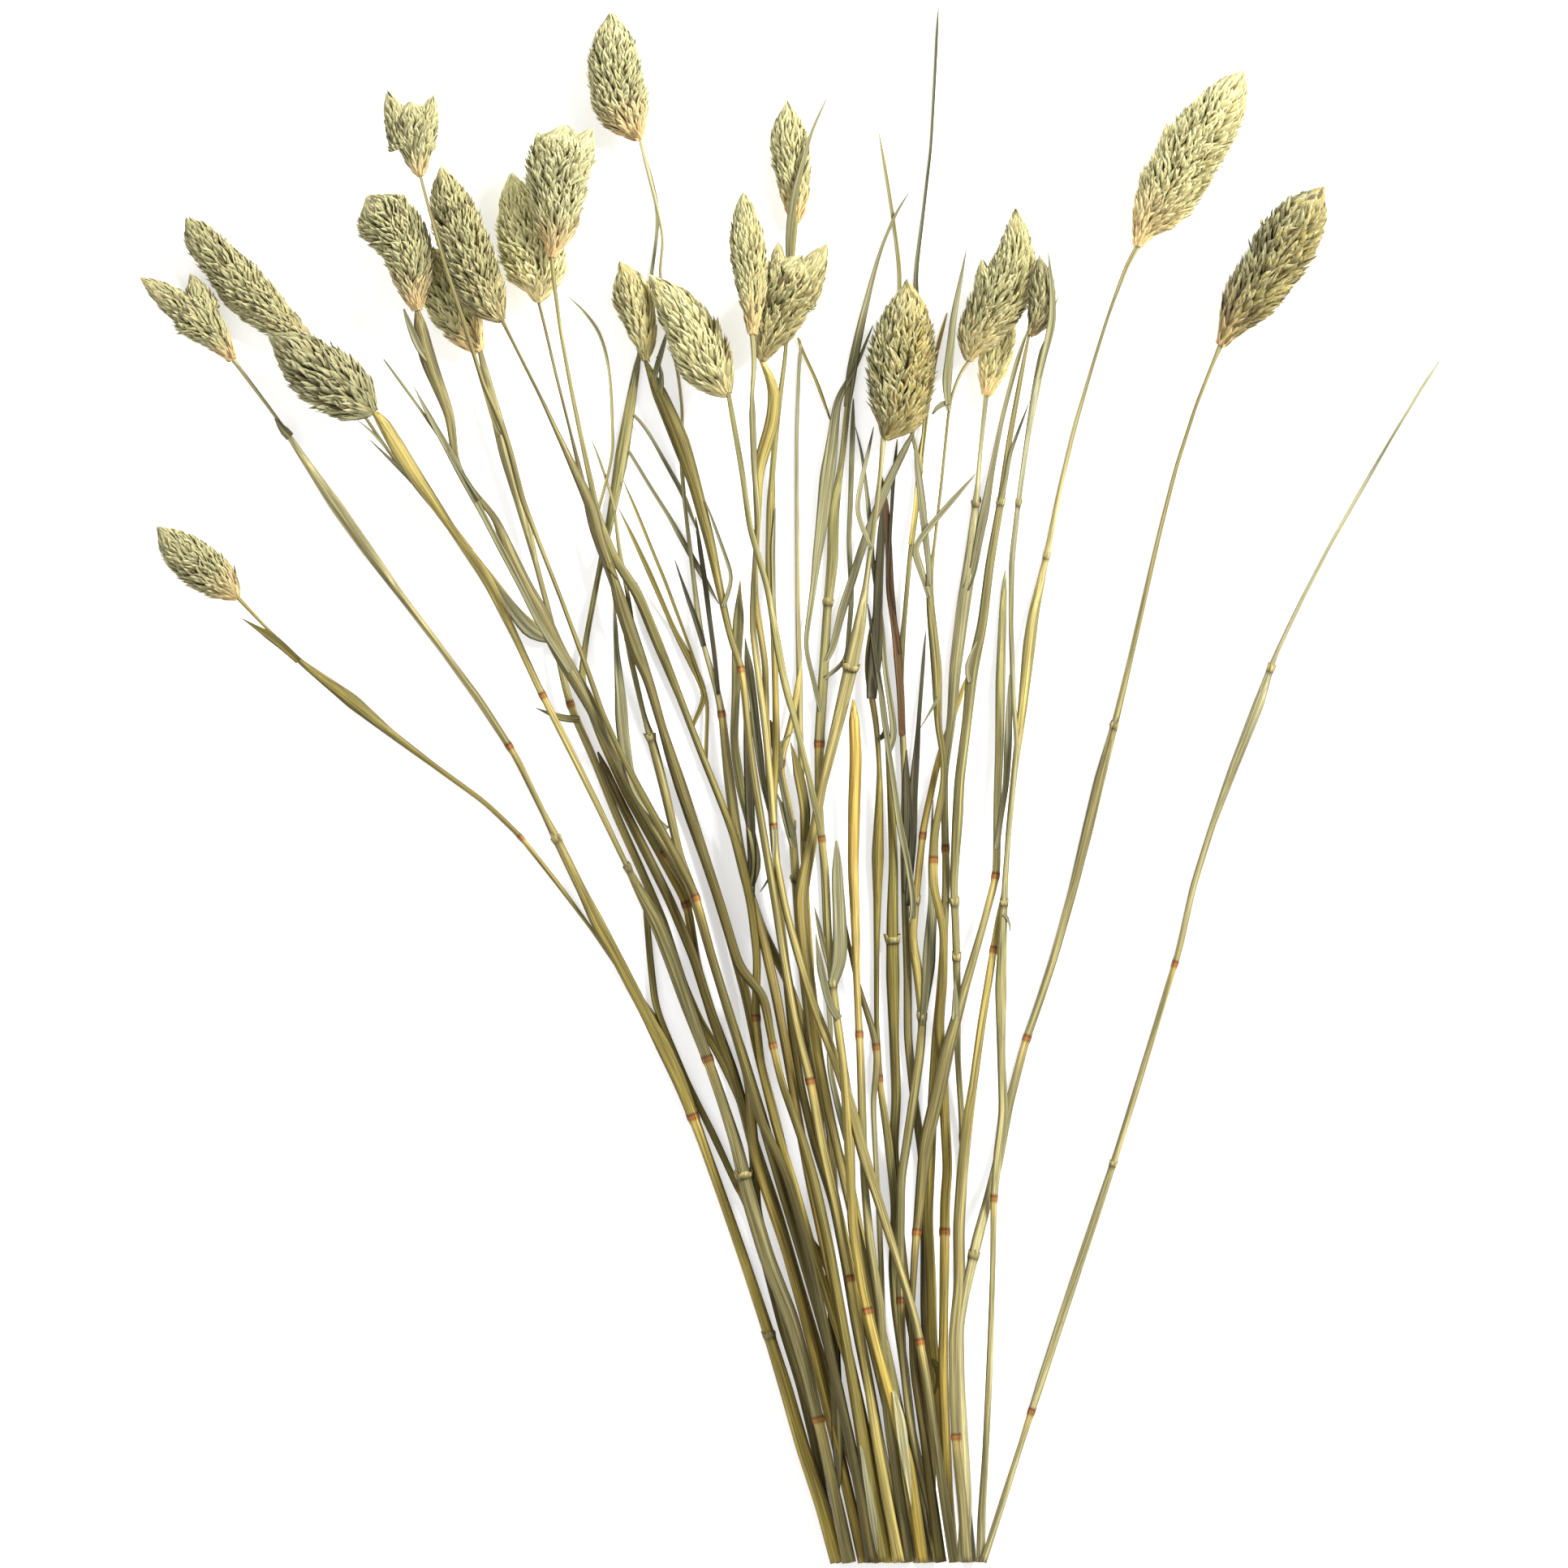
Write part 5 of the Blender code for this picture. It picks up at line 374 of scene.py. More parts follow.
             (53.9, 41.6, 2.3), (54.5, 52.6, 1.4)],
            None,
            [[(42.2, -58.1, 2), (42.6, -55.1, 2.1), (42.1, -51.2, 1.9), (42.1, -48.2, 1)],
             [(52.4, -16, 1.4), (53.6, -8, 1.2), (54.7, 0, 1.6), (55.3, 10, 2), (55.5, 20, 1.4),
              (55.6, 27, 0.8)]]),
    "n": ([(40.1, CUT_Y, 2.6), (38, -176.8, 2.5), (36, -161.9, 2.3), (34, -147, 2.2),
           (31.4, -132.2, 2.3), (26.9, -116.9, 2.2), (22.6, -102.6, 2.6), (19.5, -93, 3.2),
           (15.8, -78.5, 3.1), (12.8, -68.9, 2.9), (7.4, -54.9, 2.5), (3, -40.6, 2.3), (0.4, -31, 2.2),
           (-2.2, -17.3, 2.1), (-3.1, -2.3, 2.1), (-4.5, 12.7, 2), (-6.4, 27.6, 1.9), (-7.8, 38.5, 1.9),
           (-7.4, 49.6, 1.9), (-6.3, 64.6, 1.6), (-7.6, 79.6, 1.3), (-8.1, 93.6, 1.1),
           (-7.2, 104.6, 1.5), (-7.8, 110.6, 1.5)],
          [(-7.8, 112.1, 2.6), (-7.6, 119.9, 6.4), (-8.6, 127.8, 9), (-9.2, 135.6, 8.6),
           (-9.9, 143.4, 3.9), (-10, 144.4, 3.2)],
          [[(-2.6, -10.3, 1.2), (-2.2, -15.3, 1.1), (-2.9, -22.5, 1), (-5.9, -26.6, 1)]]),
    "l": ([(27.2, CUT_Y, 2.8), (24.4, -177, 2.8), (22, -162.2, 2.7), (19.9, -147.3, 2.4),
           (17.6, -132.5, 2.2), (15, -117.7, 2.3), (12.2, -102.9, 2.5), (8.9, -88.3, 2.7),
           (6.4, -73.5, 2.6), (2.7, -58.9, 2.2), (0.1, -44.1, 2.1), (-2.2, -29.3, 2.2),
           (-4.7, -14.5, 2.3), (-7.2, 0.4, 2.2), (-8.8, 12.3, 2.1), (-9.8, 23.4, 2.1),
           (-10.5, 28.6, 2.1), (-13.2, 36.2, 1.9), (-15.4, 46.1, 2.2), (-18.3, 59.8, 3.1),
           (-22.1, 74.3, 3.8), (-25.6, 84.8, 5.3), (-30.9, 96.8, 4.2), (-34.1, 104.1, 1.1)],
          [(-34.2, 107.5, 3.2), (-34.2, 109.8, 6.8), (-36.5, 117.3, 9.2), (-37.3, 120.2, 10.2),
           (-38.8, 125, 7.2), (-39.5, 126.8, 4.2)],
          [[(-30.6, 96.3, 1.6), (-29.7, 101, 1.4), (-31.5, 105.4, 0.8)],
           [(-15, 43.7, 1.2), (-12.5, 50.9, 1), (-17.7, 65.3, 0.8), (-19.5, 70, 0.8)],
           [(-32.2, 99.4, 1.4), (-28.6, 112.2, 1.6)]]),
    "m": ([(34.2, CUT_Y, 3), (32.1, -176.9, 3), (30.6, -167.1, 3), (26.6, -152.6, 2.8),
           (22.6, -138.1, 2.6), (19.6, -125.4, 2.7), (17.2, -110.6, 2.7), (16.3, -95.6, 2.6),
           (15.3, -80.6, 2.4), (14.5, -67.6, 2.3), (12.3, -52.8, 2.3), (11, -37.9, 2),
           (10.4, -22.9, 1.9), (9.2, -12, 2.1), (5.9, 2.7, 1.7), (2.3, 17.3, 1.9), (0.3, 24, 2.2),
           (-1.7, 34.8, 2.3), (-4.1, 48.6, 1.7), (-8.4, 63, 1.8), (-10.3, 76.9, 1.6),
           (-12.9, 91.7, 1.5), (-13.6, 95.7, 1.3)],
          [(-14.6, 97, 3.3), (-16.4, 99.3, 10.3), (-20.1, 105.1, 14.4), (-23.1, 112.5, 12.6),
           (-27.7, 119, 9.1), (-31.5, 123.6, 4)],
          [[(11.9, -49.6, 2.2), (14, -43, 3.8), (13.4, -28, 3.1), (12.9, -14, 2.2)],
           [(13.6, -57.9, 2), (11.4, -55.5, 1.8), (9.3, -46.8, 1.9), (7.8, -37, 1.2)]]),
    "j": ([(17.8, CUT_Y, 3.4), (14.3, -176.2, 3.1), (10.8, -160.6, 2.8), (6.9, -145.1, 3.2),
           (2.9, -131.7, 3.9), (-3.3, -117, 4.3), (-7.8, -102.6, 4.3), (-11.2, -89, 3.5),
           (-14.7, -78.6, 3), (-18.1, -69.1, 3), (-23.7, -54.5, 4), (-28.7, -40.3, 4.6),
           (-31.3, -33.8, 4.5), (-35.8, -26, 2.9), (-39, -19.7, 1.6), (-45.9, -5.3, 1.8), (-53, 9, 2),
           (-60.2, 23.3, 2), (-66.5, 36.9, 2.2), (-73, 50.4, 3.4), (-81.7, 62.7, 2.4),
           (-90.8, 75.9, 4.2), (-95.6, 83.5, 4.4), (-99, 89.6, 3.6), (-100.9, 91.5, 1.6)],
          [(-102.4, 92.6, 5.1), (-104.3, 94, 12), (-109.9, 98, 15.3), (-115.6, 102.1, 15.3),
           (-120.8, 106.9, 11.4), (-125.1, 109.7, 4.7)],
          []),
    "v": ([(42.3, CUT_Y, 3.2), (43.3, -176.8, 2.9), (42.8, -161.8, 2.5), (42.2, -146.8, 2.3),
           (42.2, -133.8, 2.2), (43.6, -125.9, 2.4), (46.8, -112.3, 3), (49.5, -102.7, 2.6),
           (52, -94, 2.9), (55, -79.3, 2.6), (59.2, -63.9, 2.3), (63.3, -52.6, 2.3), (66.7, -42.2, 2.4),
           (71, -26.9, 2.6), (74.8, -11.4, 3.2), (77.8, 1.3, 3.2), (81.8, 15.7, 2), (85.5, 31.3, 1.6),
           (89.1, 46.9, 1.5), (92.7, 62.5, 1.3), (96.6, 77.9, 1.2), (101.5, 93.2, 1.1),
           (106.7, 106.1, 1.2), (107.5, 107.9, 1.5)],
          [(108.2, 109.2, 2.4), (111.5, 115.4, 9.1), (114.5, 119.5, 13.5), (118.9, 124.9, 13.9),
           (122.9, 131.8, 15.5), (125.4, 136.1, 15), (129.4, 142, 10.8), (131.7, 145.3, 5.3)],
          [[(81.3, 14, 1), (82.5, 16.6, 1)]]),
    "u": ([(45.4, CUT_Y, 2.7), (44.2, -176.8, 2.5), (43, -165.9, 2.4), (42.1, -150.8, 2.5),
           (41.9, -135.8, 2.6), (43.2, -123.8, 2.6), (43, -108.8, 2.8), (44.1, -94.8, 3.1),
           (45.2, -83.9, 3.1), (46.7, -74, 2.4), (48.7, -59.1, 2.4), (51.1, -44.3, 2.3),
           (52.8, -33.4, 1.8), (54.4, -26.6, 1.6), (55.3, -11.6, 1.6), (56.8, 3.4, 1.9),
           (58.7, 18.2, 2.7), (60.4, 34.1, 3.7), (61.5, 42.1, 3.2), (64.8, 56.7, 1.7),
           (67.7, 71.4, 1.4), (71.4, 87, 1.3), (75.5, 101.4, 1.1), (80, 115.8, 1), (84.5, 127.9, 1.4),
           (87.1, 132.3, 1.6)],
          [(87.7, 134.3, 2.9), (88.4, 137, 6.3), (90.9, 140.2, 11.3), (94.5, 145, 15.1),
           (97.7, 151.2, 15.7), (101.3, 157.3, 15.6), (105.4, 163, 14.6), (109.3, 168.9, 11.1),
           (112.3, 174.1, 5.3)],
          []),
    "w11": ([(48.5, CUT_Y, 2.2), (48.6, -181.8, 2.1), (49.6, -165.9, 1.7), (50.4, -149.9, 1.8),
             (51, -133.9, 1.6), (51.5, -117.9, 1.5), (51.7, -101.9, 1.9), (52.8, -91, 2.7),
             (54.1, -81.1, 2.7), (53.5, -66.1, 2.4), (53.4, -50.1, 3.4), (54, -34.1, 2.3),
             (54.8, -18.2, 1.5), (56.3, -3.2, 1.4), (57.4, 8.8, 1.4), (56.4, 23.8, 1.4),
             (55.9, 39.8, 1.5), (56.1, 54.8, 1.8), (57.8, 69.7, 1.5), (59.9, 84.6, 1.6),
             (61.9, 96.4, 2.4), (63.8, 106.2, 2.7), (65.7, 111.9, 1.8)],
            None,
            [[(54.1, -32, 1.3), (55.5, -31.8, 1.2), (55.8, -36.4, 1)],
             [(62.6, 100.2, 1.3), (64.5, 107, 1.8), (66.1, 113.8, 2.1), (66.2, 121.9, 1.3),
              (65.1, 131, 1)]]),
    "w12": ([(48.8, CUT_Y, 1.7), (53.8, -176.3, 1.8), (58.4, -162, 1.5), (63, -147.7, 2.2),
             (67.7, -133.4, 2.3), (72.4, -119.2, 2.3), (77.2, -105, 2.2), (82, -90.7, 1.8),
             (86.5, -76.4, 1.9), (90.9, -62.1, 1.8), (95.3, -47.7, 1.8), (97.4, -41, 1.9),
             (100.8, -25.4, 1.9), (105.6, -10.1, 1.9), (111.1, 4.8, 2.8), (117, 19.7, 3.2),
             (119.5, 27.3, 2), (121.2, 32, 1.3), (127.7, 45.6, 1.2), (134.6, 58.9, 1.1),
             (142.5, 72.8, 1.2), (150, 85.8, 0.9), (157.8, 98.6, 0.9), (161.7, 104.5, 0.9)],
            None,
            []),
}
print("plants:", len(PLANTS), "heads:", sum(1 for plant in PLANTS.values() if plant[1]))

# %% [markdown]
# ## Torn scraps
# Near the foot the oldest sheaths have split lengthwise and stand off as dry papery strips. They could
# be painted on the straws, but a strip casts a shadow and breaks the straw's smooth edge. They are too
# thin for the CAD model, so they are laid here as further small leaves on their straw. Each is a row
# of points (x, y, width) too.

# %% Strips of torn sheath
SCRAPS = {
    "m": [[(27, -149.5, 0.8), (28.2, -155, 2.4), (29, -160, 2.9), (30.2, -168, 2), (31.5, -178.7, 0.8)]],
    "d": [[(18.8, -163, 0.6), (20.2, -171, 1.6), (21.8, -181, 2.2), (23, -190.5, 1.4)]],
    "s": [[(36.4, -141.8, 0.8), (38.4, -143.2, 2.2), (39, -145.8, 2.4), (37.6, -148.2, 1.6),
           (36.9, -150.2, 0.6)]],
    "g": [[(10.8, -121, 1.4), (12, -128, 2.6), (12.6, -145, 3.2), (13.2, -160, 3), (13.6, -174, 1.6)]],
}
print("strips:", sum(map(len, SCRAPS.values())))

# %% [markdown]
# ## How high each straw lies
# In the bunch the straws rest on one another, and their loose feet have rolled into the hollows
# between their neighbours. The CAD model has worked that out, so it is measured there: rays sent up
# and down round each point of a route meet the CAD surface, and the place of the cut foot shows how
# far it rolled. Piling the straws up a second time here would be slow and could come out differently.

# %% Routes settled in the frame
from mathutils.bvhtree import BVHTree

VIEW_SHIFT = np.array([2.8, -0.34])     # from the middle of the view to the middle of the part
ROLL_FROM = -50.0       # above this line no straw has rolled
FOOT_REACH = 1.5        # mm above the cut in which the foot's middle is measured
RAY_SPREAD = 0.25       # the rays of a bundle lie this share of the width apart
FAR = 100.0             # mm below and above the table at which the rays start
ROUND_TO = 2.4          # mm of width up to which a culm is round
FLATTEN = 0.3           # mm of depth gained for each further millimetre of width
UNDERSIDE = np.cos(np.pi / 6)           # the CAD culm has six sides, one of them turned down
BLADE_HALF = 0.35       # mm, half the thickness of a CAD blade
NECK_GAP = 0.3          # mm from the end of a culm to the base of its head
NECK = 1.5              # width of a head's base against the end of its culm
BUNDLE = np.array([(i, j) for i in (-1, 0, 1) for j in (-1, 0, 1)]) * RAY_SPREAD


def half_depth(width):
    """Half the thickness of a culm: round while it is slender, flatter where a sheath wraps it."""
    return np.where(width < ROUND_TO, width, ROUND_TO + FLATTEN * (width - ROUND_TO)) / 2


def surface_of(node):
    """Corners of a CAD node's triangles in millimetres, and a search tree over the triangles."""
    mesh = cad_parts[node].data
    corners = np.zeros(len(mesh.vertices) * 3)
    mesh.vertices.foreach_get("co", corners)
    corners = corners.reshape(-1, 3) / MM
    faces = np.zeros(len(mesh.loops), dtype=np.int32)
    mesh.loops.foreach_get("vertex_index", faces)
    return corners, BVHTree.FromPolygons(corners.tolist(), faces.reshape(-1, 3).tolist())


def met(tree, points, way):
    """Heights where the first of nine rays straight up (way 1) or down (-1) meets the surface."""
    spots = (points[:, None, :2] + BUNDLE * points[:, None, 2:]).reshape(-1, 2)
    hits = [tree.ray_cast((x, y, -FAR * way), (0, 0, way))[0] for x, y in spots]
    heights = np.array([np.inf if hit is None else hit.z * way for hit in hits])
    return heights.reshape(len(points), -1).min(axis=1) * way


def raised(points, heights):
    """Points (x, y, z, width). A missing height lies on the line between its neighbours."""
    found = np.isfinite(heights)
    at = np.concatenate([[0], np.cumsum(np.hypot(*np.diff(points[:, :2], axis=0).T))])
    heights = np.interp(at, at[found], heights[found])
    return np.column_stack([points[:, :2], heights, points[:, 2]])


def seated(culm, head):
    """A head's route that starts on the end of its culm."""
    way = head[0, :2] - culm[-1, :2]
    base = culm[-1, :2] + way / np.linalg.norm(way) * NECK_GAP
    return np.vstack([[*base, culm[-1, 2] * NECK], head])


def settled(name, culm, head, leaves):
    """Culm, head and leaves of a plant as the CAD model has them, with their heights."""
    corners, tree = surface_of("stem_" + name)
    faded = np.clip((ROLL_FROM - np.array(culm)[:, 1]) / (ROLL_FROM - CUT_Y), 0, 1)
    culm, *leaves = (np.array(points) - [*VIEW_SHIFT, 0] for points in [culm, *leaves])
    foot = corners[corners[:, 1] < corners[:, 1].min() + FOOT_REACH, 0]
    culm[:, 0] += ((foot.min() + foot.max()) / 2 - culm[0, 0]) * faded
    if head:
        head = seated(culm, np.array(head) - [*VIEW_SHIFT, 0])
        tree_of_head = surface_of("head_" + name)[1]
        low, high = (raised(head, met(tree_of_head, head, way)) for way in (1, -1))
        head = (low + high) / 2
    culm = raised(culm, met(tree, culm, 1) + half_depth(culm[:, 2]) * UNDERSIDE)
    leaves = [raised(leaf, met(tree, leaf, -1) - BLADE_HALF) for leaf in leaves]
    for strip in SCRAPS.get(name, []):
        strip = np.array(strip) - [*VIEW_SHIFT, 0]
        leaves.append(raised(strip, met(tree, strip, -1) + BLADE_HALF))
    return culm, head, leaves


ROUTES = {name: settled(name, *plant) for name, plant in PLANTS.items()}
highest = max(culm[:, 2].max() for culm, head, leaves in ROUTES.values())
print("routes settled; the highest straw lies", round(highest, 1), "mm above the table")

# %% [markdown]
# ## Joints and torn sheaths
# A grass culm is jointed: at each node a short swollen ring dries to orange-brown, and the straw
# just below it stays pale yellow. A sheath that has split or torn ends in a rough pale rim.
# Both are marked by the place on the table where the straw shows them, in millimetres.

# %% Places of the joints and of the sheath rims
JOINTS = {
    "k": [(-64.6, -13.2), (-11.5, -99.5)], "i": [(-67.4, 9.4), (-22.4, -82)],
    "j": [(-59.4, 21.8), (-16.7, -66.9), (9.8, -156.4)], "e": [(-53, 19.4)], "b": [(-21.3, -27.6)],
    "h": [(-23.3, -29.7)], "w0": [(-29.8, -17.6)], "f": [(-6.8, -57.6)], "d": [(-2.9, -64.6)],
    "l": [(-8.3, 28.6), (6.8, -73.4), (16, -121.6)], "n": [(-3, -10.3), (32.4, -137.6)],
    "m": [(9.8, -13.6), (20.9, -130)], "a": [(-8.2, 18.5)], "w15": [(0, 5.3)], "w7": [(6.8, 9.8)],
    "w9": [(19, -61.6)], "w5": [(21.9, -65)], "w4": [(23.5, -72.4)],
    "w8": [(33.8, -12.8), (28.1, -127.6)], "r": [(38.1, -18.7), (40.4, -110.4)], "s": [(39.5, -16)],
    "t": [(44, -87)], "w10": [(52.5, -22.5), (31, -110.4)], "u": [(51.6, -40.7), (43.4, -160.8)],
    "v": [(59.6, -62.6)], "w11": [(51.7, -102.2)], "w12": [(60.6, -154.5), (96.4, -44.4)],
}
RIMS = {
    "i": [(-56, -14), (-2, -136)], "j": [(-38, -21), (-10, -97)], "w1": [(-33, 11), (-41.3, 35)],
    "w7": [(10.9, 44.4)], "q": [(16, 28.6)], "m": [(11.5, -49.8)], "w15": [(2.5, -11), (2.4, -24)],
    "t": [(53.8, 69), (42.2, -29.6), (44, -43)], "s": [(47.3, 68.4)], "w11": [(58.2, 69), (53.5, -30)],
    "u": [(64.2, 56)], "v": [(81.2, 14), (45.8, -116.8)], "w8": [(32.6, -58), (31, -29)],
    "w12": [(120, 28), (81, -94)], "w3": [(26.5, -39)],
}
print("joints:", sum(map(len, JOINTS.values())), "sheath rims:", sum(map(len, RIMS.values())))

# %% [markdown]
# ## A straw's centre line
# A route has a point every centimetre or so, joined by straight legs, and a dry straw bends
# smoothly. A spline through the points would overshoot at a kink, so the line is sampled finely
# and its neighbours are averaged with a bell-shaped weight, which rounds the corners and keeps
# the ends where they are.

# %% Smooth centre lines
SAMPLE = 0.5        # mm between samples of a route
BEND = 2.2          # mm over which corners are rounded
TAPER = 1.0         # mm over which changes of width are rounded
BELL_REACHES = 3    # the bell is cut off at this many times its reach
LEAST_SAMPLES = 4   # on the shortest route


def blur(values, reach):
    """Weighted mean of neighbouring samples, weight = e^(-distance^2 / 2 reach^2), ends mirrored."""
    count = int(BELL_REACHES * reach / SAMPLE)
    weight = np.exp(-0.5 * (np.arange(-count, count + 1) * SAMPLE / reach) ** 2)
    weight /= weight.sum()
    mirror = np.clip(np.arange(count, 0, -1), 0, len(values) - 1)
    padded = np.concatenate([2 * values[0] - values[mirror], values,
                             2 * values[-1] - values[::-1][mirror[::-1]]])
    return np.stack([np.convolve(column, weight, "valid") for column in padded.T], axis=1)


def centre_line(points):
    """Distance along, places (x, y, z) and widths of a smooth line through a route's points."""
    points = np.array(points, dtype=float)
    leg = np.linalg.norm(np.diff(points[:, :3], axis=0), axis=1)
    at = np.concatenate([[0.0], np.cumsum(leg)])
    fine = np.linspace(0, at[-1], max(LEAST_SAMPLES, int(at[-1] / SAMPLE) + 1))
    line = np.stack([np.interp(fine, at, column) for column in points.T], axis=1)
    return fine, blur(line[:, :3], BEND), np.abs(blur(line[:, 3:], TAPER)[:, 0])


def on_line(line, at):
    """Places, widths and the frame (along, across, up) of a centre line at the distances asked for."""
    fine, place, width = line
    spots = np.stack([np.interp(at, fine, place[:, k]) for k in range(3)], axis=1)
    slope = np.gradient(place, fine, axis=0)
    along = np.stack([np.interp(at, fine, slope[:, k]) for k in range(3)], axis=1)
    along /= np.linalg.norm(along, axis=1, keepdims=True)
    across = np.stack([along[:, 1], -along[:, 0], np.zeros(len(at))], axis=1)
    across /= np.linalg.norm(across, axis=1, keepdims=True)
    return spots, np.interp(at, fine, width), along, across, np.cross(across, along)


# %% [markdown]
# ## From rings to a closed skin
# Every straw, leaf and husk is a row of rings with the same number of points. Neighbouring rings are
# joined by four-sided faces, and each end is closed by a fan round one middle point. The corner
# numbers follow one pattern, so they are worked out as whole arrays. A bevelled curve would be
# quicker to set up, but it can't flatten into a sheath or curl its edges.

# %% Skins over rings
ON_TABLE = 0.02     # mm; nothing reaches lower than the table


class Skin:
    """Points, faces and colours of one piece, gathered from several closed surfaces."""

    def __init__(self):
        self.points, self.quads, self.fans = [], [], []
        self.tints, self.grains = [], []
        self.count = 0

    def add(self, rings, tint, grain):
        """Rings (n, m, 3) become a closed surface: quads between rings, a fan on each end.
        Corner j of ring k has number k m + j; the two end points come last."""
        n, m = rings.shape[:2]
        k, j = np.meshgrid(np.arange(n - 1), np.arange(m), indexing="ij")
        after = (j + 1) % m
        quads = np.stack([k * m + j, (k + 1) * m + j, (k + 1) * m + after, k * m + after], axis=-1)
        rim = np.arange(m)
        turn = (rim + 1) % m
        first = np.stack([rim, turn, np.full(m, n * m)], axis=-1)
        last = np.stack([(n - 1) * m + turn, (n - 1) * m + rim, np.full(m, n * m + 1)], axis=-1)
        self.quads.append(quads.reshape(-1, 4) + self.count)
        self.fans.append(np.concatenate([first, last]) + self.count)
        for store, values in ((self.points, rings), (self.tints, tint), (self.grains, grain)):
            store.append(values.reshape(-1, 3))
            store.append(np.stack([values[0].mean(axis=0), values[-1].mean(axis=0)]))
        self.count += n * m + 2

    def mesh(self, name):
        """Mesh in metres with the colour attribute 'tint' and the fibre attribute 'grain'."""
        quads, fans = np.concatenate(self.quads), np.concatenate(self.fans)
        mesh = bpy.data.meshes.new(name)
        mesh.vertices.add(self.count)
        points = np.concatenate(self.points)
        points[:, 2] = np.maximum(points[:, 2], ON_TABLE)
        mesh.vertices.foreach_set("co", (points * MM).ravel())
        mesh.loops.add(quads.size + fans.size)
        mesh.loops.foreach_set("vertex_index", np.concatenate([quads.ravel(), fans.ravel()]))
        mesh.polygons.add(len(quads) + len(fans))
        sizes = np.concatenate([np.full(len(quads), 4), np.full(len(fans), 3)])
        mesh.polygons.foreach_set("loop_start", np.cumsum(sizes) - sizes)
        mesh.update(calc_edges=True)
        colour = np.ones((self.count, 4))
        colour[:, :3] = np.concatenate(self.tints)
        mesh.attributes.new("tint", "FLOAT_COLOR", "POINT").data.foreach_set("color", colour.ravel())
        fibre = np.concatenate(self.grains)
        mesh.attributes.new("grain", "FLOAT_VECTOR", "POINT").data.foreach_set("vector", fibre.ravel())
        mesh.validate()
        return mesh


# %% [markdown]
# ## Handing a piece to the frame
# A finished piece sits at the origin with its place in its mesh, rides on the body of the bunch and
# hides the CAD node that it replaces.

# %% Placing a piece


def place_piece(skin, name, node, finish, smooth):
    """Make the object of a skin, let it take the place of its CAD node and count its triangles."""
    mesh = skin.mesh(name)
    mesh.polygons.foreach_set("use_smooth", np.full(len(mesh.polygons), smooth))
    mesh.materials.append(finish)
    piece = bpy.data.objects.new(name, mesh)
    bpy.context.scene.collection.objects.link(piece)
    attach(piece, "root")
    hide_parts(node)
    return sum(len(face.vertices) - 2 for face in mesh.polygons)

# %% [markdown]
# ## The dry straw finish
# Dried straw is a bundle of fibres: fine light and dark streaks run along it, broader bands are
# greener or greyer, and small brown specks dot it. The fibre attribute holds a point on the straw's
# own round section and the distance along it, so noise that is stretched along the third axis gives
# streaks that follow every bend and have no seam. A photograph would look flat from close by and
# could not follow the bends.

# %% Helpers for node trees, and both finishes
# Noise: cycles a millimetre across, through and along the straw or husk
FINE_STREAKS = (4.5, 4.5, 0.05)
BROAD_BANDS = (1.3, 1.3, 0.02)
WEATHERING = (0.12, 0.12, 0.035)
SPECKS = (2.4, 2.4, 0.7)
HUSK_VEINS = (3.4, 0.0, 0.12)
HUSK_MOTTLE = (0.9, 0.9, 0.5)
NOISE_ROUGHNESS = 0.6
# What the noise does: its range from and to, and the light, share or roughness that this gives
FINE_LIGHT = (0.34, 0.66, 0.45, 1.45)
BAND_LIGHT = (0.36, 0.64, 0.58, 1.36)
WEATHER_SHARE = (0.5, 0.72, 0.0, 0.35)
SPECK_SHARE = (0.7, 0.76, 0.0, 0.6)
STRAW_ROUGHNESS = (0.3, 0.7, 0.68, 0.5)
VEIN_LIGHT = (0.35, 0.65, 0.8, 1.14)
MOTTLE_LIGHT = (0.3, 0.7, 0.82, 1.15)
VEIN_SHARE = (0.36, 0.46, 0.35, 0.0)
HUSK_ROUGHNESS = (0.3, 0.7, 0.75, 0.55)
WEATHERED = (0.16, 0.15, 0.055, 1.0)        # grey-green
SPECK_BROWN = (0.1, 0.05, 0.02, 1.0)
VEIN_GREEN = (0.16, 0.2, 0.07, 1.0)
FIBRE_RELIEF = (0.6, 0.00012)               # strength of the bump and its height in metres
VEIN_RELIEF = (0.4, 0.0001)
SHINE = 0.25                                # specular level of dry straw and chaff


def add_node(tree, kind, settings=(), **inputs):
    """Add a node; each input is a value or a socket to link from. Underscores stand for spaces."""
    item = tree.nodes.new(kind)
    for key, value in settings:
        setattr(item, key, value)
    for key, value in inputs.items():
        socket = item.inputs[int(key[1:]) if key[1:].isdigit() else key.replace("_", " ")]
        if isinstance(value, bpy.types.NodeSocket):
            tree.links.new(value, socket)
        else:
            socket.default_value = value
    return item.outputs


def stretched_noise(tree, vector, stretch, detail):
    """Noise on a vector multiplied by the stretch, in cycles a millimetre."""
    scaled = add_node(tree, "ShaderNodeVectorMath", [("operation", "MULTIPLY")], i0=vector, i1=stretch)
    return add_node(tree, "ShaderNodeTexNoise", Vector=scaled[0], Scale=1.0, Detail=detail,
                    Roughness=NOISE_ROUGHNESS)["Fac"]


def spread(tree, value, low, high, to_low, to_high):
    """Value taken from the range low to high on to the range to_low to to_high, and held there."""
    return add_node(tree, "ShaderNodeMapRange", i0=value, i1=low, i2=high, i3=to_low, i4=to_high)[0]


def multiply(tree, first, second):
    """First value x second value."""
    return add_node(tree, "ShaderNodeMath", [("operation", "MULTIPLY")], i0=first, i1=second)[0]


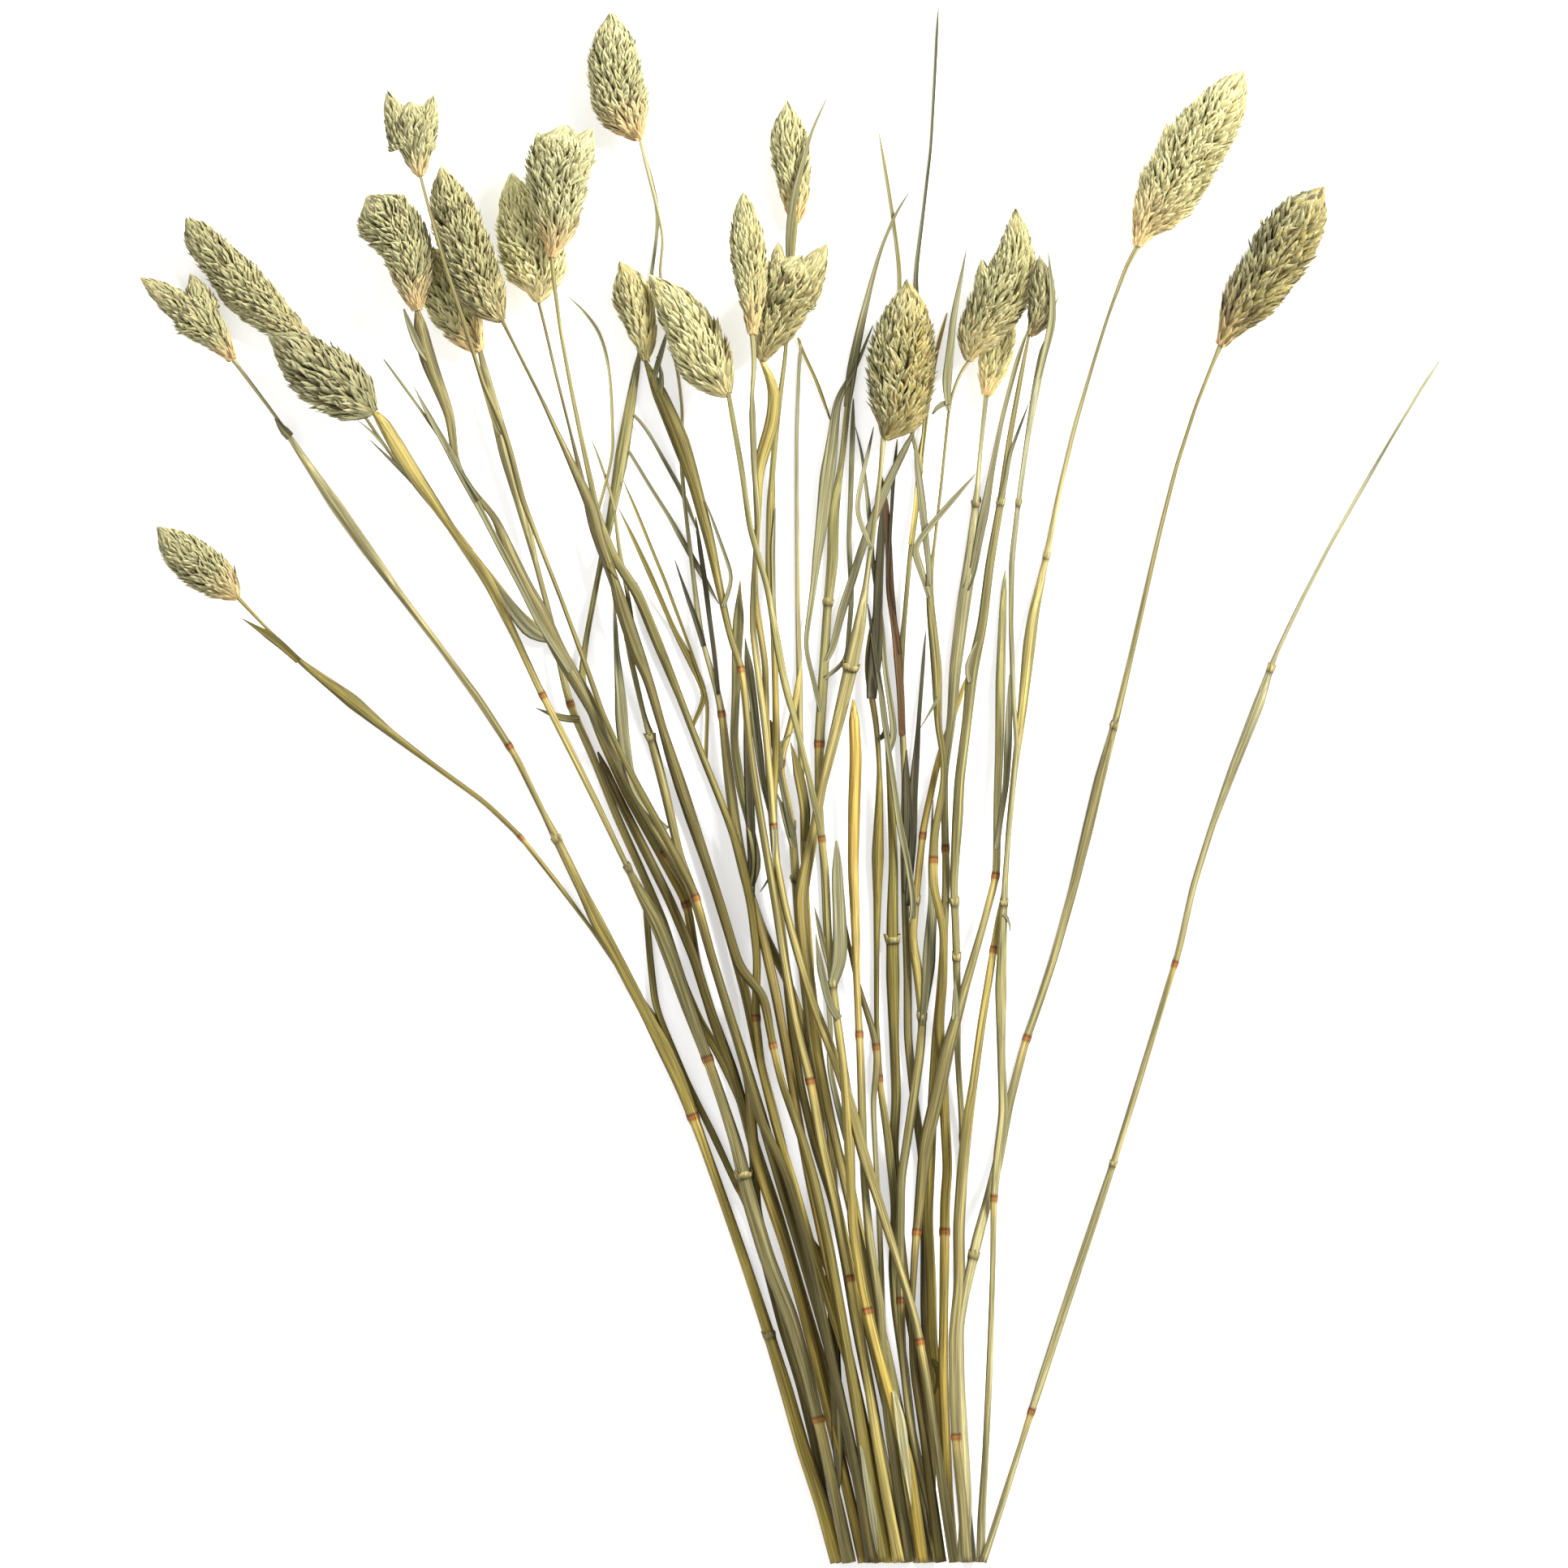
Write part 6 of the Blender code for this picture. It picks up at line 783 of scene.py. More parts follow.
def blend_colours(tree, share, first, second):
    """Share of the second colour over the first."""
    mix = tree.nodes.new("ShaderNodeMix")
    mix.data_type = "RGBA"
    for socket, value in ((mix.inputs[0], share), (mix.inputs[6], first), (mix.inputs[7], second)):
        if isinstance(value, bpy.types.NodeSocket):
            tree.links.new(value, socket)
        else:
            socket.default_value = value
    return mix.outputs[2]


def new_finish(name):
    """An empty node material with its shader and the tint and grain attributes."""
    finish = bpy.data.materials.new(name)
    finish.use_nodes = True
    tree = finish.node_tree
    tint = add_node(tree, "ShaderNodeAttribute", [("attribute_name", "tint")])["Color"]
    grain = add_node(tree, "ShaderNodeAttribute", [("attribute_name", "grain")])["Vector"]
    return finish, tree, tree.nodes["Principled BSDF"], tint, grain


def shine_and_relief(tree, shader, colour, roughness, height, relief):
    """Link a colour and a roughness to the shader, and raise the surface by a noise."""
    strength, distance = relief
    bump = add_node(tree, "ShaderNodeBump", Strength=strength, Distance=distance, Height=height)
    tree.links.new(colour, shader.inputs["Base Color"])
    tree.links.new(roughness, shader.inputs["Roughness"])
    tree.links.new(bump[0], shader.inputs["Normal"])
    shader.inputs["Specular IOR Level"].default_value = SHINE


def straw_finish():
    """Tint x fine streaks x broad bands, with grey-green weathering, brown specks and raised fibres."""
    finish, tree, shader, tint, grain = new_finish("dry_straw")
    fine = stretched_noise(tree, grain, FINE_STREAKS, 3.0)
    band = stretched_noise(tree, grain, BROAD_BANDS, 2.0)
    patch = stretched_noise(tree, grain, WEATHERING, 3.0)
    speck = stretched_noise(tree, grain, SPECKS, 2.0)
    light = multiply(tree, spread(tree, fine, *FINE_LIGHT), spread(tree, band, *BAND_LIGHT))
    colour = add_node(tree, "ShaderNodeVectorMath", [("operation", "SCALE")], i0=tint, i3=light)[0]
    colour = blend_colours(tree, spread(tree, patch, *WEATHER_SHARE), colour, WEATHERED)
    colour = blend_colours(tree, spread(tree, speck, *SPECK_SHARE), colour, SPECK_BROWN)
    shine_and_relief(tree, shader, colour, spread(tree, band, *STRAW_ROUGHNESS), fine, FIBRE_RELIEF)
    return finish


def husk_finish():
    """Tint x soft mottling, with thin green veins along each husk and a papery, matt surface."""
    finish, tree, shader, tint, grain = new_finish("dry_husk")
    vein = stretched_noise(tree, grain, HUSK_VEINS, 2.0)
    mottle = stretched_noise(tree, grain, HUSK_MOTTLE, 3.0)
    light = multiply(tree, spread(tree, vein, *VEIN_LIGHT), spread(tree, mottle, *MOTTLE_LIGHT))
    colour = add_node(tree, "ShaderNodeVectorMath", [("operation", "SCALE")], i0=tint, i3=light)[0]
    colour = blend_colours(tree, spread(tree, vein, *VEIN_SHARE), colour, VEIN_GREEN)
    shine_and_relief(tree, shader, colour, spread(tree, mottle, *HUSK_ROUGHNESS), vein, VEIN_RELIEF)
    return finish


straw, husk = straw_finish(), husk_finish()
print("finishes:", straw.name, husk.name)

# %% [markdown]
# ## Colours
# No two plants dried alike, and one straw changes along its length: warm and dark at the crowded
# foot, paler and greener toward the head. Each plant gets a shade for its foot, its middle and its
# top, mixed along its length, and one for its leaves. One shade for all would look like plastic.
# The colours are written as linear red, green and blue.

# %% Shades of straw, and the coat of each plant
SHADES = {
    "straw": (0.48, 0.38, 0.11), "pale": (0.56, 0.51, 0.26), "green": (0.3, 0.265, 0.1),
    "sage": (0.36, 0.34, 0.19), "olive": (0.2, 0.16, 0.036), "amber": (0.37, 0.265, 0.05),
    "gold": (0.52, 0.35, 0.08), "umber": (0.11, 0.08, 0.014), "honey": (0.44, 0.335, 0.07),
    "reed": (0.25, 0.21, 0.08), "hay": (0.38, 0.335, 0.15), "grey": (0.26, 0.24, 0.12),
    "dark": (0.07, 0.06, 0.028), "brown": (0.16, 0.08, 0.03), "moss": (0.12, 0.115, 0.05),
    "bark": (0.072, 0.054, 0.012),
}
ORANGE = np.array([0.37, 0.14, 0.025])      # the joint itself
BURNT = np.array([0.07, 0.025, 0.01])       # its dark edges
PALE = np.array([0.62, 0.46, 0.13])         # the straw just below it
RIM = np.array([0.6, 0.55, 0.36])           # a torn sheath rim
COATS = {       # foot, middle, top, leaves
    "k": ("umber", "olive", "olive", "olive"), "i": ("honey", "olive", "hay", "grey"),
    "h": ("amber", "amber", "green", "grey"), "e": ("honey", "straw", "hay", "green"),
    "w14": ("umber", "olive", "umber", "olive"), "w0": ("umber", "olive", "green", "grey"),
    "g": ("straw", "umber", "reed", "green"), "c": ("amber", "reed", "reed", "grey"),
    "w1": ("umber", "olive", "reed", "grey"), "w2": ("straw", "olive", "green", "olive"),
    "w13": ("bark", "reed", "green", "dark"), "w3": ("umber", "olive", "olive", "grey"),
    "w4": ("green", "olive", "olive", "dark"), "w5": ("gold", "pale", "umber", "grey"),
    "w6": ("olive", "amber", "sage", "olive"), "w15": ("straw", "hay", "straw", "grey"),
    "w7": ("hay", "green", "green", "grey"), "p": ("straw", "reed", "straw", "grey"),
    "o": ("green", "amber", "green", "grey"), "a": ("gold", "green", "pale", "dark"),
    "q": ("green", "amber", "hay", "grey"), "w8": ("reed", "green", "amber", "grey"),
    "s": ("honey", "olive", "pale", "grey"), "r": ("amber", "olive", "reed", "grey"),
    "t": ("reed", "green", "reed", "grey"), "f": ("honey", "olive", "green", "green"),
    "b": ("bark", "olive", "reed", "grey"), "d": ("olive", "umber", "reed", "olive"),
    "w9": ("reed", "green", "gold", "grey"), "w10": ("umber", "reed", "green", "grey"),
    "n": ("reed", "straw", "hay", "grey"), "l": ("straw", "reed", "olive", "grey"),
    "m": ("amber", "green", "green", "grey"), "j": ("reed", "green", "straw", "grey"),
    "v": ("hay", "reed", "reed", "grey"), "u": ("reed", "honey", "hay", "honey"),
    "w11": ("hay", "green", "sage", "grey"), "w12": ("hay", "reed", "sage", "grey"),
}
# Leaves and strips that differ from the rest of their plant's, by number
LEAF_COATS = {("a", 3): "green", ("w13", 2): "moss", ("w13", 3): "straw", ("w13", 6): "green",
              ("w13", 0): "brown", ("m", 2): "pale", ("d", 1): "sage",
              ("s", 1): "olive", ("g", 2): "reed"}
print("shades:", len(SHADES), "plants with a coat of their own:", len(COATS))

# %% [markdown]
# ## Culms
# The culm is a hollow straw, round while it is bare and flattened where a leaf sheath wraps it. It is
# a tube carried along the centre line, an ellipse at each ring, with extra rings at the joints and
# sheath rims, where it swells. The cut foot shows the straw's hollow, so the tube turns in there.
# A bevelled curve could carry a circle along the line, but not a section that changes its shape.

# %% Culms as tubes
SIDES = 12          # corners of a ring
RING_GAP = 1.7      # mm between rings on plain straw
HOLLOW = 0.55       # radius of the hollow against the straw's
PITH_AT = 1.5       # mm from the cut to the pith that closes the hollow
INTO_HEAD = 2.5     # mm that the straw runs on inside its head
TORN = 5.0          # mm over which a straw without a head tapers to its torn end
TORN_WIDTH = 0.3    # width of that end against the straw's
SLIM = 0.14         # share by which a straw is leaner at its top than the CAD's
SLIM_BY = 0.4       # share of its length over which it grows that lean
NEAR = np.array([-3, -2, -1.4, -1.1, -0.8, -0.55, -0.3, 0, 0.3, 0.55, 0.8, 1.1, 1.5, 2, 3])
# Rises, stains and painted shade at a mark: mm past it, reach in mm, share of the thickness or of the
# colour
JOINT_SWELLS = [(0, 0.8, 0.14), (-2, 0.7, -0.05)]
RIM_SWELLS = [(0, 0.5, 0.07)]
JOINT_STAINS = [(0, 0.5, 1.5)]
BURNT_STAINS = [(0.6, 0.25, 0.85), (-0.7, 0.2, 0.4)]
RIM_STAINS = [(0.3, 0.4, 0.3)]
# Painted shade in the crease just below a sheath rim
UNDER_RIM_PAINTED_SHADE = [(-0.5, 0.4, 0.8)]
PALE_REACH = 4.5            # mm below a joint over which the pale straw fades
PALE_SHARE = 0.8
FOOT_TO_MIDDLE = (0.15, 0.65)       # shares of the length between which the shades mix
MIDDLE_TO_TOP = (0.48, 0.88)
SHEATH_WIDTHS = (2.6, 4.1)  # mm between which a wide sheath darkens
SHEATH_DARK = 0.8           # lightness of a wide sheath against bare straw
# Lightness of the painted shade below a sheath rim
UNDER_RIM_SHADE_LIGHTNESS = 0.45
# Painted shade: a culm's flanks and underside are darkened against its lit crown.
FLANK_SHADE = 0.42                 # lightness of the flanks and underside against the crown
# Painted shade: the pith deep in the hollow of the cut foot is darkened.
PITH_SHADE = 0.25           # lightness of the pith against the straw's
CUT_LIGHT = 0.9             # and of the cut wall


def marks_on(line, places):
    """Distance along the line to the point nearest each marked place."""
    fine, spots, _ = line
    targets = np.array(places, dtype=float).reshape(-1, 2) - VIEW_SHIFT
    gap = np.linalg.norm(spots[None, :, :2] - targets[:, None, :], axis=2)
    return fine[gap.argmin(axis=1)]


def hump(at, centres, reach):
    """Sum over the centres of e^(-((at - centre) / reach)^2 / 2)."""
    return np.exp(-0.5 * ((at[:, None] - centres[None, :]) / reach) ** 2).sum(axis=1)


def at_marks(at, marks, shapes):
    """Sum of share x hump over the shapes, each some way past every mark."""
    return sum(share * hump(at, marks + past, reach) for past, reach, share in shapes)


def ramp(value, ends):
    """0 at the first of the ends and 1 at the second, on a straight line."""
    return (value - ends[0]) / (ends[1] - ends[0])


def mixed(first, second, share):
    """First colour x (1 - share) + second colour x share, row by row."""
    share = np.clip(share, 0, 1)[:, None]
    return first * (1 - share) + second * share


def add_culm(skin, name, points, offset):
    """Rings centre + half width cos a across + half depth sin a up, for a round the straw."""
    line = centre_line(points)
    length = line[0][-1]
    joints = marks_on(line, JOINTS.get(name, []))
    rims = marks_on(line, RIMS.get(name, []))
    marks = np.concatenate([joints, rims])
    end = length + (INTO_HEAD if PLANTS[name][1] else 0)
    plain = np.arange(0, length, RING_GAP)
    at = np.concatenate([plain, [length, end], (marks[:, None] + NEAR).ravel()])
    at = np.unique(np.round(np.clip(at, 0, end), 2))
    spots, width, along, across, up = on_line(line, at)
    spots = spots + along * np.maximum(at - length, 0)[:, None]
    width = width * (1 - SLIM * np.clip(at / length / SLIM_BY, 0, 1))
    if not PLANTS[name][1]:
        width = width * np.clip(np.sqrt(np.maximum(length - at, 0) / TORN), TORN_WIDTH, 1)
    half = width / 2
    deep = half_depth(width)
    thick = 1 + at_marks(at, joints, JOINT_SWELLS) + at_marks(at, rims, RIM_SWELLS)
    turn = np.arange(SIDES) * 2 * np.pi / SIDES - np.pi / 2
    ring = (across[:, None] * (half * thick)[:, None, None] * np.cos(turn)[None, :, None]
            + up[:, None] * (deep * thick)[:, None, None] * np.sin(turn)[None, :, None])
    rings = spots[:, None] + ring
    inner = rings[:1] + ring[:1] * (HOLLOW - 1)
    depth = (spots[1] - spots[0]) / np.linalg.norm(spots[1] - spots[0]) * PITH_AT
    rings = np.concatenate([inner + depth, inner, rings])

    foot, middle, top, _ = (np.array(SHADES[shade]) for shade in COATS[name])
    tint = mixed(foot, middle, ramp(at / length, FOOT_TO_MIDDLE))
    tint = mixed(tint, top, ramp(at / length, MIDDLE_TO_TOP))
    tint = mixed(tint, tint * SHEATH_DARK, ramp(width, SHEATH_WIDTHS))
    below = joints[None, :] - at[:, None]
    light = np.where(below > 0, np.exp(-np.maximum(below, 0) / PALE_REACH), 0).sum(axis=1)
    tint = mixed(tint, PALE, PALE_SHARE * light)
    tint = mixed(tint, RIM, at_marks(at, rims, RIM_STAINS))
    # Painted shade: the straw is darkened in the crease just below each sheath rim.
    tint = mixed(tint, tint * UNDER_RIM_SHADE_LIGHTNESS, at_marks(at, rims, UNDER_RIM_PAINTED_SHADE))
    tint = mixed(tint, ORANGE, at_marks(at, joints, JOINT_STAINS))
    tint = mixed(tint, BURNT, at_marks(at, joints, BURNT_STAINS))
    # Painted shade on the pith at the bottom of the hollow
    tint = np.concatenate([tint[:1] * PITH_SHADE, tint[:1] * CUT_LIGHT, tint])
    # Painted shade: the crown of each ring is kept light, its flanks and underside darkened.
    flank_shading = FLANK_SHADE + (1 - FLANK_SHADE) * np.sqrt(np.maximum(np.sin(turn), 0))
    tint = tint[:, None] * flank_shading[None, :, None]

    at = np.concatenate([at[:1], at[:1], at])
    half, deep = (np.concatenate([v[:1], v[:1], v]) for v in (half, deep))
    grain = np.stack([half[:, None] * np.cos(turn), deep[:, None] * np.sin(turn),
                      np.repeat((at + offset)[:, None], SIDES, axis=1)], axis=-1)
    skin.add(rings, tint, grain)
    rough = np.random.default_rng(len(name) + int(length))
    for rim in rims:
        add_collar(skin, line, rim, offset, rough)


# %% [markdown]
# ## Papery collars
# Where a sheath ends, canary grass has a thin pale collar that stands round the straw and tears as it
# dries. It is a short cup with a ragged edge: rings go up the outside, over the edge and down the
# inside. Painting it on the straw would leave the outline smooth just where the real one is rough.

# %% Collars at the sheath rims
COLLAR_RISE = np.array([-0.5, 0.1, 0.7, 0.7, 0.1, -0.5])        # mm up the straw from the rim
COLLAR_OUT = np.array([0.92, 1.05, 1.14, 1.06, 0.98, 0.8])      # radius against the straw's
# Painted shade at the collar's root and inside its cup; the torn edge is lightest.
COLLAR_SHADING = np.array([0.6, 0.85, 1.1, 1, 0.6, 0.4])          # lightness, dark at the root and inside
COLLAR = np.array([0.34, 0.28, 0.11])       # its papery colour
TORN_ABOVE = 0.5        # mm of rise past which a ring belongs to the torn edge
TEAR = 1.4              # mm; the longest tear is this to the power below
TEAR_POWER = 1.5
FLARE = (0.9, 1.15)     # how the torn edge bends in or out
COLLAR_TONES = (0.7, 1.15)


def add_collar(skin, line, rim, offset, rough):
    """Rings centre + rise x ragged height along + out x half width round the straw."""
    spot, width, along, across, up = (part[0] for part in on_line(line, np.array([rim])))
    turn = np.arange(SIDES) * 2 * np.pi / SIDES
    ragged = rough.uniform(0, TEAR, SIDES) ** TEAR_POWER
    flare = rough.uniform(*FLARE, SIDES)
    torn = COLLAR_RISE[:, None] > TORN_ABOVE
    rise = COLLAR_RISE[:, None] + torn * ragged
    out = COLLAR_OUT[:, None] * np.where(torn, flare, 1) * width / 2
    rings = (spot + along * rise[..., None] + across * (out * np.cos(turn))[..., None]
             + up * (out * np.sin(turn))[..., None])
    tint = COLLAR * rough.uniform(*COLLAR_TONES, (1, SIDES, 1)) * COLLAR_SHADING[:, None, None]
    grain = np.stack([out * np.cos(turn), out * np.sin(turn), rise + rim + offset], axis=-1)
    skin.add(rings, tint, grain)


# %% [markdown]
# ## Leaves
# A dried grass leaf is a long ribbon, folded a little along its middle and curled at its edges, with
# parallel veins. The section is a shallow gutter with thin edges, carried along the route like the
# culm's, and it rocks slowly from side to side as it runs. A flat card with a picture of a leaf would
# show its thinness from the side.

# %% Leaves as gutters
LEAF_SHARE = np.array([1, 0.55, 0, -0.55, -1, -0.55, 0, 0.55])      # place across, edge to edge
LEAF_UNDER = np.array([0, 0, 0, 0, 0, 1, 1, 1])                     # 1 on the underside
LEAF_THICK = 0.28   # mm
GUTTER = 0.14       # rise of the edges against the leaf's width
MOST_RISE = 0.5     # mm
ROCK = 0.16         # sideways rocking, as a slope
MOST_ROCK = 0.35    # mm
ROCK_WAVES = (9, 16)        # mm along the leaf for each radian of rocking
WAVY = 0.05         # share by which the edges wave in and out
WAVY_LENGTH = 3.1   # mm along the leaf for each radian of the wave
LEAF_TORN = 8.0     # mm over which a leaf narrows to its tip
TIP_WIDTH = 0.2     # width of the tip against the leaf's
LEAF_TONES = (0.85, 1.15)
TIP_LIGHT = 0.85    # lightness of the tip against the root
# Painted shade across a leaf: darker in the middle fold and at the edges, and darker on the underside.
FOLD_AT = [0, 0.2, 0.6, 1]          # shares of the half width, and the lightness there
FOLD_SHADING = [0.85, 1, 1.05, 0.6]
UNDERSIDE_SHADE = 0.3    # share by which the underside is darker
UNDER_GRAIN = 0.4   # mm between the fibres of the upper side and of the underside


def add_leaf(skin, name, number, points, offset, rng):
    """Rings centre + share half width across + (rise |share|^1.5 + rocking - thickness) up."""
    line = centre_line(points)
    length = line[0][-1]
    at = np.linspace(0, length, max(LEAST_SAMPLES, int(length / RING_GAP)))
    spots, width, _, across, up = on_line(line, at)
    width = width * np.clip(np.sqrt(np.maximum(length - at, 0) / LEAF_TORN), TIP_WIDTH, 1)
    share, under = LEAF_SHARE[None, :], LEAF_UNDER[None, :]
    half = width[:, None] / 2
    rise = np.minimum(GUTTER * width, MOST_RISE)[:, None]
    rock = ROCK * np.sin(at / rng.uniform(*ROCK_WAVES) + rng.uniform(0, 6))[:, None]
    lift = rise * np.abs(share) ** 1.5 - rise / 2 + np.clip(rock * share * half, -MOST_ROCK, MOST_ROCK)
    wavy = 1 + WAVY * np.sin(at / WAVY_LENGTH + rng.uniform(0, 6))[:, None] * share
    rings = (spots[:, None] + across[:, None] * (half * share * wavy)[..., None]
             + up[:, None] * (lift + LEAF_THICK * (0.5 - under))[..., None])
    shade = np.array(SHADES[LEAF_COATS.get((name, number), COATS[name][3])]) * rng.uniform(*LEAF_TONES)
    tint = mixed(shade, shade * TIP_LIGHT, at / length)
    # Painted shade: darker in the fold, at the edges and on the underside.
    painted_shade = np.interp(np.abs(share), FOLD_AT, FOLD_SHADING) * (1 - UNDERSIDE_SHADE * under)
    tint = tint[:, None] * painted_shade[..., None]
    apart = under * UNDER_GRAIN + 0 * half
    grain = np.stack([half * share, apart, at[:, None] + offset + 0 * share], axis=-1)
    skin.add(rings, tint, grain)

# %% [markdown]
# ## Seed heads
# A canary grass head is an egg of several hundred husks. Each husk is a small boat with a keel: it
# springs from the core, leans upward and outward, and its pointed tip stands a little proud, so the
# outline is serrated and dark gaps show between the tips. Particles or instances would be lost in
# the exported model, so the husks are real surfaces: one formula is worked out for all the husks of
# a head at once, and each husk has only a few dozen faces.
#
# Neighbouring husks of a real head never line up in rings. They follow a spiral in which each next
# husk is turned by the golden angle, which spreads them evenly over an egg of any shape.

# %% Husks of a head
GOLDEN_ANGLE = np.pi * (3 - np.sqrt(5))
HEAD_DEPTH = 0.88       # depth of a head against its width
CORE_SHARE = 0.6        # radius of the core against the tips'
HUSK_STATIONS = np.array([0.0, 0.4, 0.75])      # places of a husk's rings along it
HUSK_WIDTHS = np.array([0.55, 1.0, 0.72])       # and its width there
HUSK_LENGTH = 3.5       # length of a husk against its width
HUSK_SPACE = 0.95       # area of the egg for each husk, in squares of its width
HUSK_SIZES = (0.85, 1.15)       # the smallest and the largest against the plain one
ROOT_PART = 0.55        # share of a husk's length from its root to its middle
TIP_PART = 0.45         # and from there to its tip
ROOT_IN = 0.95          # radius of the roots against the core's
BELLY_BACK = 0.1        # share of its length by which a husk's belly lies before its middle
BELLY_OUT = 0.92        # radius of the bellies against the egg's
TIP_OUT = 1.02          # the same for the tips
TIP_UNEVEN = 0.07       # and how much that varies
TIP_LEAN = 0.16         # radians by which tips lean sideways
TURN_UNEVEN = 0.06      # radians by which roots miss the spiral
STEP_UNEVEN = (0.2, 0.8)        # where a husk lies in its own step along the head
TWIST = 0.6             # radians by which husks are twisted about their own length
KEEL_OUT, KEEL_IN = 0.62, 0.25  # height of a husk's back and of its inner side, in half widths
BELOW_HEAD = 0.35       # share of a husk's length by which husks start below the head
BELOW_STEPS = 12
NECK_WIDTH = 0.6        # width of the husks' seat there against the head's
CORE_RINGS, CORE_TURNS = 24, 20
LEAST_DOME = 0.2        # radius at the very top of the egg against the radius at its rim
LEAST_END = 1.0         # mm, the least radius of the dome
# The shade colour is painted shade: it darkens each husk's root and the core, where the gaps between husks
# lie.
HUSK_COLOURS = {
    "shade": (0.2, 0.19, 0.075), "cream": (0.52, 0.49, 0.25), "tip": (0.68, 0.63, 0.38),
    "warm": (0.82, 0.52, 0.24), "dark": (0.13, 0.085, 0.035), "gold": (0.64, 0.5, 0.16),
}
CREAM_SHARES = np.array([0.0, 0.6, 1.0])        # from shade to cream at the husk's three rings
# Painted light on a husk's back and painted shade on its inner side
HUSK_SIDE_SHADING = np.array([1.0, 1.08, 1.0, 0.7])  # a husk's sides, back and inner side
# Painted shade: the core is darkened further.
CORE_SHADE = 0.8
HUSK_TONES = (0.82, 1.14)
WARM_PART = 0.35        # share of the head's length over which the warm base fades
WARM_UNEVEN, WARM_MOST = 0.12, 0.8
DARK_SHARE = 0.75       # how dark a dark husk is
DARK_TIP = 0.7          # share of a husk's darkness that its tip takes
# Painted light: every head is golden all over and more golden on one side, the same side for all heads.
LIT_SIDE = np.array([0.9, -0.3, 0.3])           # the side on which a head may be golden
GOLD_ALL_OVER, PAINTED_LIGHT_ONE_SIDE, GOLD_UNEVEN = 0.4, 0.6, 0.25
GRAIN_APART = 99        # mm between the fibres of two husks
# Width of a husk in mm, lightness, warmth of the base, share of dark husks, gold (more on the painted lit
# side)
HEAD_LOOKS = {
    "a": (1.1, 0.97, 0.9, 0.05, 0.1), "b": (1.05, 0.92, 0.6, 0.08, 0.1), "c": (1.0, 0.92, 0.9, 0.06, 0.1),
    "d": (1.1, 0.82, 0.4, 0.1, 0.3), "e": (1.1, 1.2, 1.1, 0.06, 0.2), "f": (1.15, 1.05, 1.0, 0.03, 0.0),
    # Head g is made lighter to make up for the shadow that head f casts on it: painted light.
    "g": (1.1, 1.5, 0.3, 0.03, 0.0), "h": (1.05, 0.8, 0.2, 0.06, 0.2), "i": (1.1, 0.86, 1.2, 0.08, 0.2),
    "j": (1.35, 0.7, 0.0, 0.1, 0.05), "k": (1.05, 0.82, 0.9, 0.05, 0.2), "l": (1.25, 0.9, 0.0, 0.04, 0.6),
    "m": (1.5, 1.05, 0.2, 0.03, 0.2), "n": (1.1, 0.9, 0.9, 0.04, 0.4), "o": (1.1, 0.97, 0.9, 0.05, 0.3),
    "p": (1.25, 0.86, 0.4, 0.15, 0.5), "q": (1.2, 0.76, 0.3, 0.08, 0.9), "r": (1.2, 0.8, 0.5, 0.03, 0.4),
    "s": (1.15, 1.5, 0.9, 0.02, 0.3), "t": (1.15, 0.7, 0.6, 0.4, 0.3), "u": (1.15, 1.05, 0.9, 0.02, 0.3),
    "v": (1.3, 0.6, 1.4, 0.22, 0.9),
}


# %% [markdown]
# ## Forked heads
# A few heads are forked or have a side spike, as canary grass heads often do. Each side spike is a
# short route of its own that starts inside the head, so its husks grow from the same formula. Where
# a fork leaves a notch, the head itself stops short. A dent pressed into one egg would leave the
# husks of both tips pointing the same way.

# %% Side spikes: points (x, y, width) in mm of the view, and the share of the head that is kept
LOBES = {
    "i": [[(-143, 116.5, 9), (-145.6, 124, 4)], [(-146, 115.5, 8.5), (-152, 120, 6.5), (-157.5, 124, 2.6)]],
    "b": [[(-93.5, 157, 8), (-97.2, 169, 4)], [(-89.7, 157, 8), (-86.8, 168, 4)]],
    "h": [[(-122, 112.4, 8), (-131, 116.8, 7), (-138.4, 120.8, 3.5)]],
    "p": [[(-1.5, 121, 8), (-1.4, 132, 2.6)], [(3, 119, 10), (6.5, 126, 8), (9.6, 131.5, 3.5)]],
    "f": [[(-54, 150, 11), (-50.5, 156, 9), (-48, 160, 4)], [(-58, 150, 9), (-60.4, 159, 3.5)]],
    "r": [[(50.5, 114, 9), (49, 127.5, 3.4)]],
    "u": [[(91, 141, 7), (89, 150.5, 3.4)], [(96, 152, 8), (94.6, 161.5, 3.4)]],
    "v": [[(113, 118, 7), (112, 126.5, 3)]],
}
KEPT = {"i": 0.64, "b": 0.84, "p": 0.82}
HEAD_STEPS = 24         # points of a head's route
CAP = np.array([0.15, 0.28, 0.36])      # steps of the dome past the end, in half widths
CAP_WIDTH = np.array([0.86, 0.6, 0.2])  # and its width there against the end's


def head_routes(name, head):
    """The route of the head, cut where it forks, and the routes of its side spikes at its height."""
    main = np.array(head, dtype=float)
    at = np.concatenate([[0], np.cumsum(np.linalg.norm(np.diff(main[:, :3], axis=0), axis=1))])
    kept = np.linspace(0, at[-1] * KEPT.get(name, 1.0), HEAD_STEPS)
    routes = [np.stack([np.interp(kept, at, column) for column in main.T], axis=1)]
    for lobe in LOBES.get(name, []):
        x, y, width = np.array(lobe, dtype=float).T
        near = np.abs(main[None, :, 1] - y[:, None]).argmin(axis=1)
        x, y = x - VIEW_SHIFT[0], y - VIEW_SHIFT[1]
        routes.append(np.stack([x, y, main[near, 2], width], axis=1))
    return [rounded(route) for route in routes]


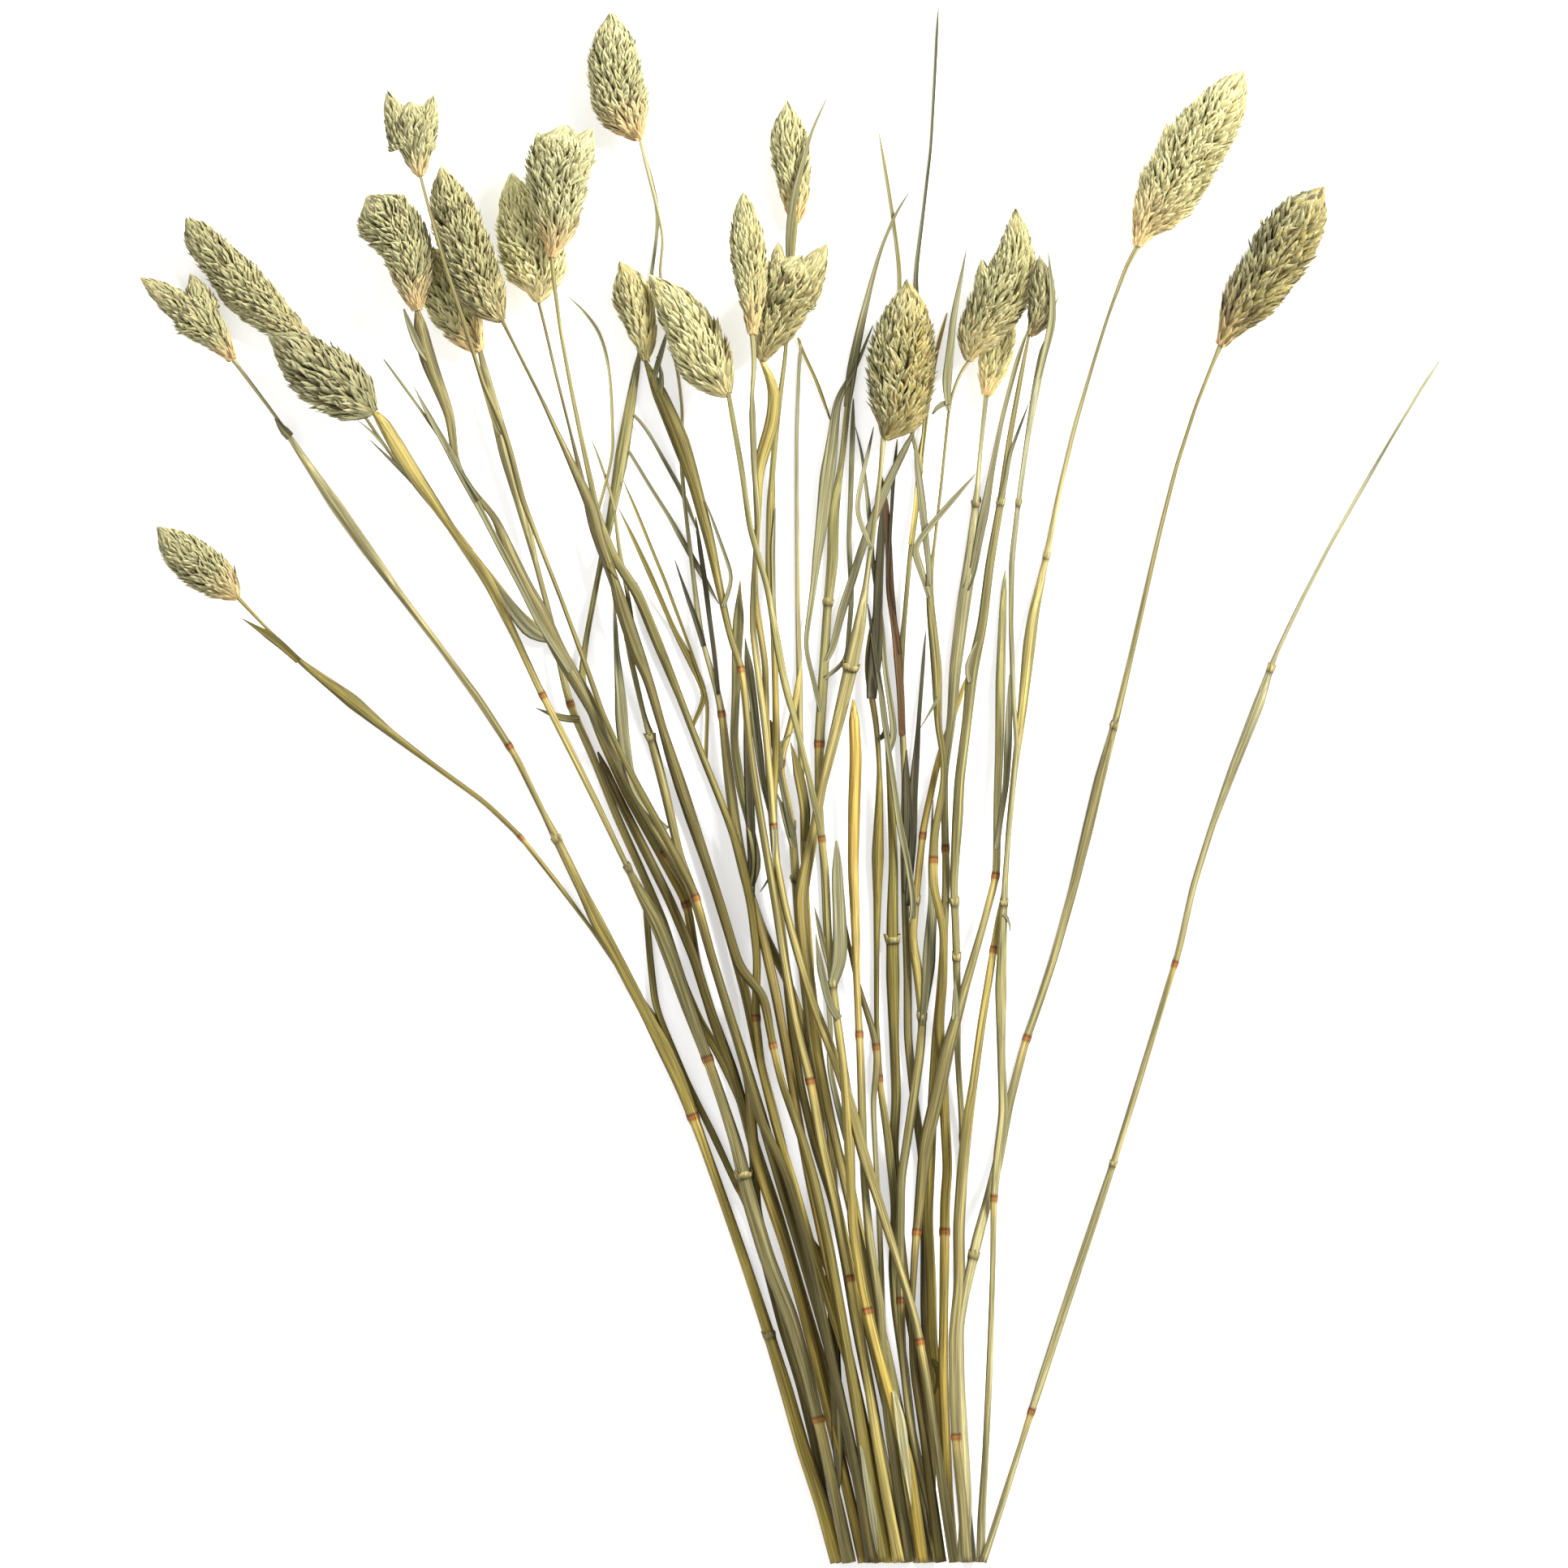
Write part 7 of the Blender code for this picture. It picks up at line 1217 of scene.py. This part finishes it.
def rounded(route):
    """The route with a flat dome at its end: steps of CAP x half width on, CAP_WIDTH x the width."""
    last = route[-1]
    way = (last - route[-2])[:3]
    steps = way / np.linalg.norm(way) * (CAP * last[3] / 2)[:, None]
    dome = np.concatenate([last[:3] + steps, (CAP_WIDTH * last[3])[:, None]], axis=1)
    return np.concatenate([route, dome])


print("side spikes:", sum(len(lobes) for lobes in LOBES.values()))

# %% [markdown]
# ## The husks' places
# A place on the head is given by the distance along it, the turn round it and the share of its
# radius. Roots, bellies and tips are worked out that way for all the husks at once, and a husk is a
# soft curve through the three. Husks modelled one by one would not follow a bent head.

# %% The surface of a head, and its husks


def head_surface(points):
    """A function from (distance along, turn, share of the radius) to places on the head's egg.
    Past the top the radius closes as a dome, R sqrt(1 - (past / R)^2)."""
    line = centre_line(points)
    length = line[0][-1]
    end = line[2][-1] / 2

    def place(s, turn, share):
        spots, width, along, across, up = on_line(line, np.clip(s, 0, length))
        past = np.maximum(s - length, 0)
        dome = np.sqrt(np.maximum(LEAST_DOME ** 2, 1 - (past / max(end, LEAST_END)) ** 2))
        radius = width / 2 * np.where(past > 0, dome, 1) * share
        out = (across * np.cos(turn)[:, None] + up * np.sin(turn)[:, None] * HEAD_DEPTH)
        return spots + along * past[:, None] + out * radius[:, None], out, along

    return place, length, line


def add_head(skin, name, points, rng, main):
    """A core, and husks from (s, turn) on the core to a tip further along on the outer egg."""
    size, lightness, warmth, darkness, gold = HEAD_LOOKS[name]
    place, length, line = head_surface(points)
    colours = {key: np.array(value) * lightness for key, value in HUSK_COLOURS.items()}
    s = np.repeat(np.linspace(0, length, CORE_RINGS), CORE_TURNS)
    turn = np.tile(np.arange(CORE_TURNS) * 2 * np.pi / CORE_TURNS, CORE_RINGS)
    core = place(s, turn, np.full(len(s), CORE_SHARE))[0].reshape(CORE_RINGS, CORE_TURNS, 3)
    # The core is painted shade that shows through the gaps between the husks.
    skin.add(core, np.ones_like(core) * colours["shade"] * CORE_SHADE, core)

    reach = HUSK_LENGTH * size
    start = np.linspace(-BELOW_HEAD * reach, 0, BELOW_STEPS)[:-1]
    reached = np.interp(start + TIP_PART * reach, line[0], line[2]) * NECK_WIDTH
    s = np.concatenate([start, line[0]])
    across = np.concatenate([reached, line[2]])
    area = np.cumsum(across * np.hypot(np.gradient(s), np.gradient(across) / 2)) * np.pi
    count = int(area[-1] / (size * size * HUSK_SPACE))
    order = np.arange(count)
    middle = np.interp((order + rng.uniform(*STEP_UNEVEN, count)) / count, area / area[-1], s)
    turn = order * GOLDEN_ANGLE + rng.normal(0, TURN_UNEVEN, count)
    grow = reach * rng.uniform(*HUSK_SIZES, count)
    root = np.clip(middle - grow * ROOT_PART, 0, None)
    base = place(root, turn, np.full(count, CORE_SHARE * ROOT_IN))[0]
    tip, out, _ = place(middle + grow * TIP_PART, turn + rng.normal(0, TIP_LEAN, count),
                        TIP_OUT + rng.normal(0, TIP_UNEVEN, count))
    belly = place(middle - grow * BELLY_BACK, turn, np.full(count, BELLY_OUT))[0]
    t = HUSK_STATIONS[None, :, None]
    spine = (1 - t) ** 2 * base[:, None] + 2 * t * (1 - t) * belly[:, None] + t ** 2 * tip[:, None]
    way = tip - base
    way /= np.linalg.norm(way, axis=1, keepdims=True)
    side = np.cross(way, out)
    side /= np.linalg.norm(side, axis=1, keepdims=True)
    keel = np.cross(side, way)
    twist = rng.normal(0, TWIST, count)[:, None]
    side, keel = (side * np.cos(twist) + keel * np.sin(twist), keel * np.cos(twist) - side * np.sin(twist))
    wide = size / 2 * rng.uniform(*HUSK_SIZES, count)[:, None] * HUSK_WIDTHS[None, :]
    sideways, back = side[:, None] * wide[..., None], keel[:, None] * wide[..., None]
    ring = np.stack([sideways, back * KEEL_OUT, -sideways, -back * KEEL_IN], axis=2)
    rings = spine[:, :, None] + ring

    tone = rng.uniform(*HUSK_TONES, (count, 1, 1))
    # Painted shade at each husk's root, turning to cream toward its tip.
    share = CREAM_SHARES[None, :, None]
    body = colours["shade"] * (1 - share) + colours["cream"] * share
    warm = warmth * main * (1 - middle / (WARM_PART * length)) + rng.normal(0, WARM_UNEVEN, count)
    warm = WARM_MOST * np.clip(warm, 0, 1)[:, None, None]
    body = body * (1 - warm) + colours["warm"] * warm
    # Gold all over, and more of it as painted light on the same side of every head.
    gold_and_painted_light = GOLD_ALL_OVER + PAINTED_LIGHT_ONE_SIDE * (out @ LIT_SIDE) + rng.normal(0, GOLD_UNEVEN, count)
    gold_and_painted_light = gold * np.clip(gold_and_painted_light, 0, 1)[:, None, None]
    body = body * (1 - gold_and_painted_light) + colours["gold"] * gold_and_painted_light
    dark = (rng.uniform(0, 1, count) < darkness)[:, None, None] * DARK_SHARE
    body = (body * (1 - dark) + colours["dark"] * dark) * tone
    tint = np.repeat(body[:, :, None], 4, axis=2) * HUSK_SIDE_SHADING[None, None, :, None]
    tip_tint = colours["tip"] * tone[:, 0] * (1 - DARK_TIP * dark[:, 0])
    across = np.array([1.0, 0.0, -1.0, 0.0])[None, None, :] * wide[..., None]
    grain = np.stack([across + rng.uniform(0, GRAIN_APART, (count, 1, 1)), across * 0,
                      np.broadcast_to(t * reach, across.shape)], axis=-1)
    add_husks(skin, rings, tip, tint, tip_tint, grain)
    return count


def add_husks(skin, rings, tip, tint, tip_tint, grain):
    """Many rows of rings at once: corner c of husk h has number h x corners + c, tip and foot last."""
    count, n, m = rings.shape[:3]
    corners = n * m + 2
    k, j = np.meshgrid(np.arange(n - 1), np.arange(m), indexing="ij")
    after = (j + 1) % m
    quads = np.stack([k * m + j, (k + 1) * m + j, (k + 1) * m + after, k * m + after], -1).reshape(-1, 4)
    rim = np.arange(m)
    turn = (rim + 1) % m
    fans = np.concatenate([np.stack([rim, turn, np.full(m, n * m + 1)], -1),
                           np.stack([(n - 1) * m + turn, (n - 1) * m + rim, np.full(m, n * m)], -1)])
    start = (np.arange(count) * corners)[:, None, None] + skin.count
    skin.quads.append((quads[None] + start).reshape(-1, 4))
    skin.fans.append((fans[None] + start).reshape(-1, 3))
    for store, values, last in ((skin.points, rings, tip), (skin.tints, tint, tip_tint),
                                (skin.grains, grain, grain[:, -1].mean(axis=1))):
        foot = values[:, 0].mean(axis=1)
        store.append(np.concatenate([values.reshape(count, -1, 3), last[:, None], foot[:, None]],
                                    axis=1).reshape(-1, 3))
    skin.count += count * corners


# %% [markdown]
# ## Making the bunch
# Every plant now gets its leafy stem and, where it has one, its head. The random numbers start from
# a fixed seed for each plant, so a later change to one plant leaves the others as they are. One stream
# of numbers for the whole bunch would change every head whenever one leaf is added.

# %% All stems and heads
PLANT_APART = 700.0     # mm between the fibres of two plants, so that no two share their streaks
LEAF_APART = 90.0       # and of a leaf and the next
triangles = 0
husks = 0
for number, (name, (culm, head, leaves)) in enumerate(ROUTES.items()):
    chance = np.random.default_rng(number)
    stem = Skin()
    fibres = number * PLANT_APART
    add_culm(stem, name, culm, fibres)
    for order, leaf in enumerate(leaves):
        add_leaf(stem, name, order, leaf, fibres + LEAF_APART * (order + 1), chance)
    triangles += place_piece(stem, "leafy_stem_" + name, "stem_" + name, straw, True)
    if head is not None:
        crown = Skin()
        for spike, route in enumerate(head_routes(name, head)):
            husks += add_head(crown, name, route, chance, spike == 0)
        triangles += place_piece(crown, "seed_head_" + name, "head_" + name, husk, False)
print("husks:", husks, "triangles:", triangles)

# %% [markdown]
# ## Floor, light and camera
# The bunch lies on a pale floor and is seen from straight above. A broad soft lamp at the upper right
# gives each straw its light side, and a weak lamp from the left and a bright sky fill the shadows.
# The view is parallel, because a near camera would spread the straws that lie higher on the pile.

# %% Stage
VIEW_SIZE = 386.4       # mm of the table from edge to edge of the view
VIEW_HEIGHT = 1.4       # m
FLOOR_HALF = 3.0        # m
FLOOR_DROP = 0.0002     # m by which the floor lies below the table plane
FLOOR_SHADE = 0.9
FLOOR_ROUGHNESS = 0.9
FLOOR_GLOW = 0.5        # keeps the floor as white as the photograph's ground
SKY_GLOW = 0.5
WHITE = (1, 1, 1, 1)


def add_lamp(name, place, size, power):
    """A square lamp of a size in metres and a power in watts that faces the middle of the bunch."""
    lamp = bpy.data.lights.new(name, "AREA")
    lamp.shape = "SQUARE"
    lamp.size = size
    lamp.energy = power
    item = bpy.data.objects.new(name, lamp)
    bpy.context.scene.collection.objects.link(item)
    item.location = place
    way = -np.array(place)
    flat = np.hypot(way[0], way[1])
    item.rotation_euler = (np.arctan2(flat, -way[2]), 0, np.arctan2(-way[0], way[1]))
    return item


floor_mesh = bpy.data.meshes.new("floor")
corners = [(x * FLOOR_HALF, y * FLOOR_HALF, 0) for x, y in ((-1, -1), (1, -1), (1, 1), (-1, 1))]
floor_mesh.from_pydata(corners, [], [(0, 1, 2, 3)])
floor = bpy.data.objects.new("floor", floor_mesh)
floor.location = (0, 0, -FLOOR_DROP)
paint = bpy.data.materials.new("pale_floor")
paint.use_nodes = True
paint_inputs = paint.node_tree.nodes["Principled BSDF"].inputs
paint_inputs["Base Color"].default_value = (FLOOR_SHADE, FLOOR_SHADE, FLOOR_SHADE, 1)
paint_inputs["Emission Color"].default_value = WHITE
paint_inputs["Emission Strength"].default_value = FLOOR_GLOW
paint_inputs["Roughness"].default_value = FLOOR_ROUGHNESS
floor_mesh.materials.append(paint)
bpy.context.scene.collection.objects.link(floor)

world = bpy.data.worlds.new("sky")
world.use_nodes = True
world.node_tree.nodes["Background"].inputs["Color"].default_value = WHITE
world.node_tree.nodes["Background"].inputs["Strength"].default_value = SKY_GLOW
bpy.context.scene.world = world
add_lamp("key", (0.6, 0.6, 0.75), size=0.35, power=23)
add_lamp("fill", (-0.5, -0.2, 1.0), size=0.9, power=3)

view = bpy.data.cameras.new("view_from_above")
view.type = "ORTHO"
view.ortho_scale = VIEW_SIZE * MM
camera = bpy.data.objects.new("view_from_above", view)
camera.location = (-VIEW_SHIFT[0] * MM, -VIEW_SHIFT[1] * MM, VIEW_HEIGHT)
bpy.context.scene.collection.objects.link(camera)
bpy.context.scene.camera = camera
bpy.context.scene.view_settings.view_transform = "Standard"
